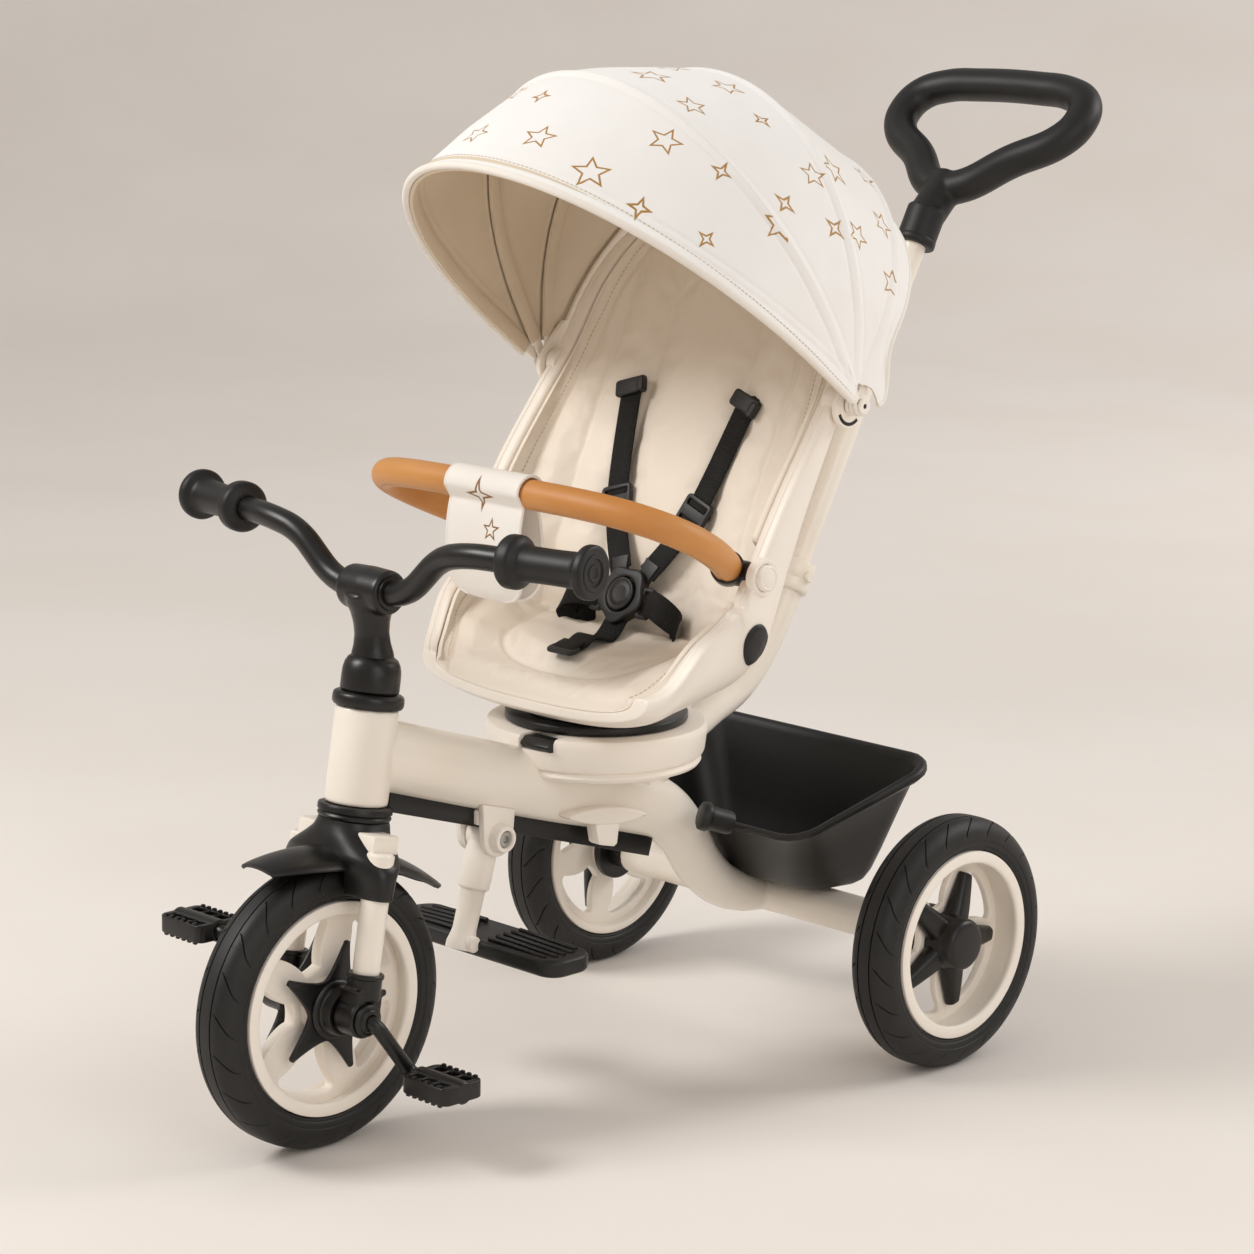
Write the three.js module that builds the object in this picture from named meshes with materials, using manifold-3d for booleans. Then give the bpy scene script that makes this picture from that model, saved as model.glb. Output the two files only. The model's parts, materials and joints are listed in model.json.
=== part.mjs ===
// Children's push-along tricycle: oval-tube frame, direct-drive front wheel, turning bucket seat
// with harness, bumper bar and folding canopy, parent handle, basket and folding footrest.
// Millimetres and degrees. +Z is up, the front is -Y and the rider's left is +X.
// Modelled with the rear axle at Y = 0 and the ground at Z = 0; the last lines move the origin
// to the bottom centre of the whole tricycle.
import * as THREE from 'three';
import { mergeVertices } from 'three/addons/utils/BufferGeometryUtils.js';
import Module from 'manifold-3d';

const wasm = await Module();
wasm.setup();

// ---------- driving sizes ----------
const FIT = 0.4; // gap between two pieces that seat on or in each other

const FRONT_TYRE_R = 127;
const REAR_TYRE_R = 120;
const TYRE_W = 46;
const FRONT_RIM_R = 95.6;
const REAR_RIM_R = 89.6;
const RIM_W = 45;
const SPOKES = 5;
const REAR_TRACK = 461;

const HEAD_BASE = { y: -534, z: 300 };
const HEAD_TILT = 9;
const HEAD_TUBE_LEN = 85;
const HEAD_TUBE_R = 28;
const STEERER_R = 14;
const LOWER_CUP_R = 33;
const LOWER_CUP_H = 13;
const UPPER_CUP_R = 31.5;
const UPPER_CUP_H = 13;

const FORK_OFFSET = 14.4; // the wheel axle lies this far ahead of the steering axis
const FORK_DROP = 177.4; // from the head tube's lower end down to the axle
const LEG_X = 50;
const LEG_R = 12;
const LEG_FORWARD = 10;
const HUB_END = 37; // half width over the front hub
const HUB_R = 20.5;
const DROPOUT_T = 24;

const CRANK_R = 6.5;
const CRANK_THROW = 67;
const PEDAL_IN = 87;
const PEDAL_LEN = 58;
const PEDAL_DEPTH = 46;
const PEDAL_H = 20;

const BAR_R = 11;
const BAR_RISE = 187.4;
const BAR_REACH = 12.5;
const GRIP_R = 15;
const GRIP_FLANGE_R = 23;
const GRIP_LEN = 90;

const TUBE_HALF_W = 25;
const TUBE_HALF_H = 32;
const AXLE_TUBE_R = 19;
const HUB_INBOARD = 45.5; // from a rear wheel's middle to the end of its hub
const AXLE_TUBE_HALF = REAR_TRACK / 2 - HUB_INBOARD;
const AXLE_R = 6;

const TURN_Y = -240;
const TURN_Z = 332;
const BASE_R = 103;
const BASE_H = 32;
const DISC_R = 85;
const DISC_H = 8;
const SPIGOT_R = 20;

const HINGE_Y = -225;
const HINGE_Z = 342;
const HINGE_PIN_R = 4;
const EAR_R = 8;
const EAR_X = 35;
const EAR_T = 9;

const SHELL_T = 9;
const SHELL_RIM = 18; // width of the shell's rim, seen from above
const PIVOT_Y = -118; // canopy pivot
const PIVOT_Z = 634;
const BOW_T = 4.4;
const BOW_W = 9;
const BOW_STEP = 5;
const BOW_SIDE = 60; // straight part of a bow before its arch
const BOW_PIN_R = 3.5;
const FABRIC_T = 2.5;
const BRACKET_X = 187.5;

const BUMPER_R = 13.5;
const BUMPER_PIVOT = { y: -221, z: 488 };
const BUMPER_TILT = 25.5;
const BUMPER_REACH = 168;
const BUMPER_X = 152;
const BUMPER_SPLAY = 44; // the bar is this much wider on each side in front of the seat
const BUMPER_POWER = 4.4;
const BUTTON_R = 12;

const POLE_R = 12;
const POLE_LEAN = 28.3;
const POLE_FOOT = { y: 31, z: 441 };
const POLE_LEN = 378;
const LOOP_LEAN = 45;
const LOOP_R = 17;

const BASKET_T = 3;
const FOOT_PIVOT = { y: -380, z: 245 };
const FOOT_LEAN = 15.9;
const FOOT_LEG_R = 11;
const FOOT_LEG_LEN = 96;

// ---------- materials ----------
const paint = (color, roughness, metalness = 0) =>
  new THREE.MeshStandardMaterial({ color, roughness, metalness });
const CREAM_PAINT = paint(0xefe3d3, 0.35);
const CREAM_PLASTIC = paint(0xf0e6d8, 0.45);
const BLACK_PLASTIC = paint(0x14120f, 0.4);
const TYRE_RUBBER = paint(0x161514, 0.6);
const SEAT_FABRIC = paint(0xebdfcd, 0.85);
const CANOPY_FABRIC = paint(0xf5f3f0, 0.85);
const WEBBING = paint(0x171513, 0.85);
const TAN_LEATHER = paint(0xcc914b, 0.5);
const STEEL = paint(0xb8b6b2, 0.3, 1);

// ---------- geometry helpers ----------
const rad = THREE.MathUtils.degToRad;
const v3 = (x, y, z) => new THREE.Vector3(x, y, z);
const X_AXIS = v3(1, 0, 0);

function mergedPositions(geometry) {
  const bare = geometry.clone();
  bare.deleteAttribute('normal');
  bare.deleteAttribute('uv');
  return mergeVertices(bare, 1e-4);
}

function solid(geometry) {
  const merged = mergedPositions(geometry);
  const index = merged.index.array;
  const triVerts = [];
  for (let i = 0; i < index.length; i += 3) {
    const [a, b, c] = [index[i], index[i + 1], index[i + 2]];
    if (a !== b && b !== c && c !== a) triVerts.push(a, b, c);
  }
  return new wasm.Manifold(new wasm.Mesh({
    numProp: 3,
    vertProperties: new Float32Array(merged.attributes.position.array),
    triVerts: new Uint32Array(triVerts),
  }));
}

function shapeOf(manifold) {
  const { vertProperties, triVerts } = manifold.getMesh();
  const geometry = new THREE.BufferGeometry();
  geometry.setAttribute('position', new THREE.BufferAttribute(vertProperties, 3));
  geometry.setIndex(new THREE.BufferAttribute(triVerts, 1));
  geometry.computeVertexNormals();
  return geometry;
}

// Joins the first list of geometries and cuts the second list from it.
function build(joined, cuts = []) {
  let body = solid(joined[0]);
  for (const piece of joined.slice(1)) body = body.add(solid(piece));
  for (const piece of cuts) body = body.subtract(solid(piece));
  return shapeOf(body);
}

function cylinderX(radius, x0, x1, y = 0, z = 0, sides = 14) {
  const geometry = new THREE.CylinderGeometry(radius, radius, x1 - x0, sides);
  return geometry.rotateZ(-Math.PI / 2).translate((x0 + x1) / 2, y, z);
}

function cylinderZ(radius, z0, z1, x = 0, y = 0, sides = 14) {
  const geometry = new THREE.CylinderGeometry(radius, radius, z1 - z0, sides);
  return geometry.rotateX(Math.PI / 2).translate(x, y, (z0 + z1) / 2);
}

function rodBetween(a, b, radius, sides = 12) {
  const length = a.distanceTo(b);
  const geometry = new THREE.CylinderGeometry(radius, radius, length, sides);
  const turn = new THREE.Quaternion().setFromUnitVectors(v3(0, 1, 0), b.clone().sub(a).normalize());
  return geometry.applyQuaternion(turn).translate((a.x + b.x) / 2, (a.y + b.y) / 2, (a.z + b.z) / 2);
}

function block(x0, x1, y0, y1, z0, z1) {
  const geometry = new THREE.BoxGeometry(x1 - x0, y1 - y0, z1 - z0);
  return geometry.translate((x0 + x1) / 2, (y0 + y1) / 2, (z0 + z1) / 2);
}

// A lathe faces outwards when its profile runs anticlockwise.
function facingOut(profile) {
  const points = profile.map(([r, h]) => new THREE.Vector2(r, h));
  return THREE.ShapeUtils.area(points) < 0 ? profile.slice().reverse() : profile;
}

// A closed profile of [radius, height] pairs spun about X, with height along X.
function spunX(profile, segments = 36) {
  const points = facingOut(profile).map(([r, h]) => new THREE.Vector2(r, h));
  return new THREE.LatheGeometry(points, segments).rotateZ(-Math.PI / 2);
}

// The same about Z, with height along Z.
function spunZ(profile, segments = 16) {
  const points = facingOut(profile).map(([r, h]) => new THREE.Vector2(r, h));
  return new THREE.LatheGeometry(points, segments).rotateX(Math.PI / 2);
}

function signedVolume(points, faces) {
  let volume = 0;
  for (const [a, b, c] of faces) {
    volume += points[a].dot(v3(0, 0, 0).crossVectors(points[b], points[c])) / 6;
  }
  return volume;
}

// Skin through rings that have the same number of points. Open ends are capped with the
// triangles of outline, a list of Vector2, or with a fan when the ring is convex.
function loft(rings, { closed = false, outline = null } = {}) {
  const count = rings[0].length;
  const points = rings.flat();
  const faces = [];
  const last = closed ? rings.length : rings.length - 1;
  for (let i = 0; i < last; i += 1) {
    const next = ((i + 1) % rings.length) * count;
    for (let j = 0; j < count; j += 1) {
      const k = (j + 1) % count;
      const [a, b, c, d] = [i * count + j, i * count + k, next + k, next + j];
      const across = points[a].distanceTo(points[c]) < points[b].distanceTo(points[d]);
      faces.push(...(across ? [[a, b, c], [a, c, d]] : [[a, b, d], [b, c, d]]));
    }
  }
  if (!closed) {
    const end = (rings.length - 1) * count;
    const caps = outline
      ? THREE.ShapeUtils.triangulateShape(outline, [])
      : Array.from({ length: count - 2 }, (_, j) => [0, j + 1, j + 2]);
    const turned = outline && THREE.ShapeUtils.area(outline) < 0;
    for (const [a, b, c] of caps) {
      const [p, q] = turned ? [b, c] : [c, b];
      faces.push([a, p, q], [end + a, end + q, end + p]);
    }
  }
  if (signedVolume(points, faces) < 0) faces.forEach((face) => face.reverse());
  const geometry = new THREE.BufferGeometry().setFromPoints(points);
  geometry.setIndex(faces.flat());
  geometry.computeVertexNormals();
  return geometry;
}

// Straight runs joined by rounded bends: each inner point becomes a quadratic curve.
function bentPath(corners, bend, steps = 4) {
  const path = [corners[0].clone()];
  for (let i = 1; i < corners.length - 1; i += 1) {
    const [before, here, after] = [corners[i - 1], corners[i], corners[i + 1]];
    const cut = Math.min(bend, before.distanceTo(here) * 0.49, here.distanceTo(after) * 0.49);
    const start = here.clone().add(before.clone().sub(here).setLength(cut));
    const end = here.clone().add(after.clone().sub(here).setLength(cut));
    const curve = new THREE.QuadraticBezierCurve3(start, here, end);
    path.push(...curve.getPoints(steps));
  }
  path.push(corners[corners.length - 1].clone());
  return path;
}

// Round tube along a list of points, its section carried without twist.
function tube(path, radius, { sides = 10, closed = false } = {}) {
  const count = path.length;
  const tangentAt = (i) => {
    const before = closed ? path[(i - 1 + count) % count] : path[Math.max(i - 1, 0)];
    const after = closed ? path[(i + 1) % count] : path[Math.min(i + 1, count - 1)];
    return after.clone().sub(before).normalize();
  };
  let tangent = tangentAt(0);
  const normal = Math.abs(tangent.x) < 0.9 ? v3(1, 0, 0) : v3(0, 0, 1);
  normal.sub(tangent.clone().multiplyScalar(normal.dot(tangent))).normalize();
  const rings = path.map((centre, i) => {
    const next = tangentAt(i);
    const turn = new THREE.Quaternion().setFromUnitVectors(tangent, next);
    normal.applyQuaternion(turn);
    tangent = next;
    const side = tangent.clone().cross(normal);
    return Array.from({ length: sides }, (_, k) => {
      const angle = (k / sides) * 2 * Math.PI;
      return centre.clone()
        .add(normal.clone().multiplyScalar(radius * Math.cos(angle)))
        .add(side.clone().multiplyScalar(radius * Math.sin(angle)));
    });
  });
  return loft(rings, { closed });
}

// A closed outline of [a, b] pairs extruded along X from x0 to x1, with a as Y and b as Z.
function plateX(outline, x0, x1) {
  const shape = new THREE.Shape(outline.map(([a, b]) => new THREE.Vector2(a, b)));
  const geometry = new THREE.ExtrudeGeometry(shape, { depth: x1 - x0, bevelEnabled: false });
  geometry.applyMatrix4(new THREE.Matrix4().makeBasis(v3(0, 1, 0), v3(0, 0, 1), v3(1, 0, 0)));
  return geometry.translate(x0, 0, 0);
}

function discOutline(radius, y, z, sides = 14) {
  return Array.from({ length: sides }, (_, k) => {
    const angle = (k / sides) * 2 * Math.PI;
    return [y + radius * Math.cos(angle), z + radius * Math.sin(angle)];
  });
}

function mirroredX(geometry) {
  const copy = geometry.clone().scale(-1, 1, 1);
  const flipped = copy.index ? copy : mergeVertices(copy);
  const index = Array.from(flipped.index.array);
  for (let i = 0; i < index.length; i += 3) [index[i + 1], index[i + 2]] = [index[i + 2], index[i + 1]];
  flipped.setIndex(index);
  flipped.computeVertexNormals();
  return flipped;
}

function addMesh(parent, name, geometry, material) {
  const mesh = new THREE.Mesh(geometry, material);
  mesh.name = name;
  parent.add(mesh);
  return mesh;
}

function group(parent, x, y, z) {
  const child = new THREE.Group();
  child.position.set(x, y, z);
  parent.add(child);
  return child;
}

// ---------- groups ----------
const tricycle = new THREE.Group();
const head = group(tricycle, 0, HEAD_BASE.y, HEAD_BASE.z); // Z runs up the steering axis
head.rotation.x = -rad(HEAD_TILT);
const frontHub = group(head, 0, -FORK_OFFSET, -FORK_DROP);
head.updateMatrix();

// ---------- frame ----------
// Main tube: an oval tube that slopes to the rear, bends down and runs into the axle tube.
// Each row is Y, Z of the centre line, half height and half width.
const TUBE_ROWS = [
  [HEAD_BASE.y + 6, 346, TUBE_HALF_H, TUBE_HALF_W],
  [-400, 305.5, TUBE_HALF_H, TUBE_HALF_W],
  [-290, 272, TUBE_HALF_H, TUBE_HALF_W],
  [-190, 243, TUBE_HALF_H - 1, TUBE_HALF_W],
  [-150, 226, TUBE_HALF_H - 3, TUBE_HALF_W - 1],
  [-121, 199, TUBE_HALF_H - 6, TUBE_HALF_W - 2],
  [-100, 168, TUBE_HALF_H - 8, TUBE_HALF_W - 3],
  [-70, 141, TUBE_HALF_H - 10, TUBE_HALF_W - 4],
  [-35, 126, TUBE_HALF_H - 12, TUBE_HALF_W - 5],
  [-4, REAR_TYRE_R, AXLE_TUBE_R - 1.5, AXLE_TUBE_R - 1.5],
];

function mainTube(extra = 0) {
  const centre = new THREE.CatmullRomCurve3(TUBE_ROWS.map(([y, z]) => v3(0, y, z)), false, 'centripetal');
  const size = new THREE.CatmullRomCurve3(TUBE_ROWS.map(([, , h, w]) => v3(h, w, 0)), false, 'centripetal');
  const steps = 13;
  const rings = [];
  for (let i = 0; i <= steps; i += 1) {
    const t = i / steps;
    const point = centre.getPoint(t);
    const tangent = centre.getTangent(t);
    const up = v3(0, -tangent.z, tangent.y);
    const { x: halfH, y: halfW } = size.getPoint(t);
    rings.push(Array.from({ length: 12 }, (_, k) => {
      const angle = (k / 12) * 2 * Math.PI;
      return point.clone()
        .add(X_AXIS.clone().multiplyScalar((halfW + extra) * Math.cos(angle)))
        .add(up.clone().multiplyScalar((halfH + extra) * Math.sin(angle)));
    }));
  }
  return loft(rings);
}

const onHeadAxis = (geometry) => geometry.applyMatrix4(head.matrix);

// Lens-shaped clamp plate on the left of the tube, with the release button's guide under it.
const CLAMP = { x0: 20, x1: 34, y: -255, z: 246, halfLen: 51, halfH: 8.5 };
const RELEASE = { x0: 19.5, x1: 33, y0: -271, y1: -240, top: 240, bottom: 220 };

function clampPlate() {
  const outline = [];
  for (let k = 0; k < 14; k += 1) {
    const angle = (k / 14) * 2 * Math.PI;
    const a = CLAMP.halfLen * Math.cos(angle);
    const b = CLAMP.halfH * Math.sin(angle) * Math.sqrt(1 - 0.6 * Math.cos(angle) ** 2);
    outline.push([CLAMP.y + a, CLAMP.z + b - a * 0.14]);
  }
  return plateX(outline, CLAMP.x0, CLAMP.x1);
}

function frameGeometry() {
  const headTube = onHeadAxis(cylinderZ(HEAD_TUBE_R, 0, HEAD_TUBE_LEN, 0, 0, 28));
  const axleTube = cylinderX(AXLE_TUBE_R, -AXLE_TUBE_HALF, AXLE_TUBE_HALF, 0, REAR_TYRE_R, 14);
  const steererBore = onHeadAxis(cylinderZ(STEERER_R + FIT, -1, HEAD_TUBE_LEN + 1, 0, 0, 14));
  const axleBore = cylinderX(AXLE_R + FIT, -AXLE_TUBE_HALF - 1, AXLE_TUBE_HALF + 1, 0, REAR_TYRE_R, 14);
  const buttonWell = block(RELEASE.x0 - FIT, CLAMP.x1 + 1, RELEASE.y0 - FIT, RELEASE.y1 + FIT,
    RELEASE.bottom - 10, RELEASE.top + 5);
  return build([mainTube(), headTube, axleTube, clampPlate()], [steererBore, axleBore, buttonWell]);
}

addMesh(tricycle, 'main_frame', frameGeometry(), CREAM_PAINT);

// Black channel under the main tube: it covers the link from the push handle to the steerer.
function channelGeometry() {
  const slope = Math.atan2(TUBE_ROWS[0][1] - TUBE_ROWS[3][1], TUBE_ROWS[3][0] - TUBE_ROWS[0][0]);
  const front = v3(0, -498, 331.5);
  const length = 352;
  const bar = block(-7, 7, 0, length, -TUBE_HALF_H - 11, -TUBE_HALF_H + 8);
  bar.rotateX(-slope).translate(front.x, front.y, front.z);
  const headClear = onHeadAxis(cylinderZ(LOWER_CUP_R + 1, -80, HEAD_TUBE_LEN, 0, 0, 28));
  const footEye = cylinderX(14, -20, 20, FOOT_PIVOT.y, FOOT_PIVOT.z, 14);
  return build([bar], [mainTube(FIT), headClear, footEye]);
}

addMesh(tricycle, 'steering_channel', channelGeometry(), BLACK_PLASTIC);

const cupBore = STEERER_R + FIT;
addMesh(head, 'headset_lower_cup', spunZ([
  [cupBore, -FIT], [LOWER_CUP_R - 1.5, -FIT], [LOWER_CUP_R, -2], [LOWER_CUP_R, 2 - LOWER_CUP_H],
  [LOWER_CUP_R - 2, -LOWER_CUP_H], [cupBore, -LOWER_CUP_H], [cupBore, -FIT],
]), BLACK_PLASTIC);
const upperCupTop = HEAD_TUBE_LEN + UPPER_CUP_H;
addMesh(head, 'headset_upper_cup', spunZ([
  [cupBore, upperCupTop], [cupBore, HEAD_TUBE_LEN + FIT], [UPPER_CUP_R - 2, HEAD_TUBE_LEN + FIT],
  [UPPER_CUP_R, HEAD_TUBE_LEN + 2.5], [UPPER_CUP_R, upperCupTop - 3],
  [UPPER_CUP_R - 3, upperCupTop], [cupBore, upperCupTop],
]), BLACK_PLASTIC);

// Seat base: a round moulded saddle let down over the main tube on a welded pedestal.
const LEVER = { x0: 4, x1: 40, y0: -341, y1: -322, z0: 320, z1: TURN_Z - 1.5, travel: 4 };

function seatBaseGeometry() {
  const bottom = TURN_Z - BASE_H - 9;
  const saddle = spunZ([
    [0, bottom], [BASE_R - 9, bottom], [BASE_R - 5, bottom + 6], [BASE_R - 8, bottom + 8],
    [BASE_R - 4, bottom + 10], [BASE_R, TURN_Z - 4], [BASE_R - 4, TURN_Z], [0, TURN_Z],
  ], 20).translate(0, TURN_Y, 0);
  const pedestal = plateX([[-325, 283], [-185, 241.5], [-185, bottom + 2], [-325, bottom + 2]], -20, 20);
  const spigotHole = cylinderZ(SPIGOT_R + FIT, TURN_Z - 20, TURN_Z + 1, 0, TURN_Y, 24);
  const leverWell = block(LEVER.x0 - FIT, LEVER.x1 + FIT, LEVER.y0 - 15, LEVER.y1 + LEVER.travel + FIT,
    LEVER.z0 - FIT, TURN_Z + 1);
  return build([saddle, pedestal], [mainTube(FIT), spigotHole, leverWell]);
}

addMesh(tricycle, 'seat_base', seatBaseGeometry(), CREAM_PLASTIC);

function turnLeverGeometry() {
  const { x0, x1, y0, y1, z0, z1 } = LEVER;
  return plateX([[y0 + 3, z0], [y1, z0], [y1, z1], [y0 + 6, z1], [y0, z1 - 5], [y0, z0 + 3]], x0, x1);
}

addMesh(tricycle, 'turn_lever', turnLeverGeometry(), BLACK_PLASTIC);

function releaseButtonGeometry() {
  const { x0, x1, y0, y1, top, bottom } = RELEASE;
  const slope = (y1 - y0) * 0.14;
  return plateX([
    [y0 + 4, bottom + 2], [y0 + 7, bottom], [y1 - 7, bottom - slope], [y1 - 3, bottom + 2 - slope],
    [y1, top], [y0, top],
  ], x0, x1);
}

addMesh(tricycle, 'release_button', releaseButtonGeometry(), CREAM_PLASTIC);

// Pole arm: bent tube from the main tube, under the seat, to the clamp that holds the push pole.
const poleDir = v3(0, Math.sin(rad(POLE_LEAN)), Math.cos(rad(POLE_LEAN)));
const poleFoot = v3(0, POLE_FOOT.y, POLE_FOOT.z);
const onPole = (distance) => poleFoot.clone().add(poleDir.clone().multiplyScalar(distance));
const ARM_R = 15;
const CLAMP_R = 20;
const SOCKET_DEPTH = 30;

function poleArmGeometry() {
  const arm = new THREE.CatmullRomCurve3([
    v3(0, -172, 258), v3(0, -130, 291), v3(0, -92, 312), v3(0, -45, 334), v3(0, -12, 368),
    onPole(-40), onPole(4),
  ], false, 'centripetal');
  const body = tube(arm.getPoints(9), ARM_R, { sides: 10 });
  const clamp = rodBetween(onPole(-26), onPole(6), CLAMP_R, 14);
  const socket = rodBetween(onPole(-SOCKET_DEPTH), onPole(8), POLE_R + FIT, 14);
  const base = cylinderZ(BASE_R + FIT, TURN_Z - BASE_H - 12, TURN_Z + 1, 0, TURN_Y, 32);
  return build([body, clamp], [mainTube(FIT), base, socket]);
}

addMesh(tricycle, 'pole_arm', poleArmGeometry(), CREAM_PAINT);

addMesh(tricycle, 'rear_axle', cylinderX(AXLE_R, -REAR_TRACK / 2 - 11, REAR_TRACK / 2 + 11, 0, REAR_TYRE_R, 14),
  STEEL);

// Basket: an open bin whose rim rises to the rear; its front edge is clipped to the frame.
const BASKET = {
  rimFront: { y: -100, z: 214, half: 132 },
  rimRear: { y: 66, z: 268, half: 150 },
  floorFront: { y: -42, z: 143, half: 98 },
  floorRear: { y: 44, z: 143, half: 104 },
};

// Ring of the bin at a height share (0 floor, 1 rim), inset by wall.
function basketRing(share, inset, corner = 26) {
  const { rimFront, rimRear, floorFront, floorRear } = BASKET;
  const mix = (a, b) => a + (b - a) * share;
  const front = { y: mix(floorFront.y, rimFront.y) + inset, z: mix(floorFront.z, rimFront.z),
    half: mix(floorFront.half, rimFront.half) - inset };
  const rear = { y: mix(floorRear.y, rimRear.y) - inset, z: mix(floorRear.z, rimRear.z),
    half: mix(floorRear.half, rimRear.half) - inset };
  const ring = [];
  const arc = (cx, cy, from) => {
    for (let k = 0; k <= 2; k += 1) {
      const angle = rad(from + k * 45);
      const x = cx + corner * Math.cos(angle);
      const y = cy + corner * Math.sin(angle);
      const along = (y - front.y) / (rear.y - front.y);
      ring.push(v3(x, y, front.z + (rear.z - front.z) * along));
    }
  };
  arc(rear.half - corner, rear.y - corner, 0);
  arc(-rear.half + corner, rear.y - corner, 90);
  arc(-front.half + corner, front.y + corner, 180);
  arc(front.half - corner, front.y + corner, 270);
  return ring;
}

const CLIP_R = 14;
const CLIP_FRONT = { x: 42, y: -138, z: 228 };
const CLIP_REAR = { x: 62, y: -108, z: 217 };

function basketGeometry() {
  const lift = (ring, dz) => ring.map((p) => p.clone().add(v3(0, 0, dz)));
  const outer = loft([
    basketRing(0, 6, 20), basketRing(0.1, 0, 24), basketRing(0.9, 0),
    basketRing(0.92, -7), lift(basketRing(1, -8), 0), lift(basketRing(1, -3), 3),
  ]);
  const inner = loft([
    lift(basketRing(0, 8 + BASKET_T, 20), BASKET_T), basketRing(0.12, BASKET_T, 24),
    basketRing(0.95, BASKET_T), lift(basketRing(1.2, BASKET_T - 3), 6),
  ]);
  const onSide = ({ x, y, z }, side) => v3(side * x, y, z);
  const clips = [-1, 1].map((side) => rodBetween(onSide(CLIP_FRONT, side), onSide(CLIP_REAR, side), CLIP_R, 14));
  return build([outer, ...clips], [inner, mainTube(FIT)]);
}

addMesh(tricycle, 'basket', basketGeometry(), BLACK_PLASTIC);

// ---------- footrest ----------
const footTop = v3(0, FOOT_PIVOT.y, FOOT_PIVOT.z);
const legDir = v3(0, -Math.sin(rad(FOOT_LEAN)), -Math.cos(rad(FOOT_LEAN)));
const onLeg = (distance) => footTop.clone().add(legDir.clone().multiplyScalar(distance));
const HEEL_R = 11.5;
const HEEL_HALF = 14;
const CHEEK_IN = 11.5;
const CHEEK_OUT = 19;
const FOOT_PIN_R = 5;

function footBracketGeometry() {
  const cheek = [
    [FOOT_PIVOT.y - 22, 279], [FOOT_PIVOT.y - 24, 262], ...discOutline(18, FOOT_PIVOT.y, FOOT_PIVOT.z, 24)
      .slice(13, 23), [FOOT_PIVOT.y + 22, 262], [FOOT_PIVOT.y + 20, 274],
  ];
  const pieces = [
    plateX(cheek, CHEEK_IN, CHEEK_OUT), plateX(cheek, -CHEEK_OUT, -CHEEK_IN),
    cylinderX(FOOT_PIN_R, -CHEEK_IN - 1, CHEEK_IN + 1, FOOT_PIVOT.y, FOOT_PIVOT.z, 14),
    cylinderX(13, CHEEK_OUT - 1, CHEEK_OUT + 10, FOOT_PIVOT.y, FOOT_PIVOT.z, 14),
  ];
  const screwWell = cylinderX(7, CHEEK_OUT + 6, CHEEK_OUT + 11, FOOT_PIVOT.y, FOOT_PIVOT.z, 14);
  return build(pieces, [mainTube(FIT), screwWell]);
}

addMesh(tricycle, 'footrest_bracket', footBracketGeometry(), CREAM_PLASTIC);

function footLegGeometry() {
  const eye = cylinderX(11.2, -CHEEK_IN + FIT, CHEEK_IN - FIT, FOOT_PIVOT.y, FOOT_PIVOT.z, 14);
  const sleeve = rodBetween(onLeg(20), onLeg(50), 15, 14);
  const neck = rodBetween(onLeg(4), onLeg(22), 9.5, 14);
  const leg = rodBetween(onLeg(49), onLeg(FOOT_LEG_LEN), FOOT_LEG_R, 14);
  const foot = onLeg(FOOT_LEG_LEN);
  const heel = cylinderX(HEEL_R, -HEEL_HALF, HEEL_HALF, foot.y, foot.z, 16);
  const bore = cylinderX(FOOT_PIN_R + FIT, -CHEEK_IN, CHEEK_IN, FOOT_PIVOT.y, FOOT_PIVOT.z, 14);
  return build([eye, neck, sleeve, leg, heel], [bore]);
}

addMesh(tricycle, 'footrest_leg', footLegGeometry(), CREAM_PLASTIC);

// Foot plate: one moulding with a pad on each side of the leg.
const PLATE = { half: 112, front: -404, rear: -346, top: 157, bottom: 139 };

function footPlateGeometry() {
  const { half, front, rear, top, bottom } = PLATE;
  const corner = 20;
  const shape = new THREE.Shape();
  shape.moveTo(-half + corner, front);
  shape.lineTo(half - corner, front);
  shape.quadraticCurveTo(half, front, half, front + corner);
  shape.lineTo(half, rear - corner);
  shape.quadraticCurveTo(half, rear, half - corner, rear);
  shape.lineTo(-half + corner, rear);
  shape.quadraticCurveTo(-half, rear, -half, rear - corner);
  shape.lineTo(-half, front + corner);
  shape.quadraticCurveTo(-half, front, -half + corner, front);
  const pad = new THREE.ExtrudeGeometry(shape, {
    depth: top - bottom - 6, bevelEnabled: true, bevelThickness: 3, bevelSize: 3, bevelOffset: -3,
    bevelSegments: 1, curveSegments: 3,
  }).translate(0, 0, bottom + 3);
  const grooves = [-1, 1].flatMap((side) => [0, 1, 2, 3, 4].map((k) => {
    const x = side * (30 + k * 15);
    return block(x - 2, x + 2, front + 12, rear - 12, top - 2, top + 1);
  }));
  const foot = onLeg(FOOT_LEG_LEN);
  const slotHalf = HEEL_HALF + FIT;
  const legSlot = block(-slotHalf, slotHalf, front - 5, foot.y + HEEL_R + 2, bottom - 1, top + 1);
  return build([pad], [...grooves, legSlot]);
}

addMesh(tricycle, 'footrest_plate', footPlateGeometry(), BLACK_PLASTIC);

// ---------- steering ----------
// All of these are in the head group: Z runs up the steering axis from the head tube's lower end.
const STEM_TOP = HEAD_TUBE_LEN + UPPER_CUP_H + 32;
const LEG_BOTTOM = -FORK_DROP + 19;

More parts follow.
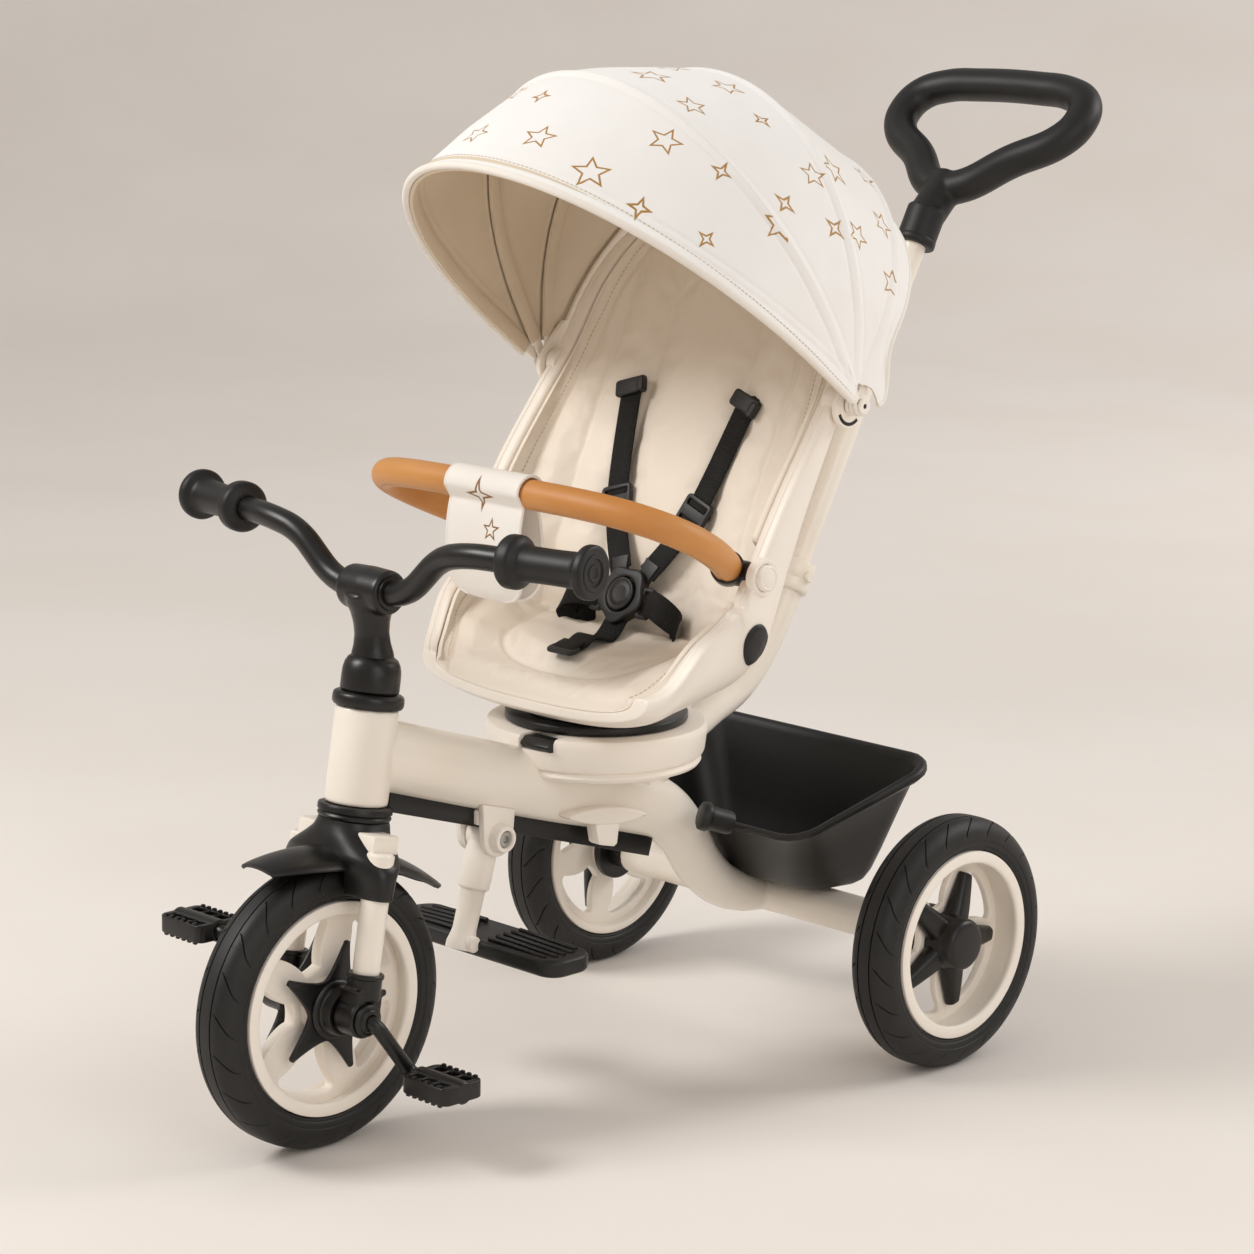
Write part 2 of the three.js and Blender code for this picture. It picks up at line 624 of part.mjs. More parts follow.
function forkPieces(extra = 0) {
  // The sides slope, so they grow twice as far sideways to keep the same gap.
  const crownRing = (half, rear, z) => {
    const x = half + 2 * extra;
    return [v3(-x, -20 - extra, z), v3(x, -20 - extra, z), v3(x, rear + extra, z), v3(-x, rear + extra, z)];
  };
  const crown = (halfTop, halfBottom, z0, z1) =>
    loft([crownRing(halfTop, 12, z1 + extra), crownRing(halfBottom, 3, z0 - extra)]);
  return [
    crown(18, LEG_X + 6, -43, -19),
    cylinderZ(STEERER_R + extra, -30, STEM_TOP - 4, 0, 0, 14),
    ...[-1, 1].map((side) => cylinderZ(LEG_R + extra, LEG_BOTTOM, extra - 34, side * LEG_X, -LEG_FORWARD, 14)),
  ];
}

addMesh(head, 'fork', build(forkPieces()), CREAM_PAINT);

// Fairing: the bell over the fork crown and the mudguard leaf that passes through it.
const GUARD_TIPS = { front: -36.5, rear: 51 };

function guardGeometry() {
  const rings = [];
  const steps = 9;
  for (let i = 0; i <= steps; i += 1) {
    const t = i / steps;
    const angle = rad(GUARD_TIPS.front + (GUARD_TIPS.rear - GUARD_TIPS.front) * t);
    const fromMiddle = Math.abs(2 * t - 0.92);
    const radius = FRONT_TYRE_R + 11 + 17 * fromMiddle ** 2;
    const halfW = 4 + 31 * Math.sqrt(Math.max(0, 1 - Math.min(1, fromMiddle / 1.06) ** 2.6));
    const out = v3(0, Math.sin(angle), Math.cos(angle));
    const centre = v3(0, -FORK_OFFSET, -FORK_DROP).add(out.clone().multiplyScalar(radius));
    const across = [-1, -0.5, 0, 0.5, 1];
    const arch = (x) => -((x * halfW) ** 2) / 95;
    const top = across.map((x) => centre.clone().add(v3(x * halfW, 0, 0)).add(out.clone().multiplyScalar(arch(x) + 3)));
    const under = across.slice().reverse()
      .map((x) => centre.clone().add(v3(x * halfW, 0, 0)).add(out.clone().multiplyScalar(arch(x))));
    rings.push([...top, ...under]);
  }
  const outline = [];
  for (let k = 0; k < 5; k += 1) outline.push(new THREE.Vector2(k, 1 - 0.1 * (k - 2) ** 2));
  for (let k = 4; k >= 0; k -= 1) outline.push(new THREE.Vector2(k, -0.1 * (k - 2) ** 2));
  return loft(rings, { outline });
}

function bellGeometry() {
  // Height, half width, half depth and middle in Y of each ring.
  const rows = [
    [-LOWER_CUP_H - FIT, 29, 29, 0], [-22, 33, 30, -1], [-32, 47, 30, -3], [-42, 61, 28, -6],
    [-54, 66, 23, -9], [-74, 67, 18, -10],
  ];
  const rings = rows.map(([z, halfX, halfY, middle]) => Array.from({ length: 14 }, (_, k) => {
    const angle = (k / 14) * 2 * Math.PI;
    const round = (value) => Math.sign(value) * Math.abs(value) ** 0.8;
    return v3(halfX * round(Math.cos(angle)), middle + halfY * round(Math.sin(angle)), z);
  }));
  return loft(rings);
}

function fairingGeometry() {
  const tyreSpace = cylinderX(FRONT_TYRE_R + 6, -TYRE_W / 2 - 6, TYRE_W / 2 + 6, -FORK_OFFSET, -FORK_DROP, 20);
  return build([bellGeometry(), guardGeometry()], [...forkPieces(2 * FIT), tyreSpace]);
}

addMesh(head, 'fork_fairing', fairingGeometry(), BLACK_PLASTIC);

function dropoutGeometry() {
  const inner = HUB_END + 1;
  const outer = inner + DROPOUT_T;
  const sleeve = cylinderZ(LEG_R + 3, LEG_BOTTOM - 4, LEG_BOTTOM + 18, LEG_X, -LEG_FORWARD, 14);
  const eye = cylinderX(17, inner, outer, -FORK_OFFSET, -FORK_DROP, 14);
  const web = block(inner, outer, -FORK_OFFSET - 12, -FORK_OFFSET + 17, -FORK_DROP, LEG_BOTTOM + 4);
  const legHole = cylinderZ(LEG_R + FIT, LEG_BOTTOM - FIT, LEG_BOTTOM + 30, LEG_X, -LEG_FORWARD, 14);
  const axleHole = cylinderX(CRANK_R + FIT, inner - 1, outer + 1, -FORK_OFFSET, -FORK_DROP, 14);
  const hubRoom = cylinderX(HUB_R + 1, 0, inner, -FORK_OFFSET, -FORK_DROP, 24);
  return build([sleeve, eye, web], [legHole, axleHole, hubRoom]);
}

const dropout = dropoutGeometry();
addMesh(head, 'dropout_left', dropout, BLACK_PLASTIC);
addMesh(head, 'dropout_right', mirroredX(dropout), BLACK_PLASTIC);

const barCentre = v3(0, -BAR_REACH, BAR_RISE);

function stemGeometry() {
  const skirt = upperCupTop + FIT;
  const dome = spunZ([
    [0, skirt], [25, skirt], [26, skirt + 2], [26, skirt + 16], [24.5, skirt + 26], [20.5, STEM_TOP],
    [0, STEM_TOP],
  ], 16);
  const neck = rodBetween(v3(0, 0, STEM_TOP - 8), barCentre, 17, 14);
  const clampBarrel = cylinderX(19, -26, 26, barCentre.y, barCentre.z, 14);
  const barHole = cylinderX(BAR_R + FIT, -30, 30, barCentre.y, barCentre.z, 14);
  const steererHole = cylinderZ(STEERER_R + FIT, skirt - 1, STEM_TOP - 4 + FIT, 0, 0, 14);
  return build([dome, neck, clampBarrel], [barHole, steererHole]);
}

addMesh(head, 'stem', stemGeometry(), BLACK_PLASTIC);

// Handlebar: straight in the clamp, rising on each side, then swept back into the grips.
const gripStart = v3(168, -19.5, 235.8);
const gripDir = v3(86, 16, 2.6).normalize();
const onGrip = (distance) => gripStart.clone().add(gripDir.clone().multiplyScalar(distance));
const GRIP_WALL = 8;

function handlebarGeometry() {
  const half = [
    v3(46, barCentre.y, barCentre.z), v3(92, -22, 227), onGrip(-40), onGrip(GRIP_LEN - GRIP_WALL - FIT),
  ];
  const mirror = half.map((p) => v3(-p.x, p.y, p.z)).reverse();
  return tube(bentPath([...mirror, ...half], 19, 3), BAR_R, { sides: 8 });
}

addMesh(head, 'handlebar', handlebarGeometry(), BLACK_PLASTIC);

function gripGeometry() {
  const bore = BAR_R + FIT;
  const end = GRIP_LEN;
  const profile = [
    [0, end], [GRIP_FLANGE_R - 2, end], [GRIP_FLANGE_R, end - 2], [GRIP_FLANGE_R, end - 9],
    [GRIP_FLANGE_R - 3, end - 12], [GRIP_R + 0.5, end - 15], [GRIP_R, end / 2], [GRIP_R + 0.5, 20],
    [GRIP_FLANGE_R - 4, 17], [GRIP_FLANGE_R, 13], [GRIP_FLANGE_R, 4], [GRIP_FLANGE_R - 3, 0],
    [bore, 0], [bore, end - GRIP_WALL], [0, end - GRIP_WALL],
  ];
  const points = facingOut(profile).map(([r, h]) => new THREE.Vector2(r, h));
  const turn = new THREE.Quaternion().setFromUnitVectors(v3(0, 1, 0), gripDir);
  return new THREE.LatheGeometry(points, 12).applyQuaternion(turn).translate(gripStart.x, gripStart.y, gripStart.z);
}

const grip = gripGeometry();
addMesh(head, 'grip_left', grip, BLACK_PLASTIC);
addMesh(head, 'grip_right', mirroredX(grip), BLACK_PLASTIC);

// ---------- wheels ----------
const TREAD_HALF = 8; // half width of the flat of the tread
const SHOULDER_DROP = 7;
const SHOULDER_IN = 6;

function tyreGeometry(outerR, rimR) {
  const half = TYRE_W / 2;
  const inner = rimR + FIT;
  const widest = inner + (outerR - inner) * 0.45;
  const shoulder = [outerR - SHOULDER_DROP, half - SHOULDER_IN];
  const side = [[outerR, TREAD_HALF], shoulder, [widest, half], [inner + 3, half], [inner, half - 2]];
  const otherSide = side.map(([r, x]) => [r, -x]).reverse();
  return spunX([...otherSide, ...side, otherSide[0]], 24);
}

// Disc with five windows between curved spokes, from x0 to x1.
function spokeDisc(discR, windowIn, windowOut, boreR, x0, x1, firstSpoke) {
  const circle = (r, sides) => discOutline(r, 0, 0, sides).map(([a, b]) => new THREE.Vector2(a, b));
  const shape = new THREE.Shape(circle(discR, 24));
  shape.holes.push(new THREE.Path(circle(boreR, 16)));
  const step = 360 / SPOKES;
  for (let k = 0; k < SPOKES; k += 1) {
    const middle = firstSpoke + step * (k + 0.5);
    const at = (r, degrees) => [r * Math.cos(rad(degrees)), r * Math.sin(rad(degrees))];
    const window = new THREE.Path();
    window.moveTo(...at(windowIn, middle - 14));
    window.quadraticCurveTo(...at(windowIn + 16, middle - 13), ...at(windowOut - 5, middle - 25));
    window.lineTo(...at(windowOut, middle - 19));
    window.quadraticCurveTo(...at(windowOut * 1.05, middle), ...at(windowOut, middle + 19));
    window.lineTo(...at(windowOut - 5, middle + 25));
    window.quadraticCurveTo(...at(windowIn + 16, middle + 13), ...at(windowIn, middle + 14));
    window.lineTo(...at(windowIn, middle - 14));
    shape.holes.push(window);
  }
  const geometry = new THREE.ExtrudeGeometry(shape, { depth: x1 - x0, bevelEnabled: false, curveSegments: 2 });
  geometry.applyMatrix4(new THREE.Matrix4().makeBasis(v3(0, 1, 0), v3(0, 0, 1), v3(1, 0, 0)));
  return geometry.translate(x0, 0, 0);
}

function ring(innerR, outerR, x0, x1, segments = 16) {
  return spunX([[innerR, x1], [outerR, x1], [outerR, x0], [innerR, x0], [innerR, x1]], segments);
}

const SPOOL_R = 14;
const FRONT_BOSS_HALF = 16;

function frontRimGeometry() {
  const half = RIM_W / 2;
  const barrel = spunX([
    [FRONT_RIM_R, -half], [FRONT_RIM_R, half], [FRONT_RIM_R - 10, half], [FRONT_RIM_R - 12, half - 3],
    [FRONT_RIM_R - 8, half - 9], [FRONT_RIM_R - 8, 9 - half], [FRONT_RIM_R - 12, 3 - half],
    [FRONT_RIM_R - 10, -half], [FRONT_RIM_R, -half],
  ], 24);
  const disc = spokeDisc(FRONT_RIM_R - 5, 36, 80, SPOOL_R + FIT, -7, 7, FRONT_SPOKE_ANGLE);
  return build([barrel, disc, ring(SPOOL_R + FIT, 24, -FRONT_BOSS_HALF, FRONT_BOSS_HALF)]);
}

// Five-pointed plate with hollow sides.
function starOutline(tipR, valleyR, first) {
  const outline = [];
  for (let k = 0; k < SPOKES; k += 1) {
    const tip = rad(first + (k * 360) / SPOKES);
    const next = rad(first + ((k + 1) * 360) / SPOKES);
    const polar = (r, angle) => new THREE.Vector2(r * Math.cos(angle), r * Math.sin(angle));
    const curve = new THREE.SplineCurve([
      polar(tipR, tip + 0.05), polar(valleyR + 6, tip + (next - tip) * 0.3), polar(valleyR, (tip + next) / 2),
      polar(valleyR + 6, next - (next - tip) * 0.3), polar(tipR, next - 0.05),
    ]);
    outline.push(...curve.getPoints(3).map((p) => [p.x, p.y]));
  }
  return outline;
}

const FRONT_SPOKE_ANGLE = 83;
const REAR_SPOKE_ANGLE = 66;

function frontHubGeometry() {
  const plateIn = FRONT_BOSS_HALF + FIT;
  const star = starOutline(60, 27, FRONT_SPOKE_ANGLE);
  const pieces = [cylinderX(SPOOL_R, -HUB_END + 1, HUB_END - 1, 0, 0, 16)];
  for (const side of [-1, 1]) {
    const span = (a, b) => (side > 0 ? [a, b] : [-b, -a]);
    pieces.push(plateX(star, ...span(plateIn, plateIn + 4)));
    pieces.push(cylinderX(24, ...span(plateIn + 3, plateIn + 9), 0, 0, 14));
    pieces.push(cylinderX(HUB_R, ...span(plateIn + 8, HUB_END), 0, 0, 14));
  }
  const bore = cylinderX(CRANK_R + FIT, -HUB_END - 1, HUB_END + 1, 0, 0, 14);
  return build(pieces, [bore]);
}

addMesh(frontHub, 'front_tyre', tyreGeometry(FRONT_TYRE_R, FRONT_RIM_R), TYRE_RUBBER);
addMesh(frontHub, 'front_rim', frontRimGeometry(), CREAM_PLASTIC);
addMesh(frontHub, 'front_hub', frontHubGeometry(), BLACK_PLASTIC);

// Crank axle: one forged rod, bent into a crank and a pedal spindle at each end.
const crankEnd = (side) => v3(0, side * CRANK_THROW * Math.SQRT1_2, -side * CRANK_THROW * Math.SQRT1_2);

function crankGeometry() {
  const corners = [];
  for (const side of [-1, 1]) {
    const end = crankEnd(side);
    const arm = [v3(side * 73, 0, 0), v3(side * 77, end.y, end.z), v3(side * (PEDAL_IN + PEDAL_LEN - 5), end.y, end.z)];
    corners.push(...(side < 0 ? arm.reverse() : arm));
  }
  const rod = tube(bentPath(corners, 9, 2), CRANK_R, { sides: 8 });
  const nutIn = HUB_END + 1 + DROPOUT_T + FIT;
  const nuts = [-1, 1].map((side) => cylinderX(13, ...(side > 0 ? [nutIn, nutIn + 5] : [-nutIn - 5, -nutIn]), 0, 0, 14));
  return build([rod, ...nuts]);
}

addMesh(frontHub, 'crank_axle', crankGeometry(), BLACK_PLASTIC);

function pedalGeometry() {
  const [x0, x1] = [PEDAL_IN, PEDAL_IN + PEDAL_LEN];
  const halfY = PEDAL_DEPTH / 2;
  const halfZ = PEDAL_H / 2;
  const tread = plateX([
    [-halfY, -halfZ + 5], [-halfY + 5, -halfZ], [halfY - 5, -halfZ], [halfY, -halfZ + 5],
    [halfY, halfZ - 5], [halfY - 5, halfZ], [-halfY + 5, halfZ], [-halfY, halfZ - 5],
  ], x0, x1);
  const windows = [-1, 1].flatMap((side) => [0, 1, 2].map((k) => {
    const x = x0 + 10 + k * 14;
    return block(x, x + 10, side * 13 - 4, side * 13 + 4, -halfZ - 1, halfZ + 1);
  }));
  const bore = cylinderX(CRANK_R + FIT, x0 - 1, x1 - 4, 0, 0, 14);
  return build([tread], [...windows, bore]);
}

const pedal = pedalGeometry();
for (const [side, name, geometry] of [[1, 'pedal_left', pedal], [-1, 'pedal_right', mirroredX(pedal)]]) {
  const mesh = addMesh(frontHub, name, geometry, BLACK_PLASTIC);
  mesh.position.copy(crankEnd(side));
  mesh.rotation.x = rad(HEAD_TILT);
}

// Rear wheels: deep dish rims, +X outboard.
const REAR_SPOOL_R = 17;
const DISC_IN = -14;
const DISC_OUT = -6;

function rearRimGeometry() {
  const half = RIM_W / 2;
  const barrel = spunX([
    [REAR_RIM_R, -half], [REAR_RIM_R, half], [REAR_RIM_R - 10, half], [REAR_RIM_R - 12, half - 3],
    [REAR_RIM_R - 9, half - 9], [REAR_RIM_R - 9, DISC_IN], [REAR_RIM_R - 8, -half], [REAR_RIM_R, -half],
  ], 24);
  const disc = spokeDisc(REAR_RIM_R - 6, 34, 72, REAR_SPOOL_R + FIT, DISC_IN, DISC_OUT, REAR_SPOKE_ANGLE);
  return build([barrel, disc, ring(REAR_SPOOL_R + FIT, 25, DISC_IN - 5, DISC_OUT)]);
}

// Hub with five tapered arms laid on the spokes, and a round cap.
function rearHubGeometry() {
  const inboard = FIT - HUB_INBOARD;
  const arms = Array.from({ length: SPOKES }, (_, k) => {
    const section = (r, halfW, top) => [
      v3(DISC_OUT + FIT, -halfW, r), v3(DISC_OUT + FIT, halfW, r), v3(top, halfW * 0.62, r), v3(top, -halfW * 0.62, r),
    ];
    const arm = loft([section(10, 14, 14), section(30, 12, 11), section(66, 7.5, 3)]);
    return arm.rotateX(rad(REAR_SPOKE_ANGLE - 90 + (k * 360) / SPOKES));
  });
  const cap = spunX([
    [0, 14], [24, 14], [24.5, 22], [22, 25.5], [0, 25.5],
  ], 16);
  const innerFlange = cylinderX(30, DISC_IN - 14, DISC_IN - 5 - FIT, 0, 0, 14);
  const spool = cylinderX(REAR_SPOOL_R, inboard, 15, 0, 0, 16);
  const bore = cylinderX(AXLE_R + FIT, inboard - 1, 11.5, 0, 0, 14);
  return build([spool, cap, innerFlange, ...arms], [bore]);
}

const rearTyre = tyreGeometry(REAR_TYRE_R, REAR_RIM_R);
const rearRim = rearRimGeometry();
const rearHub = rearHubGeometry();
for (const [side, label] of [[1, 'left'], [-1, 'right']]) {
  const wheel = group(tricycle, (side * REAR_TRACK) / 2, 0, REAR_TYRE_R);
  wheel.rotation.z = side > 0 ? 0 : Math.PI;
  addMesh(wheel, `rear_tyre_${label}`, rearTyre, TYRE_RUBBER);
  addMesh(wheel, `rear_rim_${label}`, rearRim, CREAM_PLASTIC);
  addMesh(wheel, `rear_hub_${label}`, rearHub, BLACK_PLASTIC);
}

// ---------- turntable ----------
function turntableGeometry() {
  const top = TURN_Z + DISC_H + FIT;
  const disc = spunZ([
    [0, TURN_Z - 18], [SPIGOT_R, TURN_Z - 18], [SPIGOT_R, TURN_Z + FIT], [DISC_R - 2, TURN_Z + FIT],
    [DISC_R, TURN_Z + 3], [DISC_R, top - 2], [DISC_R - 2, top], [0, top],
  ], 24).translate(0, TURN_Y, 0);
  const pockets = [-1, 1].map((side) =>
    block(side * EAR_X - EAR_T / 2 - FIT, side * EAR_X + EAR_T / 2 + FIT, HINGE_Y - EAR_R - 2, HINGE_Y + EAR_R + 2,
      TURN_Z - 1, HINGE_Z + 12));
  const saddle = cylinderX(6.5, -EAR_X - EAR_T / 2 - 8, EAR_X + EAR_T / 2 + 8, HINGE_Y, HINGE_Z, 14);
  const pin = cylinderX(HINGE_PIN_R, -EAR_X - EAR_T, EAR_X + EAR_T, HINGE_Y, HINGE_Z, 12);
  const body = build([disc, saddle], pockets);
  return build([body, pin]);
}

addMesh(tricycle, 'turntable', turntableGeometry(), BLACK_PLASTIC);

// ---------- seat ----------
// Each row: Y, Z of the outer surface on the centre line, lean of the inward normal (0 up, 90
// forward), half width, height of the side wing above the outer surface, padded height.
const SEAT_ROWS = [
  [-331, 353, -14, 146, 29, 16],
  [-312, 344.5, -7, 162, 47, 36],
  [-280, 344, 0, 174, 82, 48],
  [-236, 351, 8, 182, 100, 46],
  [-196, 362, 28, 186, 108, 44],
  [-164, 391, 48, 188, 104, 40],
  [-146, 427, 62, 188, 102, 38],
  [-134, 470, 69, 188, 91, 37],
  [-115, 528, 69.5, 187, 76, 36],
  [-94, 588, 70, 185, 57, 34],
  [-76, 640, 70, 181, 41, 32],
  [-56, 700, 70, 171, 33, 28],
  [-39, 748, 70, 146, 26, 24],
  [-29, 776, 70, 100, 20, 18],
  [-26, 785, 70, 62, 17, 14],
];
const WING_POWER = 2.6;
const SEAT_STEPS = 13;

// Reads the rows between two of them; share runs from 0 at the lip to 1 at the top.
function seatAt(share) {
  const place = share * (SEAT_ROWS.length - 1);
  const index = Math.min(Math.floor(place), SEAT_ROWS.length - 2);
  const local = place - index;
  const row = (i) => SEAT_ROWS[THREE.MathUtils.clamp(i, 0, SEAT_ROWS.length - 1)];
  const value = (column) => {
    const [a, b, c, d] = [row(index - 1), row(index), row(index + 1), row(index + 2)].map((r) => r[column]);
    return 0.5 * (2 * b + (c - a) * local + (2 * a - 5 * b + 4 * c - d) * local ** 2
      + (3 * b - a - 3 * c + d) * local ** 3);
  };
  const [y, z, lean, halfW, wing, pad] = [0, 1, 2, 3, 4, 5].map(value);
  return { y, z, inward: v3(0, -Math.sin(rad(lean)), Math.cos(rad(lean))), halfW, wing, pad };
}

// Height of a trough-shaped section at x: floor in the middle, rising to top at half width.
function trough(x, halfW, floor, top, power) {
  const share = Math.min(1, Math.abs(x) / halfW);
  return floor + (top - floor) * (1 - (1 - share ** power) ** (1 / power));
}

// Point of the seat at a share of its length, x across and a height above the outer surface.
function seatPoint(station, x, height) {
  return v3(x, station.y, station.z).add(station.inward.clone().multiplyScalar(height));
}

const ACROSS = [-1, -0.96, -0.8, -0.45, 0, 0.45, 0.8, 0.96, 1];
const PAD_POWER = 2.2;
const padHeight = (station, x) => {
  const half = station.halfW - SHELL_RIM - FIT;
  return trough(x, half, station.pad, station.wing + 4, PAD_POWER);
};

function seatLoft(lower, upper) {
  const rings = [];
  let outline = null;
  for (let i = 0; i <= SEAT_STEPS; i += 1) {
    const station = seatAt(i / SEAT_STEPS);
    const low = lower(station);
    const high = upper(station).reverse();
    rings.push([...low, ...high].map(([x, height]) => seatPoint(station, x, height)));
    if (i === 0) outline = [...low, ...high].map(([x, height]) => new THREE.Vector2(x, height));
  }
  return loft(rings, { outline });
}

function shellSkin() {
  const outer = (s) => ACROSS.map((a) => [a * s.halfW, trough(a * s.halfW, s.halfW, 0, s.wing, WING_POWER)]);
  const inner = (s) => {
    const half = s.halfW - SHELL_RIM;
    return ACROSS.map((a) => [a * half, trough(a * half, half, SHELL_T, s.wing + 0.5, WING_POWER)]);
  };
  return seatLoft(outer, inner);
}

function linerSkin() {
  const lower = (s) => {
    const half = s.halfW - SHELL_RIM - FIT;
    return ACROSS.map((a) => [a * half, trough(a * half, half, SHELL_T + FIT, s.wing + 0.9, WING_POWER)]);
  };
  const upper = (s) => {
    const half = s.halfW - SHELL_RIM - FIT;
    return ACROSS.map((a) => [a * half, padHeight(s, a * half)]);
  };
  return seatLoft(lower, upper);
}

const seatSide = BRACKET_X - FIT;

function shellGeometry() {
  const ears = [-1, 1].map((side) => plateX([
    ...discOutline(EAR_R, HINGE_Y, HINGE_Z, 16).slice(8, 17), [HINGE_Y + EAR_R, 358], [HINGE_Y - EAR_R, 358],
  ], side * EAR_X - EAR_T / 2, side * EAR_X + EAR_T / 2));
  const earHoles = cylinderX(HINGE_PIN_R + FIT, -60, 60, HINGE_Y, HINGE_Z, 12);
  const bosses = [-1, 1].map((side) => {
    const [a, b] = [side * (seatAt(10 / 14).halfW - 8), side * seatSide];
    return cylinderX(13, Math.min(a, b), Math.max(a, b), PIVOT_Y, PIVOT_Z, 12);
  });
  const buttonHoles = cylinderX(BUTTON_R + FIT, -200, 200, BUMPER_PIVOT.y, BUMPER_PIVOT.z, 14);
  const pinHoles = [-1, 1].map((side) => cylinderX(BOW_PIN_R + FIT, ...(side > 0
    ? [BRACKET_X - 9, 220] : [-220, 9 - BRACKET_X]), PIVOT_Y, PIVOT_Z, 12));
  const saddleRoom = cylinderX(8.5, -EAR_X + EAR_T / 2 + 1, EAR_X - EAR_T / 2 - 1, HINGE_Y, HINGE_Z, 14);
  return build([shellSkin(), ...ears, ...bosses], [earHoles, buttonHoles, ...pinHoles, saddleRoom]);
}

addMesh(tricycle, 'seat_shell', shellGeometry(), CREAM_PLASTIC);

// ---------- bumper bar ----------
const bumperDir = v3(0, -Math.cos(rad(BUMPER_TILT)), Math.sin(rad(BUMPER_TILT)));
const bumperAt = (x, distance) =>
  v3(x, BUMPER_PIVOT.y, BUMPER_PIVOT.z).add(bumperDir.clone().multiplyScalar(distance));
const SLEEVE_R = BUMPER_R + 2;
const SLEEVE_LEN = 11;
const ARM_POCKET_R = 29;

function linerGeometry() {
  const inner = BUMPER_X - SLEEVE_R - 3;
  const pockets = [-1, 1].map((side) => {
    const [a, b] = side > 0 ? [inner, 190] : [-190, -inner];
    return cylinderX(ARM_POCKET_R, a, b, BUMPER_PIVOT.y, BUMPER_PIVOT.z, 14);
  });
  return build([linerSkin()], pockets);
}

addMesh(tricycle, 'seat_liner', linerGeometry(), SEAT_FABRIC);

function bumperPath() {
  const start = 9;
  return Array.from({ length: 19 }, (_, k) => {
    const angle = (k / 18) * Math.PI;
    const forward = Math.sin(angle) ** (2 / BUMPER_POWER);
    const across = Math.sign(Math.cos(angle)) * Math.abs(Math.cos(angle)) ** (2 / BUMPER_POWER);
    const half = BUMPER_X + BUMPER_SPLAY * Math.min(1, 2 * forward);
    return bumperAt(half * across, start + (BUMPER_REACH - start) * forward);
  });
}

addMesh(tricycle, 'bumper_bar', tube(bumperPath(), BUMPER_R, { sides: 10 }), TAN_LEATHER);

// Black end fitting: a sleeve over the bar and a round boss that turns in the shell's wall.
function bumperEndGeometry() {
  const wall = SEAT_ROWS[7][3];
  const [first, second] = bumperPath().map((point) => point.clone());
  const outwards = second.sub(first).normalize();
  const sleeve = rodBetween(
    first.clone().addScaledVector(outwards, -6), first.clone().addScaledVector(outwards, SLEEVE_LEN), SLEEVE_R, 14);
  const boss = cylinderX(BUTTON_R, BUMPER_X, wall - 12, BUMPER_PIVOT.y, BUMPER_PIVOT.z, 14);
  return build([sleeve, boss], [tube(bumperPath(), BUMPER_R + FIT, { sides: 10 })]);
}

const bumperEnd = bumperEndGeometry();
addMesh(tricycle, 'bumper_end_left', bumperEnd, BLACK_PLASTIC);
addMesh(tricycle, 'bumper_end_right', mirroredX(bumperEnd), BLACK_PLASTIC);

function bumperButtonGeometry() {
  const wall = SEAT_ROWS[7][3];
  return spunX([
    [0, wall - 8], [BUTTON_R, wall - 8], [BUTTON_R, wall + 3], [BUTTON_R - 2, wall + 6], [0, wall + 6.5],
  ], 20).translate(0, BUMPER_PIVOT.y, BUMPER_PIVOT.z);
}

const bumperButton = bumperButtonGeometry();
addMesh(tricycle, 'bumper_button_left', bumperButton, CREAM_PLASTIC);
addMesh(tricycle, 'bumper_button_right', mirroredX(bumperButton), CREAM_PLASTIC);

// Fabric cover over the middle of the bar: it hangs down as a closed flap.
const FLAP = { half: 46, drop: 108, r: BUMPER_R + 1.6, thick: 3 };

function bumperCoverGeometry() {
  const middle = bumperAt(0, BUMPER_REACH);
  const outline = (r, drop, foot) => {
    const top = Array.from({ length: 9 }, (_, k) => {
      const angle = rad(-10 + 25 * k);
      return [middle.y + r * Math.cos(angle), middle.z + r * Math.sin(angle)];
    });
    return [...top, [middle.y - foot, middle.z - drop], [middle.y + foot, middle.z - drop]];
  };
  const { half, drop, r, thick } = FLAP;
  const cover = plateX(outline(r + thick, drop, 4.5), -half, half);
  const inside = plateX(outline(r, drop - thick, 1.2), -half - 1, half + 1);
  return build([cover], [inside]);
}

addMesh(tricycle, 'bumper_cover', bumperCoverGeometry(), CANOPY_FABRIC);

// Oval covers over the seat's side screws, shaped to the shell.
const COVER = { y: -222, z: 426, halfY: 16, halfZ: 22, lean: 8 };

function filledSeat(extra) {
  const lower = (s) => ACROSS.map((a) => {
    const half = s.halfW + extra;
    return [a * half, trough(a * half, half, -extra, s.wing, WING_POWER)];
  });
  const upper = (s) => ACROSS.map((a) => [a * (s.halfW + extra), s.wing + 1]);
  return seatLoft(lower, upper);
}

function coverGeometry() {
  const outline = Array.from({ length: 20 }, (_, k) => {
    const angle = (k / 20) * 2 * Math.PI;
    const [a, b] = [COVER.halfY * Math.cos(angle), COVER.halfZ * Math.sin(angle)];
    const turn = rad(COVER.lean);
    return [COVER.y + a * Math.cos(turn) + b * Math.sin(turn), COVER.z - a * Math.sin(turn) + b * Math.cos(turn)];
  });
  const column = solid(plateX(outline, 140, 220));
  return shapeOf(column.intersect(solid(filledSeat(3.2))).subtract(solid(filledSeat(FIT))));
}

const sideCover = coverGeometry();
addMesh(tricycle, 'side_cover_left', sideCover, BLACK_PLASTIC);
addMesh(tricycle, 'side_cover_right', mirroredX(sideCover), BLACK_PLASTIC);

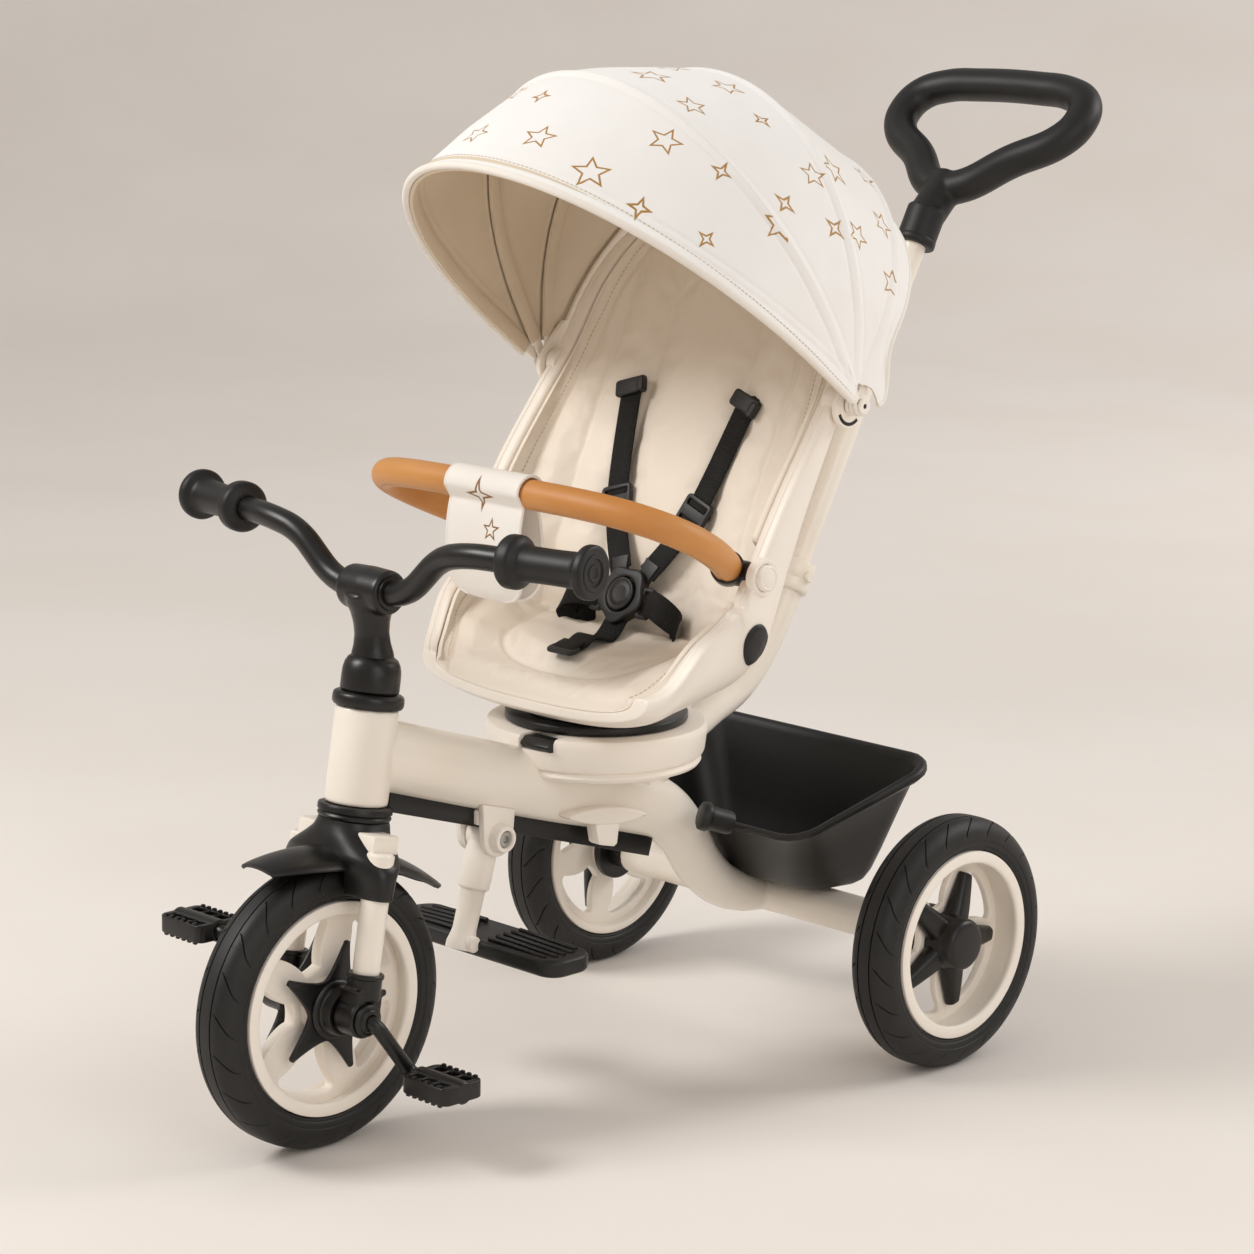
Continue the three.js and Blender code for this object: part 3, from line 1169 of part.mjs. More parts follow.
// ---------- harness ----------
const STRAP_W = 25;
const STRAP_T = 2.4;
const BUCKLE = { y: -206, z: 442, r: 27, t: 12, lean: 64 };
const buckleOut = v3(0, -Math.sin(rad(BUCKLE.lean)), Math.cos(rad(BUCKLE.lean)));
const buckleUp = v3(0, Math.cos(rad(BUCKLE.lean)), Math.sin(rad(BUCKLE.lean)));
const onBuckle = (x, up, out) => v3(x, BUCKLE.y, BUCKLE.z)
  .add(buckleUp.clone().multiplyScalar(up)).add(buckleOut.clone().multiplyScalar(out));

// Flat strap along a path; acrossAt gives the direction of its width at each point.
function ribbon(path, acrossAt, width = STRAP_W, thick = STRAP_T) {
  const rings = path.map((point, i) => {
    const ahead = path[Math.min(i + 1, path.length - 1)];
    const behind = path[Math.max(i - 1, 0)];
    const along = ahead.clone().sub(behind).normalize();
    const across = acrossAt(i / (path.length - 1)).clone();
    across.sub(along.clone().multiplyScalar(across.dot(along))).setLength(width / 2);
    const depth = along.clone().cross(across).setLength(thick / 2);
    const corner = (a, b) => point.clone().add(across.clone().multiplyScalar(a)).add(depth.clone().multiplyScalar(b));
    return [corner(-1, -1), corner(1, -1), corner(1, 1), corner(-1, 1)];
  });
  return loft(rings);
}

// Point above the padding: a share of the seat's length, x across and a gap over the pad.
function overPad(share, x, gap) {
  const station = seatAt(share);
  return seatPoint(station, x, padHeight(station, x) + gap);
}

function shoulderStrapGeometry() {
  const anchor = overPad(9.9 / 14, 73, 4);
  const end = onBuckle(17, BUCKLE.r - 3, -4);
  const across = v3(1, 0, 0);
  const path = [anchor, anchor.clone().lerp(end, 0.35), anchor.clone().lerp(end, 0.7), end];
  const strap = ribbon(path, () => across);
  const slider = anchor.clone().lerp(end, 0.52);
  const ladder = ribbon([slider.clone().lerp(end, -0.12), slider.clone().lerp(end, 0.12)], () => across, 33, 8);
  const keeper = ribbon([anchor.clone().add(v3(0, -2, -7)), anchor.clone().add(v3(0, 3.5, 7))], () => across, 34, 5);
  return build([strap, ladder, keeper], [linerSkin(), buckleBlank(FIT)]);
}

function buckleBlank(extra = 0) {
  const outline = Array.from({ length: 24 }, (_, k) => {
    const angle = (k / 24) * 2 * Math.PI;
    const bulge = 1 + 0.07 * Math.cos(5 * (angle - Math.PI / 2) + Math.PI);
    const r = (BUCKLE.r + extra) * bulge;
    return [r * Math.cos(angle), r * Math.sin(angle)];
  });
  const shape = new THREE.Shape(outline.map(([a, b]) => new THREE.Vector2(a, b)));
  const plate = new THREE.ExtrudeGeometry(shape, { depth: BUCKLE.t + 2 * extra, bevelEnabled: false });
  plate.translate(0, 0, -BUCKLE.t / 2 - extra);
  plate.applyMatrix4(new THREE.Matrix4().makeBasis(X_AXIS, buckleUp, buckleOut));
  return plate.translate(0, BUCKLE.y, BUCKLE.z);
}

const BUCKLE_BUTTON_R = 16;

function buckleGeometry() {
  const well = rodBetween(onBuckle(0, 0, BUCKLE.t / 2 - 5), onBuckle(0, 0, BUCKLE.t / 2 + 1), BUCKLE_BUTTON_R + FIT, 14);
  return build([buckleBlank()], [well]);
}

const shoulderStrap = shoulderStrapGeometry();
addMesh(tricycle, 'shoulder_strap_left', shoulderStrap, WEBBING);
addMesh(tricycle, 'shoulder_strap_right', mirroredX(shoulderStrap), WEBBING);
addMesh(tricycle, 'harness_buckle', buckleGeometry(), BLACK_PLASTIC);
addMesh(tricycle, 'buckle_button',
  rodBetween(onBuckle(0, 0, BUCKLE.t / 2 - 2), onBuckle(0, 0, BUCKLE.t / 2 + 1.5), BUCKLE_BUTTON_R, 14), BLACK_PLASTIC);

function waistStrapGeometry() {
  const half = [
    onBuckle(0, -6, -BUCKLE.t / 2 - FIT - STRAP_T / 2), onBuckle(34, -8, -9), onBuckle(58, -16, -14),
    overPad(5.2 / 14, 92, 5),
  ];
  const curve = new THREE.CatmullRomCurve3([...half.slice(1).map((p) => v3(-p.x, p.y, p.z)).reverse(), ...half]);
  return build([ribbon(curve.getPoints(14), () => buckleUp)], [linerSkin(), buckleBlank(FIT)]);
}

addMesh(tricycle, 'waist_strap', waistStrapGeometry(), WEBBING);

function crotchStrapGeometry() {
  const base = overPad(2.05 / 14, 0, 2.2);
  const path = new THREE.CatmullRomCurve3([
    base, overPad(2.6 / 14, 0, 4.5), v3(0, -228, 405), onBuckle(0, -BUCKLE.r + 2, 0),
  ]).getPoints(10);
  const tongue = ribbon([base.clone().add(v3(0, -4, 0.6)), base.clone().add(v3(0, 12, 0.2))], () => X_AXIS, 34, 4);
  return build([ribbon(path, () => X_AXIS, 28), tongue], [linerSkin(), buckleBlank(FIT)]);
}

addMesh(tricycle, 'crotch_strap', crotchStrapGeometry(), WEBBING);

// ---------- canopy ----------
// Angle forward of upright, half width and length of each bow, from the fixed rear one.
const BOWS = [
  { angle: -32, half: 191, length: 250 },
  { angle: 0, half: 191 + BOW_STEP, length: 283 },
  { angle: 29, half: 191 + 2 * BOW_STEP, length: 325 },
  { angle: 53.5, half: 191 + 3 * BOW_STEP, length: 358 },
];
const REAR_HEM = { angle: -56, half: 190, length: 232 };
const EYE_R = 9.5;
const FABRIC_GAP = 0.5;
const FABRIC_FROM = 46;

function onBow(angle, x, along, forward) {
  const a = rad(angle);
  return v3(x, PIVOT_Y - along * Math.sin(a) - forward * Math.cos(a),
    PIVOT_Z + along * Math.cos(a) - forward * Math.sin(a));
}

// Arch of a bow grown outwards, as [x, along] pairs that start at a height above the pivot.
function arch(bow, grow, from, steps = 10) {
  const points = [[bow.half + grow, from]];
  for (let k = 0; k <= steps; k += 1) {
    const angle = (k / steps) * Math.PI;
    const rise = (bow.length - BOW_SIDE + grow) * Math.sin(angle);
    points.push([(bow.half + grow) * Math.cos(angle), BOW_SIDE + rise]);
  }
  points.push([-bow.half - grow, from]);
  return points;
}

function bowStrip(bow, extra = 0, from = 4) {
  const inner = arch(bow, -BOW_T / 2 - extra, from);
  const outer = arch(bow, BOW_T / 2 + extra, from);
  const side = BOW_W / 2 + extra;
  return loft(inner.map(([x, along], i) => [
    onBow(bow.angle, x, along, -side), onBow(bow.angle, x, along, side),
    onBow(bow.angle, outer[i][0], outer[i][1], side), onBow(bow.angle, outer[i][0], outer[i][1], -side),
  ]));
}

function bowGeometry(bow) {
  const eyes = [-1, 1].map((side) =>
    cylinderX(EYE_R, side * bow.half - BOW_T / 2, side * bow.half + BOW_T / 2, PIVOT_Y, PIVOT_Z, 12));
  return build([bowStrip(bow), ...eyes], [cylinderX(BOW_PIN_R + FIT, -260, 260, PIVOT_Y, PIVOT_Z, 12)]);
}

// Fixed rear bow with its two side plates and the pins that carry the other bows.
const BRACKET_R = 19;
const BRACKET_HORN = [[12, 12], [24, 30], [12, 38]]; // distances behind and above the pivot

function canopyBaseGeometry() {
  const outer = BOWS[3].half + BOW_T / 2;
  const pieces = [bowStrip(BOWS[0])];
  for (const side of [-1, 1]) {
    const span = (a, b) => (side > 0 ? [a, b] : [-b, -a]);
    const plate = [
      ...discOutline(BRACKET_R, PIVOT_Y, PIVOT_Z - 3, 24).slice(6, 23),
      ...BRACKET_HORN.map(([back, up]) => [PIVOT_Y + back, PIVOT_Z + up]),
    ];
    pieces.push(plateX(plate, ...span(BRACKET_X, BOWS[0].half + BOW_T / 2)));
    pieces.push(cylinderX(BOW_PIN_R, ...span(BRACKET_X - 8, outer + 1), PIVOT_Y, PIVOT_Z, 12));
    pieces.push(cylinderX(7.5, ...span(outer + FIT, outer + 2.8), PIVOT_Y, PIVOT_Z, 12));
  }
  return build(pieces);
}

addMesh(tricycle, 'canopy_base', canopyBaseGeometry(), CREAM_PLASTIC);
['canopy_bow_third', 'canopy_bow_second', 'canopy_bow_front'].forEach((name, i) =>
  addMesh(tricycle, name, bowGeometry(BOWS[i + 1]), CREAM_PLASTIC));

// Fabric stretched from one arch to the next, cut free of the bows under it.
function panelGeometry(rear, front, rearShift, frontShift) {
  const inside = BOW_T / 2 + FABRIC_GAP;
  const skin = (grow) => {
    const [a, b] = [arch(rear, grow, FABRIC_FROM), arch(front, grow, FABRIC_FROM)];
    return a.map(([x, along], i) => {
      const start = onBow(rear.angle, x, along, rearShift);
      const end = onBow(front.angle, b[i][0], b[i][1], frontShift);
      return [0, 0.33, 0.67, 1].map((share) => start.clone().lerp(end, share));
    });
  };
  const low = skin(inside);
  const high = skin(inside + FABRIC_T);
  const cloth = loft(low.map((row, i) => [...row, ...high[i].slice().reverse()]));
  const cuts = [rear, front].filter((bow) => BOWS.includes(bow)).map((bow) => bowStrip(bow, FIT));
  return build([cloth], cuts);
}

const seam = 0.35;
addMesh(tricycle, 'canopy_panel_rear', panelGeometry(REAR_HEM, BOWS[0], 0, -seam), CANOPY_FABRIC);
addMesh(tricycle, 'canopy_panel_third', panelGeometry(BOWS[0], BOWS[1], seam, -seam), CANOPY_FABRIC);
addMesh(tricycle, 'canopy_panel_second', panelGeometry(BOWS[1], BOWS[2], seam, -seam), CANOPY_FABRIC);
addMesh(tricycle, 'canopy_panel_front', panelGeometry(BOWS[2], BOWS[3], seam, BOW_W / 2 + 1), CANOPY_FABRIC);

// ---------- push handle ----------
addMesh(tricycle, 'push_pole', rodBetween(onPole(-SOCKET_DEPTH + FIT), onPole(POLE_LEN), POLE_R, 14), CREAM_PAINT);

const loopBase = onPole(POLE_LEN);
const onLoop = (x, along) => v3(x, loopBase.y + along * Math.sin(rad(LOOP_LEAN)) + 2,
  loopBase.z + along * Math.cos(rad(LOOP_LEAN)) - 2);

function handleLoopGeometry() {
  const half = [[15, 40], [60, 78], [104, 111], [112, 135], [104, 158], [78, 171], [40, 175]];
  const closed = [...half, ...half.slice().reverse().map(([x, along]) => [-x, along])];
  const curve = new THREE.CatmullRomCurve3(closed.map(([x, along]) => onLoop(x, along)), true, 'centripetal');
  const loop = tube(curve.getPoints(24).slice(0, 24), LOOP_R, { sides: 8, closed: true });
  const socket = rodBetween(onPole(POLE_LEN - 34), onPole(POLE_LEN + 6), 20, 14);
  const neck = rodBetween(onPole(POLE_LEN), onLoop(0, 46), 19, 14);
  const bore = rodBetween(onPole(POLE_LEN - 40), onPole(POLE_LEN + FIT), POLE_R + FIT, 14);
  return build([loop, socket, neck], [bore]);
}

addMesh(tricycle, 'handle_loop', handleLoopGeometry(), BLACK_PLASTIC);

tricycle.updateMatrixWorld(true);
const box = new THREE.Box3().setFromObject(tricycle, true);
const centre = box.getCenter(v3(0, 0, 0));
tricycle.position.set(-centre.x, -centre.y, -box.min.z);

export default tricycle;
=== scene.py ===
# %% [markdown]
# A children's tricycle with a bucket seat, a harness, a bumper bar, a folding canopy and a parent's
# handle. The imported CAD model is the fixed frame: it says where every part is and how it moves.
# This lesson builds the looks round it, one part and one finish at a time.

# %% Load the frame
import functools
import json
import math

import bpy
from mathutils import Matrix, Vector, noise
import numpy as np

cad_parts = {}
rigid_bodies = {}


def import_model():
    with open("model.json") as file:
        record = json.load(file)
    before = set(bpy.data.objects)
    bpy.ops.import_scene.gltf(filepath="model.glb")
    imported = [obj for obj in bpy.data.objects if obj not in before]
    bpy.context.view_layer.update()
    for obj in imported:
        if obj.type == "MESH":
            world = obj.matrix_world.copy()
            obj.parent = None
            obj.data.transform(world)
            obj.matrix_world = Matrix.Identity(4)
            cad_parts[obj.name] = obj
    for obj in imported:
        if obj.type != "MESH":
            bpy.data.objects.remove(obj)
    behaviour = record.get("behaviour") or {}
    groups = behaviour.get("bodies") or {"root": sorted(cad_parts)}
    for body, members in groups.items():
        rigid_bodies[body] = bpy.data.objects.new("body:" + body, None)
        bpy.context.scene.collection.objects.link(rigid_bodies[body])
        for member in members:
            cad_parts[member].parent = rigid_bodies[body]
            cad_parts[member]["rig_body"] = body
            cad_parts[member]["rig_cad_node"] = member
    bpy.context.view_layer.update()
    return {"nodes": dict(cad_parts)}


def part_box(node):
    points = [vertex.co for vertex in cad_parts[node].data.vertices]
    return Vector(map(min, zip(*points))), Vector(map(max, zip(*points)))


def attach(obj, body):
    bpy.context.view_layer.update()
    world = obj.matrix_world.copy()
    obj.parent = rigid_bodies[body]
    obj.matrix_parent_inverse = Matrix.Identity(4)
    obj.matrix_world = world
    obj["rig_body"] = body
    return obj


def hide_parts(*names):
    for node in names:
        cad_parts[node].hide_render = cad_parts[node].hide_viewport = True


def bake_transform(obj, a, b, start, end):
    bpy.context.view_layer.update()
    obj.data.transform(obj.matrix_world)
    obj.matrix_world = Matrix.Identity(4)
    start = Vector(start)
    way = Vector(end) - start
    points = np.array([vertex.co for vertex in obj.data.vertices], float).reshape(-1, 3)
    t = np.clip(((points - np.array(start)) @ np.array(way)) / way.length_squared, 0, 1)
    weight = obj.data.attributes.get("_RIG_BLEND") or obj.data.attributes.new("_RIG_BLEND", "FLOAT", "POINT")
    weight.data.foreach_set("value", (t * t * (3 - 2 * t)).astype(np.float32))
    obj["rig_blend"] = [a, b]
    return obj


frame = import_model()
scene = bpy.context.scene

# %% [markdown]
# Sizes below are in millimetres, as on a workshop drawing: X is the rider's left, Y runs to the
# rear from the rear axle, Z is up from the ground. One helper turns them into metres of the frame,
# where the origin lies under the middle of the whole tricycle.

# %% Places in millimetres
MM = 0.001
axle_low, axle_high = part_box("rear_axle")
AXLE_Y = (axle_low.y + axle_high.y) / 2


def mm(x, y, z):
    return Vector((x * MM, y * MM + AXLE_Y, z * MM))


def turned_axis(degrees):
    """Direction that leans from straight up towards the rear."""
    return Vector((0, math.sin(math.radians(degrees)), math.cos(math.radians(degrees))))


HEAD_Y, HEAD_Z, HEAD_TILT = -534, 300, 9
STEER_AXIS = turned_axis(HEAD_TILT)
STEER_BACK = Vector((0, STEER_AXIS.z, -STEER_AXIS.y))


def head(x, y, z):
    """A place on the steering head: z runs up the steering axis from the head tube's lower end."""
    return mm(0, HEAD_Y, HEAD_Z) + (Vector((x, 0, 0)) + STEER_BACK * y + STEER_AXIS * z) * MM


HUB_FORWARD, HUB_DROP = 14.4, 177.4


def hub(x, y, z):
    """A place round the front wheel's axle."""
    return head(x, y - HUB_FORWARD, z - HUB_DROP)


X_AXIS, Z_AXIS = Vector((1, 0, 0)), Vector((0, 0, 1))
HEAD_FOOT, HUB_MIDDLE = head(0, 0, 0), hub(0, 0, 0)
WHEEL_R, REAR_R, HALF_TRACK = 127, 120, 230.5
print("rear axle at", round(AXLE_Y, 4), "m behind the middle")

# %% [markdown]
# The camera comes first: it looks down on the front left corner from about three metres, with a
# long lens and a very slight roll. Its own axes are worked out and written into its matrix.

# %% Camera
AZIMUTH, ELEVATION, ROLL = math.radians(44.49), math.radians(11.60), math.radians(0.99)
CAMERA_PLACE = mm(2231.5, -2473.1, 1065.2)
SENSOR, LENS, FARTHEST = 36, 100.48, 50  # sensor and lens in millimetres, view distance in metres
back = Vector((
    math.sin(AZIMUTH) * math.cos(ELEVATION),
    -math.cos(AZIMUTH) * math.cos(ELEVATION),
    math.sin(ELEVATION),
))
level = Vector((math.cos(AZIMUTH), math.sin(AZIMUTH), 0))
upright = back.cross(level)
right = level * math.cos(ROLL) + upright * math.sin(ROLL)
up = upright * math.cos(ROLL) - level * math.sin(ROLL)

bpy.ops.object.select_all(action="DESELECT")
bpy.ops.object.camera_add()
camera = bpy.context.object
camera.name = "studio_camera"
camera.data.sensor_width = SENSOR
camera.data.lens = LENS
camera.data.clip_end = FARTHEST
camera.matrix_world = Matrix.Translation(CAMERA_PLACE) @ Matrix((right, up, back)).transposed().to_4x4()
scene.camera = camera
print("camera lens", camera.data.lens, "mm")

# %% [markdown]
# The studio is a pale floor that turns up far behind the model and four area lights: a large key
# light high on the left, a wide fill from the right, a rim light from behind and one for the wall.
# The sky is an even warm white, so that the black parts still have something to reflect.

# %% Studio
scene.view_settings.view_transform = "Standard"
world = bpy.data.worlds.new("studio_world")
scene.world = world
world.use_nodes = True
sky = world.node_tree.nodes["Background"].inputs
sky["Color"].default_value, sky["Strength"].default_value = (1.0, 0.97, 0.94, 1), 0.5


def area_light(name, place, target, size, watts, colour):
    bpy.ops.object.light_add(type="AREA", location=place)
    lamp = bpy.context.object
    lamp.name = name
    lamp.data.size = size
    lamp.data.energy = watts
    lamp.data.color = colour
    lamp.rotation_euler = (Vector(target) - Vector(place)).to_track_quat("-Z", "Y").to_euler()
    return lamp


LAMPS = [  # name, place, what it points at, size, watts, colour
    ("key_light", (-1.6, -2.6, 2.9), (0, -0.1, 0.4), 1.3, 84, (1.0, 0.98, 0.95)),
    ("fill_light", (3.2, -1.0, 1.7), (0, 0, 0.45), 2.2, 22, (1.0, 0.97, 0.94)),
    ("rim_light", (1.6, 2.6, 2.2), (0, 0, 0.5), 1.6, 36, (1.0, 0.98, 0.96)),
    ("wall_light", (0.5, 4.2, 3.6), (-4.5, 9.5, 1.2), 4.0, 110, (1.0, 0.97, 0.95)),
]
for row in LAMPS:
    area_light(*row)

# %% [markdown]
# Finishes are made of nodes. Writing shader maths as sockets and links is slow to read, so a small
# class wraps a socket and lets it be used in an ordinary sum: every operator adds its own Math node.

# %% Shader maths


class Wire:
    """A socket that can be used in a sum."""

    def __init__(self, recipe, socket):
        self.recipe = recipe
        self.socket = socket

    def math(self, operation, *others):
        return self.recipe.node("ShaderNodeMath", {"operation": operation}, (self, *others))

    def __add__(self, other):
        return self.math("ADD", other)

    def __radd__(self, other):
        return self.math("ADD", other)

    def __sub__(self, other):
        return self.math("SUBTRACT", other)

    def __rsub__(self, other):
        return self.recipe.node("ShaderNodeMath", {"operation": "SUBTRACT"}, (other, self))

    def __mul__(self, other):
        return self.math("MULTIPLY", other)

    def __rmul__(self, other):
        return self.math("MULTIPLY", other)

    def __truediv__(self, other):
        return self.math("DIVIDE", other)

    def __neg__(self):
        return self.math("MULTIPLY", -1.0)

    def __abs__(self):
        return self.math("ABSOLUTE")

    def __lt__(self, other):
        return self.math("LESS_THAN", other)

    def __gt__(self, other):
        return self.math("GREATER_THAN", other)

    def between(self, low, high):
        """0 below low, 1 above high, and a smooth step from one to the other."""
        return self.recipe.node(
            "ShaderNodeMapRange", {"interpolation_type": "SMOOTHSTEP"},
            {"Value": self, "From Min": low, "From Max": high},
        )


class Recipe:
    """A new material, and the one method that adds its nodes."""

    def __init__(self, name):
        self.material = bpy.data.materials.new(name)
        self.material.use_nodes = True
        self.tree = self.material.node_tree
        self.tree.nodes.clear()

    def node(self, kind, settings=None, values=(), output=0):
        made = self.tree.nodes.new(kind)
        for key, value in (settings or {}).items():
            setattr(made, key, value)
        pairs = values.items() if isinstance(values, dict) else enumerate(values)
        for key, value in pairs:
            if isinstance(value, Wire):
                self.tree.links.new(value.socket, made.inputs[key])
            else:
                made.inputs[key].default_value = value
        return Wire(self, made.outputs[output]) if made.outputs else None

    def place(self):
        return self.node("ShaderNodeTexCoord", output="Object")

    def flat_place(self):
        """Across and along the cloth, in metres, from the piece's own UV map."""
        split = self.node("ShaderNodeSeparateXYZ", values=(self.node("ShaderNodeTexCoord", output="UV"),))
        return split, Wire(self, split.socket.node.outputs[1])

    def noise(self, scale, detail=3.0, place=None, roughness=0.5):
        return self.node(
            "ShaderNodeTexNoise", {"noise_dimensions": "3D"},
            {"Vector": place or self.place(), "Scale": scale, "Detail": detail, "Roughness": roughness},
        )

    def mix(self, share, first, second):
        return self.node("ShaderNodeMix", {"data_type": "RGBA"}, {0: share, 6: first, 7: second}, output=2)

    def finish(self, fixed, colour, rough, bump=None, depth=0.0001):
        """Ends in the shader: fixed numbers on its own sockets, then colour, roughness and relief."""
        values = {**fixed, "Base Color": colour, "Roughness": rough}
        shader = self.node("ShaderNodeBsdfPrincipled", values=values)
        if bump is not None:
            relief = self.node("ShaderNodeBump", values={"Height": bump, "Distance": depth, "Strength": 1.0})
            self.tree.links.new(relief.socket, shader.socket.node.inputs["Normal"])
        self.node("ShaderNodeOutputMaterial", values={"Surface": shader})
        return self.material


def linear(red, green, blue):
    """A colour given as 0 to 255 on a screen, as the renderer's linear light."""
    def channel(value):
        value /= 255
        return value / 12.92 if value <= 0.04045 else ((value + 0.055) / 1.055) ** 2.4
    return (channel(red), channel(green), channel(blue), 1.0)


print("shader maths ready")

# %% [markdown]
# Powder-coated steel is smooth but not flat: the coat has a faint orange peel, and it is a touch
# darker where it is thin. Moulded plastic has a finer, duller texture. Both are the same cream here,
# so their difference lies in their roughness and in the size of their texture.

# %% Cream paint, plastics and rubber


def moulded(name, light, dark, roughness, grain, depth, coat=0.0):
    """A smooth hard finish: two close colours mottled together, with a fine texture."""
    recipe = Recipe(name)
    cloud = recipe.noise(9.0, 4.0)
    fine = recipe.noise(grain, 2.0)
    colour = recipe.mix(cloud.between(0.35, 0.7), light, dark)
    rough = roughness + (cloud - 0.5) * 0.12 + (fine - 0.5) * 0.08
    fixed = {"Coat Weight": coat, "Coat Roughness": 0.12, "IOR": 1.48}
    return recipe.finish(fixed, colour, rough, fine, depth)


# Each has a light and a dark colour, a roughness, the size and depth of its texture, and any coat.
CREAM_PAINT = moulded(
    "cream_powder_coat", linear(247, 240, 229), linear(244, 235, 222), 0.32, 700, 0.00006, coat=0.35)
CREAM_PLASTIC = moulded("cream_moulding", linear(248, 241, 231), linear(245, 236, 224), 0.42, 1500, 0.00005)
BLACK_PLASTIC = moulded("black_moulding", linear(17, 16, 15), linear(12, 11, 11), 0.34, 1300, 0.00006)
BLACK_GRAIN = moulded("black_grained_moulding", linear(16, 15, 15), linear(11, 11, 10), 0.42, 1800, 0.00012)
GRIP_RUBBER = moulded("grip_rubber", linear(15, 14, 13), linear(10, 10, 9), 0.46, 2200, 0.0001)


def tyre_rubber():
    recipe = Recipe("tyre_rubber")
    cloud = recipe.noise(22, 5.0)
    fine = recipe.noise(2600, 2.0)
    scuff = recipe.noise(120, 6.0, roughness=0.7).between(0.58, 0.72)
    colour = recipe.mix(cloud.between(0.3, 0.75), linear(16, 15, 14), linear(10, 10, 9))
    worn = recipe.mix(scuff * 0.2, colour, linear(44, 41, 38))
    rough = 0.5 + scuff * 0.15 + (fine - 0.5) * 0.1
    return recipe.finish({"IOR": 1.5}, worn, rough, fine, 0.0001)


TYRE_RUBBER = tyre_rubber()


def brushed_steel():
    recipe = Recipe("brushed_steel")
    stretched = recipe.node("ShaderNodeMapping", values={"Vector": recipe.place(), "Scale": (40, 900, 900)})
    lines = recipe.noise(1.0, 3.0, stretched)
    colour = recipe.mix(lines, linear(196, 194, 190), linear(160, 158, 154))
    return recipe.finish({"Metallic": 1.0}, colour, 0.22 + lines * 0.2, lines, 0.00003)


STEEL = brushed_steel()
print("hard finishes:", [m.name for m in bpy.data.materials])

# %% [markdown]
# A few small helpers do what a maker does by hand in edit mode. Each starts from a primitive and
# shapes it: a circle of points spun into a turned part, a curve given a round section, a flat
# outline given a thickness and soft edges, and a grid whose points are laid on a formula.

# %% Modelling helpers
MERGE = 0.00001


def pick(piece):
    """Deselects everything, then selects one object and makes it active."""
    if bpy.context.object and bpy.context.object.mode != "OBJECT":
        bpy.ops.object.mode_set(mode="OBJECT")
    bpy.ops.object.select_all(action="DESELECT")
    piece.select_set(True)
    bpy.context.view_layer.objects.active = piece
    return piece


def edit(piece, *steps):
    """Runs steps in edit mode with every point of the piece selected."""
    pick(piece)
    bpy.ops.object.mode_set(mode="EDIT")
    bpy.ops.mesh.select_all(action="SELECT")
    for step in steps:
        step()
    bpy.ops.object.mode_set(mode="OBJECT")
    return piece


def mend(piece):
    """Merges doubled points and turns every face outwards."""
    return edit(
        piece,
        lambda: bpy.ops.mesh.remove_doubles(threshold=MERGE),
        lambda: bpy.ops.mesh.normals_make_consistent(inside=False),
    )


def close_ends(piece):
    """Mends a piece and puts a face over each open end."""
    return edit(
        piece,
        lambda: bpy.ops.mesh.remove_doubles(threshold=MERGE),
        lambda: bpy.ops.mesh.fill_holes(sides=0),
        lambda: bpy.ops.mesh.normals_make_consistent(inside=False),
    )


def split_ends(piece):
    """Cuts the large end faces into triangles."""
    return edit(
        piece,
        lambda: bpy.ops.mesh.select_all(action="DESELECT"),
        lambda: bpy.ops.mesh.select_face_by_sides(number=20, type="GREATER"),
        lambda: bpy.ops.mesh.quads_convert_to_tris(),
    )


def applied(piece, kind, **settings):
    """Adds a modifier, sets it and applies it."""
    pick(piece)
    modifier = piece.modifiers.new(kind.lower(), kind)
    for key, value in settings.items():
        setattr(modifier, key, value)
    bpy.ops.object.modifier_apply(modifier=modifier.name)
    return piece


def carved(piece, tool):
    """Cuts a tool's shape out of a piece, and removes the tool."""
    applied(piece, "BOOLEAN", operation="DIFFERENCE", object=tool, solver="EXACT")
    bpy.data.objects.remove(tool)
    return piece


def soften(piece, width, segments=2, angle=32):
    """Rounds the hard edges, as a mould does."""
    return applied(piece, "BEVEL", width=width * MM, segments=segments, limit_method="ANGLE",
                   angle_limit=math.radians(angle), harden_normals=False)


def welded(piece, voxel, rounds):
    """Remeshes the crossing solids of a piece into one skin, in cells of this size, and smooths it."""
    applied(piece, "REMESH", mode="VOXEL", voxel_size=voxel * MM, use_smooth_shade=True)
    return applied(piece, "SMOOTH", factor=0.5, iterations=rounds)


def joined(name, pieces):
    """Joins pieces into the first of them."""
    pick(pieces[0])
    for piece in pieces:
        piece.select_set(True)
    if len(pieces) > 1:
        bpy.ops.object.join()
    bpy.context.object.name = name
    return bpy.context.object


def copied(piece, name):
    """A copy with its own mesh."""
    twin = piece.copy()
    twin.data = piece.data.copy()
    twin.name = name
    scene.collection.objects.link(twin)
    return twin


def mirrored(piece, name):
    """The piece's twin on the rider's other side."""
    twin = copied(piece, name)
    twin.data.transform(Matrix.Scale(-1, 4, X_AXIS))
    return mend(twin)


def fresh(name, operator, **settings):
    """A new object from one of the primitives, with nothing else selected."""
    bpy.ops.object.select_all(action="DESELECT")
    operator(**settings)
    bpy.context.object.name = name
    return bpy.context.object


def as_mesh(curve):
    """Turns a curve into the mesh that it shows."""
    pick(curve)
    bpy.ops.object.convert(target="MESH")
    return bpy.context.object


def laid(piece, place):
    """Lays a piece that was shaped in flat millimetres on a formula for its places."""
    for point in piece.data.vertices:
        point.co = place(*(point.co / MM))
    return mend(piece)


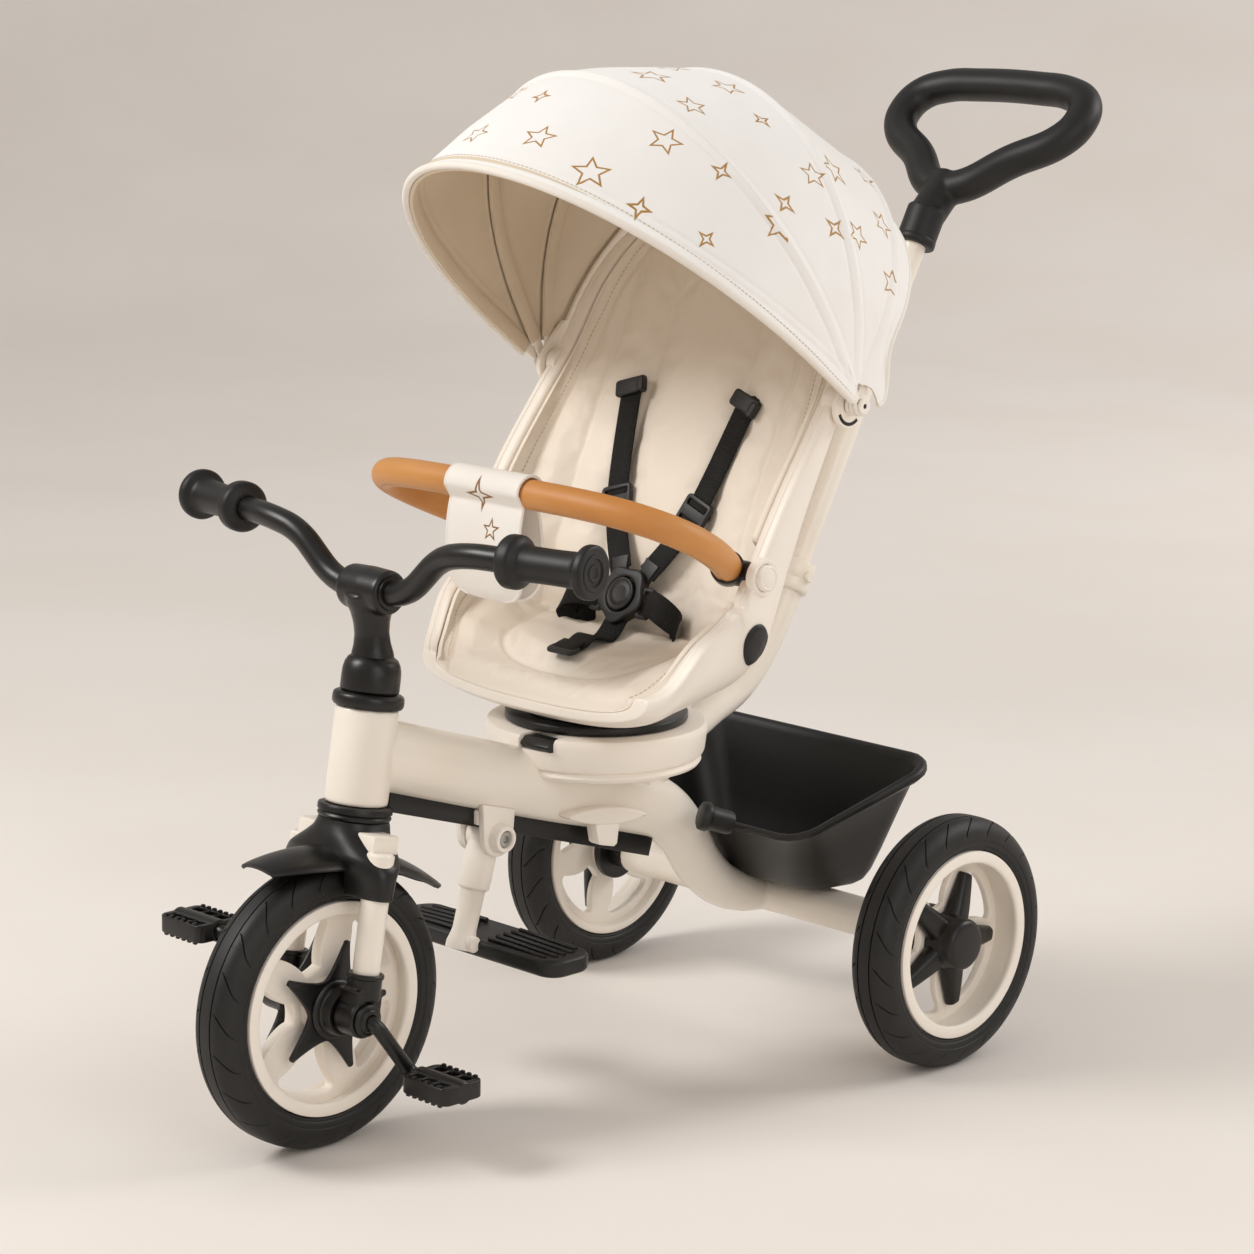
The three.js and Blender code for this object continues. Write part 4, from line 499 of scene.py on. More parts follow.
def turned(name, profile, centre, axis=X_AXIS, steps=64):
    """Spins a closed profile of (radius, height along the axis) pairs, in millimetres."""
    piece = fresh(name, bpy.ops.mesh.primitive_circle_add, vertices=len(profile), radius=0.01)
    axis = axis.normalized()
    side = axis.orthogonal().normalized()
    for point, (radius, height) in zip(piece.data.vertices, profile):
        point.co = centre + side * radius * MM + axis * height * MM
    edit(piece, lambda: bpy.ops.mesh.spin(steps=steps, angle=math.tau, center=centre, axis=axis))
    return mend(piece)


def rod(name, start, end, radius, edge=0.8, sides=40):
    """A round bar from one place to another, with softened rims."""
    length = (end - start).length / MM
    half = [(0, 0), (radius - edge, 0), (radius, edge)]
    return turned(name, half + [(r, length - h) for r, h in reversed(half)], start, end - start, sides)


def cross_rod(name, place, half_length, radius, edge=0.8, sides=40):
    """A rod that lies across the tricycle; place(x, 0, 0) is a place on its axis."""
    return rod(name, place(-half_length, 0, 0), place(half_length, 0, 0), radius, edge, sides)


def sided(side, profile):
    """A profile for the left side (1) as it is, or for the right side (-1) turned the other way."""
    return [(radius, side * height) for radius, height in profile]


def tube(name, path, radius, closed=False, sides=5, smooth=4):
    """A bent tube through the places of a path."""
    piece = fresh(name, bpy.ops.curve.primitive_bezier_curve_add)
    spline = piece.data.splines[0]
    spline.bezier_points.add(len(path) - 2)
    for knot, place in zip(spline.bezier_points, path):
        knot.co = place
        knot.handle_left_type = knot.handle_right_type = "AUTO"
    spline.use_cyclic_u = closed
    piece.data.resolution_u = smooth
    piece.data.bevel_depth = radius * MM
    piece.data.bevel_resolution = sides
    piece.data.use_fill_caps = not closed
    return mend(as_mesh(piece))


def rounded(corners, bend, steps=5):
    """Straight runs between corners, with each inner corner rounded."""
    path = [corners[0]]
    for before, here, after in zip(corners, corners[1:], corners[2:]):
        cut = min(bend * MM, (before - here).length * 0.49, (after - here).length * 0.49)
        start = here + (before - here).normalized() * cut
        end = here + (after - here).normalized() * cut
        for k in range(steps + 1):
            share = k / steps
            path.append(start * (1 - share) ** 2 + here * 2 * share * (1 - share) + end * share ** 2)
    return path + [corners[-1]]


def plate(name, outlines, low, high, edge, place, resolution=2):
    """A flat plate: the first outline is its edge and the others are windows, in millimetres.
    It is thick from low to high, and place turns a flat place (a, b, height) into the frame."""
    piece = fresh(name, bpy.ops.curve.primitive_bezier_circle_add)
    piece.data.splines.clear()
    piece.data.dimensions = "2D"
    piece.data.fill_mode = "BOTH"
    piece.data.extrude = ((high - low) / 2 - edge) * MM
    piece.data.bevel_depth = edge * MM
    piece.data.bevel_resolution = resolution
    piece.data.offset = -edge * MM
    for outline in outlines:
        spline = piece.data.splines.new("POLY")
        spline.points.add(len(outline) - 1)
        for point, (a, b) in zip(spline.points, outline):
            point.co = (a * MM, b * MM, 0, 1)
        spline.use_cyclic_u = True
    return laid(as_mesh(piece), lambda a, b, height: place(a, b, height + (low + high) / 2))


def surface(name, across, along, place, wrap=False):
    """A grid whose points are laid on a formula of two shares from 0 to 1."""
    grid = bpy.ops.mesh.primitive_grid_add
    piece = fresh(name, grid, x_subdivisions=across, y_subdivisions=along, size=1)
    for point in piece.data.vertices:
        point.co = place(point.co.x + 0.5, point.co.y + 0.5)
    if wrap:
        edit(piece, lambda: bpy.ops.mesh.remove_doubles(threshold=MERGE))
    return piece


def skin(name, rings):
    """A closed skin through rings of places, open at its ends."""
    count, last = len(rings[0]), len(rings) - 1

    def on_rings(a, b):
        return rings[round(b * last)][round(a * count) % count]

    return surface(name, count, last, on_rings, wrap=True)


def measured_uv(piece, across, along):
    """Scales the piece's UV map from shares to metres, so that a weave keeps its size."""
    for loop in piece.data.uv_layers.active.data:
        loop.uv = (loop.uv[0] * across, loop.uv[1] * along)
    return piece


def circle(radius, a=0, b=0, sides=64):
    """A round outline."""
    angles = [math.tau * k / sides for k in range(sides)]
    return [(a + radius * math.cos(angle), b + radius * math.sin(angle)) for angle in angles]


def rounded_box(low_a, high_a, low_b, high_b, radius, steps=5):
    """A rectangle with round corners, as an outline."""
    outline = []
    for a, b, start in ((high_a - radius, high_b - radius, 0), (low_a + radius, high_b - radius, 90),
                        (low_a + radius, low_b + radius, 180), (high_a - radius, low_b + radius, 270)):
        for k in range(steps + 1):
            angle = math.radians(start + 90 * k / steps)
            outline.append((a + radius * math.cos(angle), b + radius * math.sin(angle)))
    return outline


def block(name, low, high, edge=0.8):
    """A moulded block between two corners, with its edges rounded."""
    piece = fresh(name, bpy.ops.mesh.primitive_cube_add, size=1)
    for point in piece.data.vertices:
        point.co = Vector(b if c > 0 else a for a, b, c in zip(low, high, point.co))
    return applied(piece, "BEVEL", width=edge * MM, segments=2)


def dress(piece, body, finish, replaces=(), angle=38):
    """Smooths a finished piece, gives it its material and its body, and hides the CAD parts that it stands
    for.
    """
    pick(piece)
    bpy.ops.object.shade_smooth_by_angle(angle=math.radians(angle))
    piece.data.materials.clear()
    piece.data.materials.append(finish)
    if body:
        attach(piece, body)
    if replaces:
        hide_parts(*replaces)
    return piece


def refined(node, body, finish):
    """A plain CAD part whose shape is right: its copy is merged and its edges are rounded."""
    twin = copied(frame["nodes"][node], node + "_shaped")
    twin.parent = None
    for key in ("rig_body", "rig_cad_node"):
        del twin[key]
    twin.hide_render = twin.hide_viewport = False
    edit(
        twin,
        lambda: bpy.ops.mesh.remove_doubles(threshold=MERGE),
        lambda: bpy.ops.mesh.dissolve_limited(angle_limit=math.radians(1)),
    )
    soften(twin, 0.7)
    return dress(twin, body, finish, (node,))


print("helpers ready")

# %% [markdown]
# The small solid parts have the right shape already, so each is copied, merged and given rounded
# edges. That is enough for a lever, a pin or a cover, and it keeps their size exactly.

# %% Small parts kept from the CAD
SMALL = [
    ("steering_channel", "frame", BLACK_PLASTIC),
    ("turn_lever", "turn_lever", BLACK_PLASTIC),
    ("release_button", "release_button", CREAM_PLASTIC),
    ("rear_axle", "frame", STEEL),
]
for node, body, finish in SMALL:
    refined(node, body, finish)
print("small parts:", len(SMALL))

# %% [markdown]
# The frame is one oval tube that slopes to the rear and bends down into the axle tube, welded to a
# head tube. Separate tubes that merely cross would show a hard line, so they are joined, remeshed
# into one skin and smoothed a little, which leaves the soft fillet that a welder grinds.

# %% Main frame
TUBE_ROWS = [  # Y and Z of the centre line, half height, half width
    (-528, 346, 32, 25), (-400, 305.5, 32, 25), (-290, 272, 32, 25), (-190, 243, 31, 25),
    (-150, 226, 29, 24), (-121, 199, 26, 23), (-100, 168, 24, 22), (-70, 141, 22, 21),
    (-35, 126, 20, 20), (-4, 120, 17.5, 17.5),
]


def blended(rows, share):
    """Reads a table of rows between two of them, on a smooth curve through all."""
    place = min(max(share, 0.0), 1.0) * (len(rows) - 1)
    index = min(int(place), len(rows) - 2)
    local = place - index
    row = [rows[min(max(index + k, 0), len(rows) - 1)] for k in (-1, 0, 1, 2)]
    return [
        0.5 * (2 * b + (c - a) * local + (2 * a - 5 * b + 4 * c - d) * local ** 2
               + (3 * b - a - 3 * c + d) * local ** 3)
        for a, b, c, d in zip(*row)
    ]


def on_main_tube(round_share, share):
    y, z, half_h, half_w = blended(TUBE_ROWS, share)
    y0, z0 = blended(TUBE_ROWS, share - 0.01)[:2]
    y1, z1 = blended(TUBE_ROWS, share + 0.01)[:2]
    along = Vector((0, y1 - y0, z1 - z0)).normalized()
    out = Vector((0, -along.z, along.y))
    angle = round_share * math.tau
    return mm(half_w * math.cos(angle), y, z) + out * half_h * math.sin(angle) * MM


main_tube = close_ends(surface("main_tube", 48, 70, on_main_tube, wrap=True))
head_tube = rod("head_tube", HEAD_FOOT, head(0, 0, 85), 28, edge=1.2, sides=64)
axle_tube = cross_rod("axle_tube", lambda x, y, z: mm(x, y, REAR_R + z), 185, 19, edge=1.2, sides=56)
main_frame = joined("main_frame_welded", [main_tube, head_tube, axle_tube])
welded(main_frame, 1.9, 7)
# The release button moves in a well with a little room all round.
button_well = block("button_well", mm(19.1, -271.4, 210), mm(35, -239.6, 245), 0.2)
main_frame = carved(main_frame, button_well)
dress(main_frame, "frame", CREAM_PAINT, ("main_frame",), angle=60)
print("main frame faces:", len(main_frame.data.polygons))

# %% [markdown]
# On the left a lens-shaped clamp plate carries the release button for the steering. A flat outline
# with a rolled edge makes it.

# %% Clamp plate and headset cups


def side_on(a, b, height):
    """A flat outline stood on edge: its thickness runs along X."""
    return mm(height, a, b)


LENS_Y, LENS_Z, LENS_HALF, LENS_TALL, LENS_SLOPE = -255, 246, 51, 8.5, 0.14  # it falls to the rear
lens = []
for a, b in circle(1, sides=48):
    rise = LENS_TALL * b * math.sqrt(1 - 0.6 * a ** 2)
    lens.append((LENS_Y + LENS_HALF * a, LENS_Z + rise - LENS_HALF * a * LENS_SLOPE))
clamp_plate = plate("clamp_plate", [lens], 18, 34, 2.4, side_on, 3)
dress(clamp_plate, "frame", CREAM_PAINT)

CUP_BORE = 14.4
lower_cup = turned("headset_lower_ring", [
    (CUP_BORE, -0.4), (30.5, -0.4), (32.4, -1.2), (33, -2.6), (33, -6.4), (32, -7.2), (31.4, -8),
    (32, -8.8), (32.6, -10), (31.8, -12), (30, -13), (CUP_BORE, -13),
], HEAD_FOOT, STEER_AXIS, 72)
dress(lower_cup, "frame", BLACK_PLASTIC, ("headset_lower_cup",))
upper_cup = turned("headset_upper_ring", [
    (CUP_BORE, 98), (28, 98), (30.2, 96.8), (31.2, 95), (31.5, 92.5), (31.5, 89), (31, 87.2),
    (29.8, 85.6), (28.6, 85.4), (CUP_BORE, 85.4),
], HEAD_FOOT, STEER_AXIS, 72)
dress(upper_cup, "frame", BLACK_PLASTIC, ("headset_upper_cup",))
print("headset cups done")

# %% [markdown]
# The seat stands on a round moulded saddle. Its side has a step half-way, which is two turned
# ledges; the slot for the turning lever is cut with a boolean, as a mould insert would leave it.

# %% Seat base
TURN_Z = 332
TURN_FOOT = mm(0, -240, 0)
saddle = turned("seat_saddle", [
    (0, 291), (92, 291), (96, 292.5), (98, 295.5), (97, 298.5), (95.4, 300), (96.6, 301.2), (99.5, 302.4),
    (101, 306), (103, 324), (102.8, 328), (101, 331), (98, 332), (20.4, 332), (20.4, 312), (0, 312),
], TURN_FOOT, Z_AXIS, 96)
pedestal = plate("pedestal", [[(-325, 283), (-185, 241.5), (-185, 293), (-325, 293)]], -20, 20, 3, side_on)
lever_well = block("lever_well", mm(3.6, -358, 319.6), mm(40.4, -317.6, 334))
seat_base = joined("seat_base_moulded", [carved(saddle, lever_well), pedestal])
dress(seat_base, "frame", CREAM_PLASTIC, ("seat_base",), angle=30)
print("seat base done")

# %% [markdown]
# The arm for the push pole is a bent tube from under the seat; a wider collar at its end grips the
# pole. Both are round parts, so one is a curve with a round section and the other is turned.

# %% Pole arm, push pole and handle
POLE_DIR = turned_axis(28.3)
POLE_FOOT = mm(0, 31, 441)


def on_pole(distance):
    return POLE_FOOT + POLE_DIR * distance * MM


arm = tube("pole_arm_tube", [
    mm(0, -172, 258), mm(0, -130, 291), mm(0, -92, 312), mm(0, -45, 334), mm(0, -12, 368),
    on_pole(-40), on_pole(4),
], 15, sides=8, smooth=10)
collar = turned("pole_collar", [
    (12.4, -26), (17, -26), (19, -24.6), (20, -22), (20, -14), (19.2, -12.6), (20, -11), (20, 2), (19, 4.8),
    (16.8, 6), (12.4, 6),
], POLE_FOOT, POLE_DIR, 56)
collar_screw = rod("collar_screw", on_pole(-8) + X_AXIS * 0.012, on_pole(-8) + X_AXIS * 0.0235, 6, 1.2)
pole_arm = joined("pole_arm_bent", [arm, collar, collar_screw])
dress(pole_arm, "frame", CREAM_PAINT, ("pole_arm",))
push_pole = rod("push_pole_tube", on_pole(-29), on_pole(377.6), 12, 0.6, 56)
dress(push_pole, "handle", CREAM_PAINT, ("push_pole",))

LOOP_BASE = on_pole(378)
LOOP_DIR = turned_axis(45)


def on_loop(x, along):
    return LOOP_BASE + Vector((x * MM, 0.002, -0.002)) + LOOP_DIR * along * MM


HALF_LOOP = [(15, 40), (60, 78), (104, 111), (112, 135), (104, 158), (78, 171), (40, 175)]
loop_path = [on_loop(x, along) for x, along in HALF_LOOP]
loop_path += [on_loop(-x, along) for x, along in reversed(HALF_LOOP)]
loop = tube("loop_ring", loop_path, 17, closed=True, sides=12, smooth=10)
neck = rod("loop_neck", on_pole(372), on_loop(0, 50), 18.6, 3, 56)
socket = rod("loop_socket", on_pole(345), on_pole(384), 19.6, 1.5, 56)
handle = joined("handle_loop_moulded", [loop, neck, socket])
welded(handle, 1.6, 9)
cuff = turned("handle_cuff", [
    (12.4, 344), (18.2, 344), (20, 345.6), (20, 351), (19, 352.6), (12.4, 352.6),
], POLE_FOOT, POLE_DIR, 56)
handle = joined("handle_loop_moulded", [handle, cuff])
dress(handle, "handle", GRIP_RUBBER, ("handle_loop",), angle=50)
print("handle faces:", len(handle.data.polygons))

# %% [markdown]
# The basket is a deep bin with a rolled lip that rises to the rear. It is one wall, so its rings are
# laid from the floor up the outside, over the lip and down the inside to the floor again.

# %% Basket
BIN_FRONT, BIN_REAR = ((-42, 143, 98), (-100, 214, 132)), ((44, 143, 104), (66, 268, 150))  # floor and lip
BIN_ROWS = [  # height share, inset, corner radius, lift
    (0.0, 16, 14, 0), (0.0, 8, 19, 0), (0.04, 3, 22, 0), (0.12, 0.6, 24, 0), (0.3, 0, 25, 0),
    (0.6, 0, 26, 0),
    (0.86, 0, 26, 0), (0.9, -1.5, 27, 0), (0.93, -5.5, 30, 0), (0.965, -8, 32, 0), (0.99, -7, 32, 1.5),
    (1.0, -4, 30, 3), (1.0, -1, 28, 3), (0.985, 2, 26, 2), (0.95, 3, 25, 0), (0.7, 3, 24, 0),
    (0.4, 3, 23, 0), (0.15, 3.4, 21, 0), (0.07, 6, 19, 0), (0.045, 11, 15, 0), (0.042, 18, 12, 0),
]
RING_POINTS = 88


def bin_ring(share, inset, corner, lift):
    """Rounded rectangle of the bin at a height share, evenly stepped round its four corners."""
    front_y, front_z, front_half = (a + (b - a) * share for a, b in zip(*BIN_FRONT))
    rear_y, rear_z, rear_half = (a + (b - a) * share for a, b in zip(*BIN_REAR))
    front_y, rear_y = front_y + inset, rear_y - inset
    front_half, rear_half = front_half - inset, rear_half - inset
    corners = [
        (rear_half - corner, rear_y - corner, 0), (corner - rear_half, rear_y - corner, 90),
        (corner - front_half, front_y + corner, 180), (front_half - corner, front_y + corner, 270),
    ]
    outline = []
    for x, y, start in corners:
        for k in range(13):
            angle = math.radians(start + 7.5 * k)
            outline.append((x + corner * math.cos(angle), y + corner * math.sin(angle)))
    lengths = [0.0]
    for (x0, y0), (x1, y1) in zip(outline, outline[1:] + outline[:1]):
        lengths.append(lengths[-1] + math.hypot(x1 - x0, y1 - y0))
    ring, index = [], 0
    for k in range(RING_POINTS):
        target = lengths[-1] * k / RING_POINTS
        while lengths[index + 1] < target:
            index += 1
        part = (target - lengths[index]) / (lengths[index + 1] - lengths[index])
        x0, y0 = outline[index]
        x1, y1 = outline[(index + 1) % len(outline)]
        x, y = x0 + (x1 - x0) * part, y0 + (y1 - y0) * part
        slope = (y - front_y) / (rear_y - front_y)
        ring.append(mm(x, y, front_z + (rear_z - front_z) * slope + lift))
    return ring


bin_shell = close_ends(skin("bin_shell", [bin_ring(*row) for row in BIN_ROWS]))
hooks = []
for side in (-1, 1):
    hooks.append(turned("bin_hook", [
        (0, 0), (11, 0), (13.4, 1.4), (14, 4), (14, 8), (12.6, 10), (11.4, 12), (11.4, 30),
        (10, 33), (0, 33),
    ], mm(side * 40, -140, 228.5), Vector((side * 20, 30, -11)), 48))
basket = joined("basket_bin", [bin_shell, *hooks])
dress(basket, "frame", BLACK_GRAIN, ("basket",), angle=45)
print("basket faces:", len(basket.data.polygons))

# %% [markdown]
# The fork is hidden at the top by a black bell, and a mudguard leaf comes out of the bell in front
# and behind. On the real part the bell is one moulding laid over the leaf, with a raised rim where
# they meet. Both are grids laid on a formula, made thick; the bell is cut free of the tyre.

# %% Fork, bell and mudguard leaf
LEG_X, LEG_AT = 50, -10


def fork_leg(side):
    return turned("fork_leg", [
        (0, -158), (10.4, -158), (11.6, -156.6), (12, -120), (12.4, -70), (12.6, -36), (11, -34), (0, -34),
    ], head(side * LEG_X, LEG_AT, 0), STEER_AXIS, 48)


crown = laid(block("fork_crown", Vector((-50, -19, -42)) * MM, Vector((50, 10, -20)) * MM, 2), head)
steerer = rod("steerer", head(0, 0, -30), head(0, 0, 125.6), 14)
fork = joined("fork_welded", [crown, steerer, fork_leg(1), fork_leg(-1)])
dress(fork, "steering", CREAM_PAINT, ("fork",))

GUARD_FRONT, GUARD_REAR = -36.5, 51  # degrees ahead of and behind the wheel's top
GUARD_GAP, GUARD_RISE, GUARD_THICK = 11, 17, 3  # gap over the tyre, what the tips add to it
GUARD_TIP, GUARD_SWELL = 4, 31  # half width of the tips, and what the middle adds to it


def on_guard(across, along):
    """The leaf's place at two shares: -1 to 1 across, 0 to 1 from its front tip to its rear one."""
    angle = math.radians(GUARD_FRONT + (GUARD_REAR - GUARD_FRONT) * along)
    middle = abs(2 * along - 0.92)
    reach = WHEEL_R + GUARD_GAP + GUARD_RISE * middle ** 2
    x = across * (GUARD_TIP + GUARD_SWELL * math.sqrt(max(0, 1 - min(1, middle / 1.06) ** 2.6)))
    rim_roll = 1.6 * max(0, abs(across) - 0.86) / 0.14
    out = reach - x ** 2 / 95 + GUARD_THICK - rim_roll * 1.2
    return hub(x, math.sin(angle) * out, math.cos(angle) * out)


leaf_top = surface("guard_leaf", 28, 64, lambda a, b: on_guard(2 * a - 1, b))
leaf = soften(applied(leaf_top, "SOLIDIFY", thickness=GUARD_THICK * MM, offset=-1), 1.1, 2, 50)

BELL_ROWS = [  # height, half width, half depth, middle
    (-13.4, 29, 29, 0), (-17, 30.5, 29.6, 0), (-22, 33, 30, -1), (-27, 39, 30.2, -2), (-32, 46, 30, -3),
    (-37, 54, 29, -4.5), (-42, 60.5, 28, -6), (-48, 64.5, 25.5, -7.5), (-54, 66, 23, -9),
    (-64, 66.8, 20, -9.6), (-71, 67, 18.6, -10), (-74, 66.4, 17.6, -10),
]


def powered(value, power):
    """A sine or cosine raised to a power that keeps its sign, which squares off a circle."""
    return math.copysign(abs(value) ** power, value)


def on_bell(around, down):
    height, half_x, half_y, middle = blended(BELL_ROWS, down)
    angle = around * math.tau
    x, y = half_x * powered(math.cos(angle), 0.8), half_y * powered(math.sin(angle), 0.8)
    return head(x, middle + y, height)


bell = close_ends(surface("fork_bell", 72, 26, on_bell, wrap=True))
tyre_room = cross_rod("tyre_room", hub, 29, 133, 5, 96)
bell = soften(carved(bell, tyre_room), 0.9, 2, 40)
fairing = joined("fork_fairing_moulded", [bell, leaf])
dress(fairing, "steering", BLACK_PLASTIC, ("fork_fairing",), angle=40)
print("fairing faces:", len(fairing.data.polygons))

# %% [markdown]
# Each leg ends in a black dropout: a sleeve on the leg, an eye on the axle and a web between them.
# Remeshing the joined pieces gives the web its moulded fillets.

# %% Dropouts
WEB_HALF = 11.5


def dropout(side, name):
    x = side * LEG_X
    sleeve = rod("dropout_sleeve", head(x, LEG_AT, -162.4), head(x, LEG_AT, -140.4), 15, 1.6)
    eye = rod("dropout_eye", hub(side * 38, 0, 0), hub(side * 62, 0, 0), 17, 1.4, 56)
    web_low, web_high = Vector((x - WEB_HALF, -27, -177.4)), Vector((x + WEB_HALF, 3, -152))
    web = laid(block("dropout_web", web_low * MM, web_high * MM, 2), head)
    piece = joined(name + "_moulded", [sleeve, eye, web])
    welded(piece, 1, 6)
    collar = turned(name + "_collar", [
        (12.6, -143.4), (15.4, -143.4), (16.2, -142.4), (16.2, -139.8), (15.4, -138.8), (12.6, -138.8),
    ], head(x, LEG_AT, 0), STEER_AXIS, 48)
    piece = joined(name + "_moulded", [piece, collar])
    dress(piece, "steering", BLACK_PLASTIC, (name,))


dropout(1, "dropout_left")
dropout(-1, "dropout_right")
print("dropouts done")

# %% [markdown]
# The stem is a dome over the bearing, a narrow waist and a barrel round the handlebar. Waist and
# barrel are joined and remeshed like the dropouts. The dome is added afterwards, as it was turned, so
# that it keeps its crisp ledge.

# %% Stem and handlebar
BAR_AT, BAR_UP, WAIST_AT = -12.5, 187.4, 122
bar_middle = head(0, BAR_AT, BAR_UP)
dome = turned("stem_dome", [
    (14.4, 98.4), (24.6, 98.4), (25.8, 99.6), (26, 101), (26, 112), (25.6, 118), (24.4, 123), (22, 127.4),
    (19, 129.6), (16.8, 130), (14.4, 130),
], HEAD_FOOT, STEER_AXIS, 64)
waist_foot = head(0, 0, WAIST_AT)
waist_dir = (bar_middle - waist_foot).normalized()
waist = turned("stem_waist", [
    (0, 120), (19.6, 120), (18.6, 132), (16.4, 140), (15.2, 150), (16, 160), (18.4, 170), (22, 178),
    (23, 186), (0, 186),
], waist_foot - waist_dir * WAIST_AT * MM, waist_dir, 56)
barrel = turned("stem_barrel", [
    (0, -26), (17.6, -26), (19, -24.8), (19.6, -22), (20.4, 0), (19.6, 22), (19, 24.8), (17.6, 26), (0, 26),
], bar_middle, X_AXIS, 64)
stem = joined("stem_moulded", [waist, barrel])
welded(stem, 1.2, 10)
LINER_PROFILE = [(11, 24), (14.4, 24), (15, 26), (14.2, 27.6), (12.4, 28), (11, 28)]
liners = [turned("bar_liner", sided(side, LINER_PROFILE), bar_middle, X_AXIS, 48) for side in (-1, 1)]
stem = joined("stem_moulded", [stem, dome, *liners])
dress(stem, "steering", BLACK_PLASTIC, ("stem",), angle=45)

GRIP_FROM = Vector((168, -19.5, 235.8))
GRIP_DIR = Vector((86, 16, 2.6)).normalized()


def on_grip(distance, side=1):
    place = GRIP_FROM + GRIP_DIR * distance
    return head(side * place.x, place.y, place.z)


half_bar = [head(46, BAR_AT, BAR_UP), head(92, -22, 227), on_grip(-40), on_grip(81)]
mirrored_bar = [Vector((-p.x, p.y, p.z)) for p in reversed(half_bar)]
handlebar = tube("handlebar_tube", rounded(mirrored_bar + half_bar, 24, 8), 11, sides=10, smooth=2)
dress(handlebar, "steering", BLACK_PLASTIC, ("handlebar",), angle=50)

# %% [markdown]
# The grips are turned rubber sleeves with a thumb flange at the inner end and a safety flange at the
# outer end. The end cap carries three moulded rings, and the barrel is waisted for a small hand.

# %% Grips
GRIP_PROFILE = [
    (0, 88.4), (4, 88.4), (4.6, 89.2), (7.4, 89.2), (8, 88.4), (11.4, 88.4), (12, 89.6),
    (15.4, 89.6), (16, 88.8),
    (19.4, 89), (21.4, 89), (22.7, 87.8), (23, 86), (23, 82.4), (22.4, 80.6), (20.6, 79), (17.6, 77.4),
    (15.9, 75), (15.5, 72), (15.2, 60), (15, 45), (15.2, 30), (15.6, 22), (16.2, 20),
    (18.6, 18.4), (21.4, 16.4),
    (22.7, 14.4), (23, 12), (23, 6), (22.6, 4), (21.4, 2.2), (19.4, 0.8), (17.4, 0), (15.6, -1.2),
    (13.4, -1.6), (11.4, -1.6), (11.4, 82), (0, 82),
]
for side, name in ((1, "grip_left"), (-1, "grip_right")):
    grip_axis = Vector((side * GRIP_DIR.x, 0, 0)) + STEER_BACK * GRIP_DIR.y + STEER_AXIS * GRIP_DIR.z
    grip = turned(name + "_rubber", GRIP_PROFILE, on_grip(0, side), grip_axis, 64)
    dress(grip, "steering", GRIP_RUBBER, (name,), angle=50)
print("stem, bar and grips done")

# %% [markdown]
# A tyre's tread is what one looks at, so its grooves are real: two fine ones run round it and a row
# of sickle-shaped cuts crosses each shoulder. The grid's own lines are skewed so that they follow the
# cuts. A cut is then a few columns pressed in, and its edges stay clean.

# %% Tyres
HALF_SECTION = [  # distance from the middle, drop from the crown, share of the cut's depth
    (0, 0, 0), (4, 0.06, 0), (6, 0.14, 0), (6.3, 1.5, 0), (7.3, 1.5, 0), (7.6, 0.24, 0), (9.2, 0.45, 0),
    (10.4, 0.7, 0.7), (12, 1.2, 1), (14, 2.2, 1), (16, 3.6, 1), (18, 5.6, 1), (19.8, 8, 1),
    (21.2, 10.8, 0.9),
    (22.2, 13.8, 0.6), (22.8, 16.6, 0), (23, 19, 0), (23, 20.4, 0), (22.5, 20.9, 0), (22.5, 22.4, 0),
    (22.6, 23, 0), (22.2, 25.2, 0), (21.6, 26.6, 0), (21, 27.2, 0), (21.3, 28, 0), (21.2, 29.2, 0),
    (20.2, 30.2, 0), (18, 31, 0), (8, 31, 0),
]
SECTION_DROP = 31
CUTS, CUT_DEPTH = 22, 1.7
CUT_COLUMNS = (-1.15, -0.6, 0.6, 1.15)


def tyre(name, place, outer, depth):
    """place(x, a, b) is a place round the wheel's axle; depth is from the crown down to the rim."""
    section = HALF_SECTION + [(-x, drop, cut) for x, drop, cut in reversed(HALF_SECTION[1:])]
    pitch = math.tau / CUTS
    columns = [c / outer for c in CUT_COLUMNS] + [pitch * (k + 0.5) / 11 + 0.002 for k in range(1, 10)]
    columns = [pitch * n + c for n in range(CUTS) for c in columns]
    per_pitch = len(columns) // CUTS

    def on_tyre(a, b):
        column = round(a * len(columns)) % len(columns)
        x, drop, cut = section[round(b * len(section)) % len(section)]
        sweep = 0.19 * (max(0, abs(x) - 9) / 14) ** 1.6
        pressed = CUT_DEPTH * cut if column % per_pitch in (1, 2) else 0
        reach = outer - drop * depth / SECTION_DROP
        slope = min(1, drop / 20)
        angle = columns[column] + sweep
        reach -= pressed * (1 - 0.7 * slope)
        x -= math.copysign(pressed * slope, x)
        return place(x, reach * math.cos(angle), reach * math.sin(angle))

    return mend(surface(name, len(columns), len(section), on_tyre, wrap=True))


front_tyre = tyre("front_tyre_treaded", hub, WHEEL_R, 31)
dress(front_tyre, "front_wheel", TYRE_RUBBER, ("front_tyre",), angle=42)
print("front tyre faces:", len(front_tyre.data.polygons))

# %% [markdown]
# The rims are one moulding: a barrel with a wide flat lip, and a disc with five windows that leaves
# broad curved spokes. The barrel is turned; the disc is a flat outline with windows and soft edges.

# %% Front rim
SPOKES = 5
SPOKE_TURN = 360 / SPOKES


def bent_line(start, middle, end, steps=7):
    """Points of a curve from start to end that is pulled towards the middle point."""
    shares = [k / steps for k in range(1, steps + 1)]
    return [tuple(a * (1 - t) ** 2 + b * 2 * t * (1 - t) + c * t ** 2 for a, b, c in zip(start, middle, end))
            for t in shares]


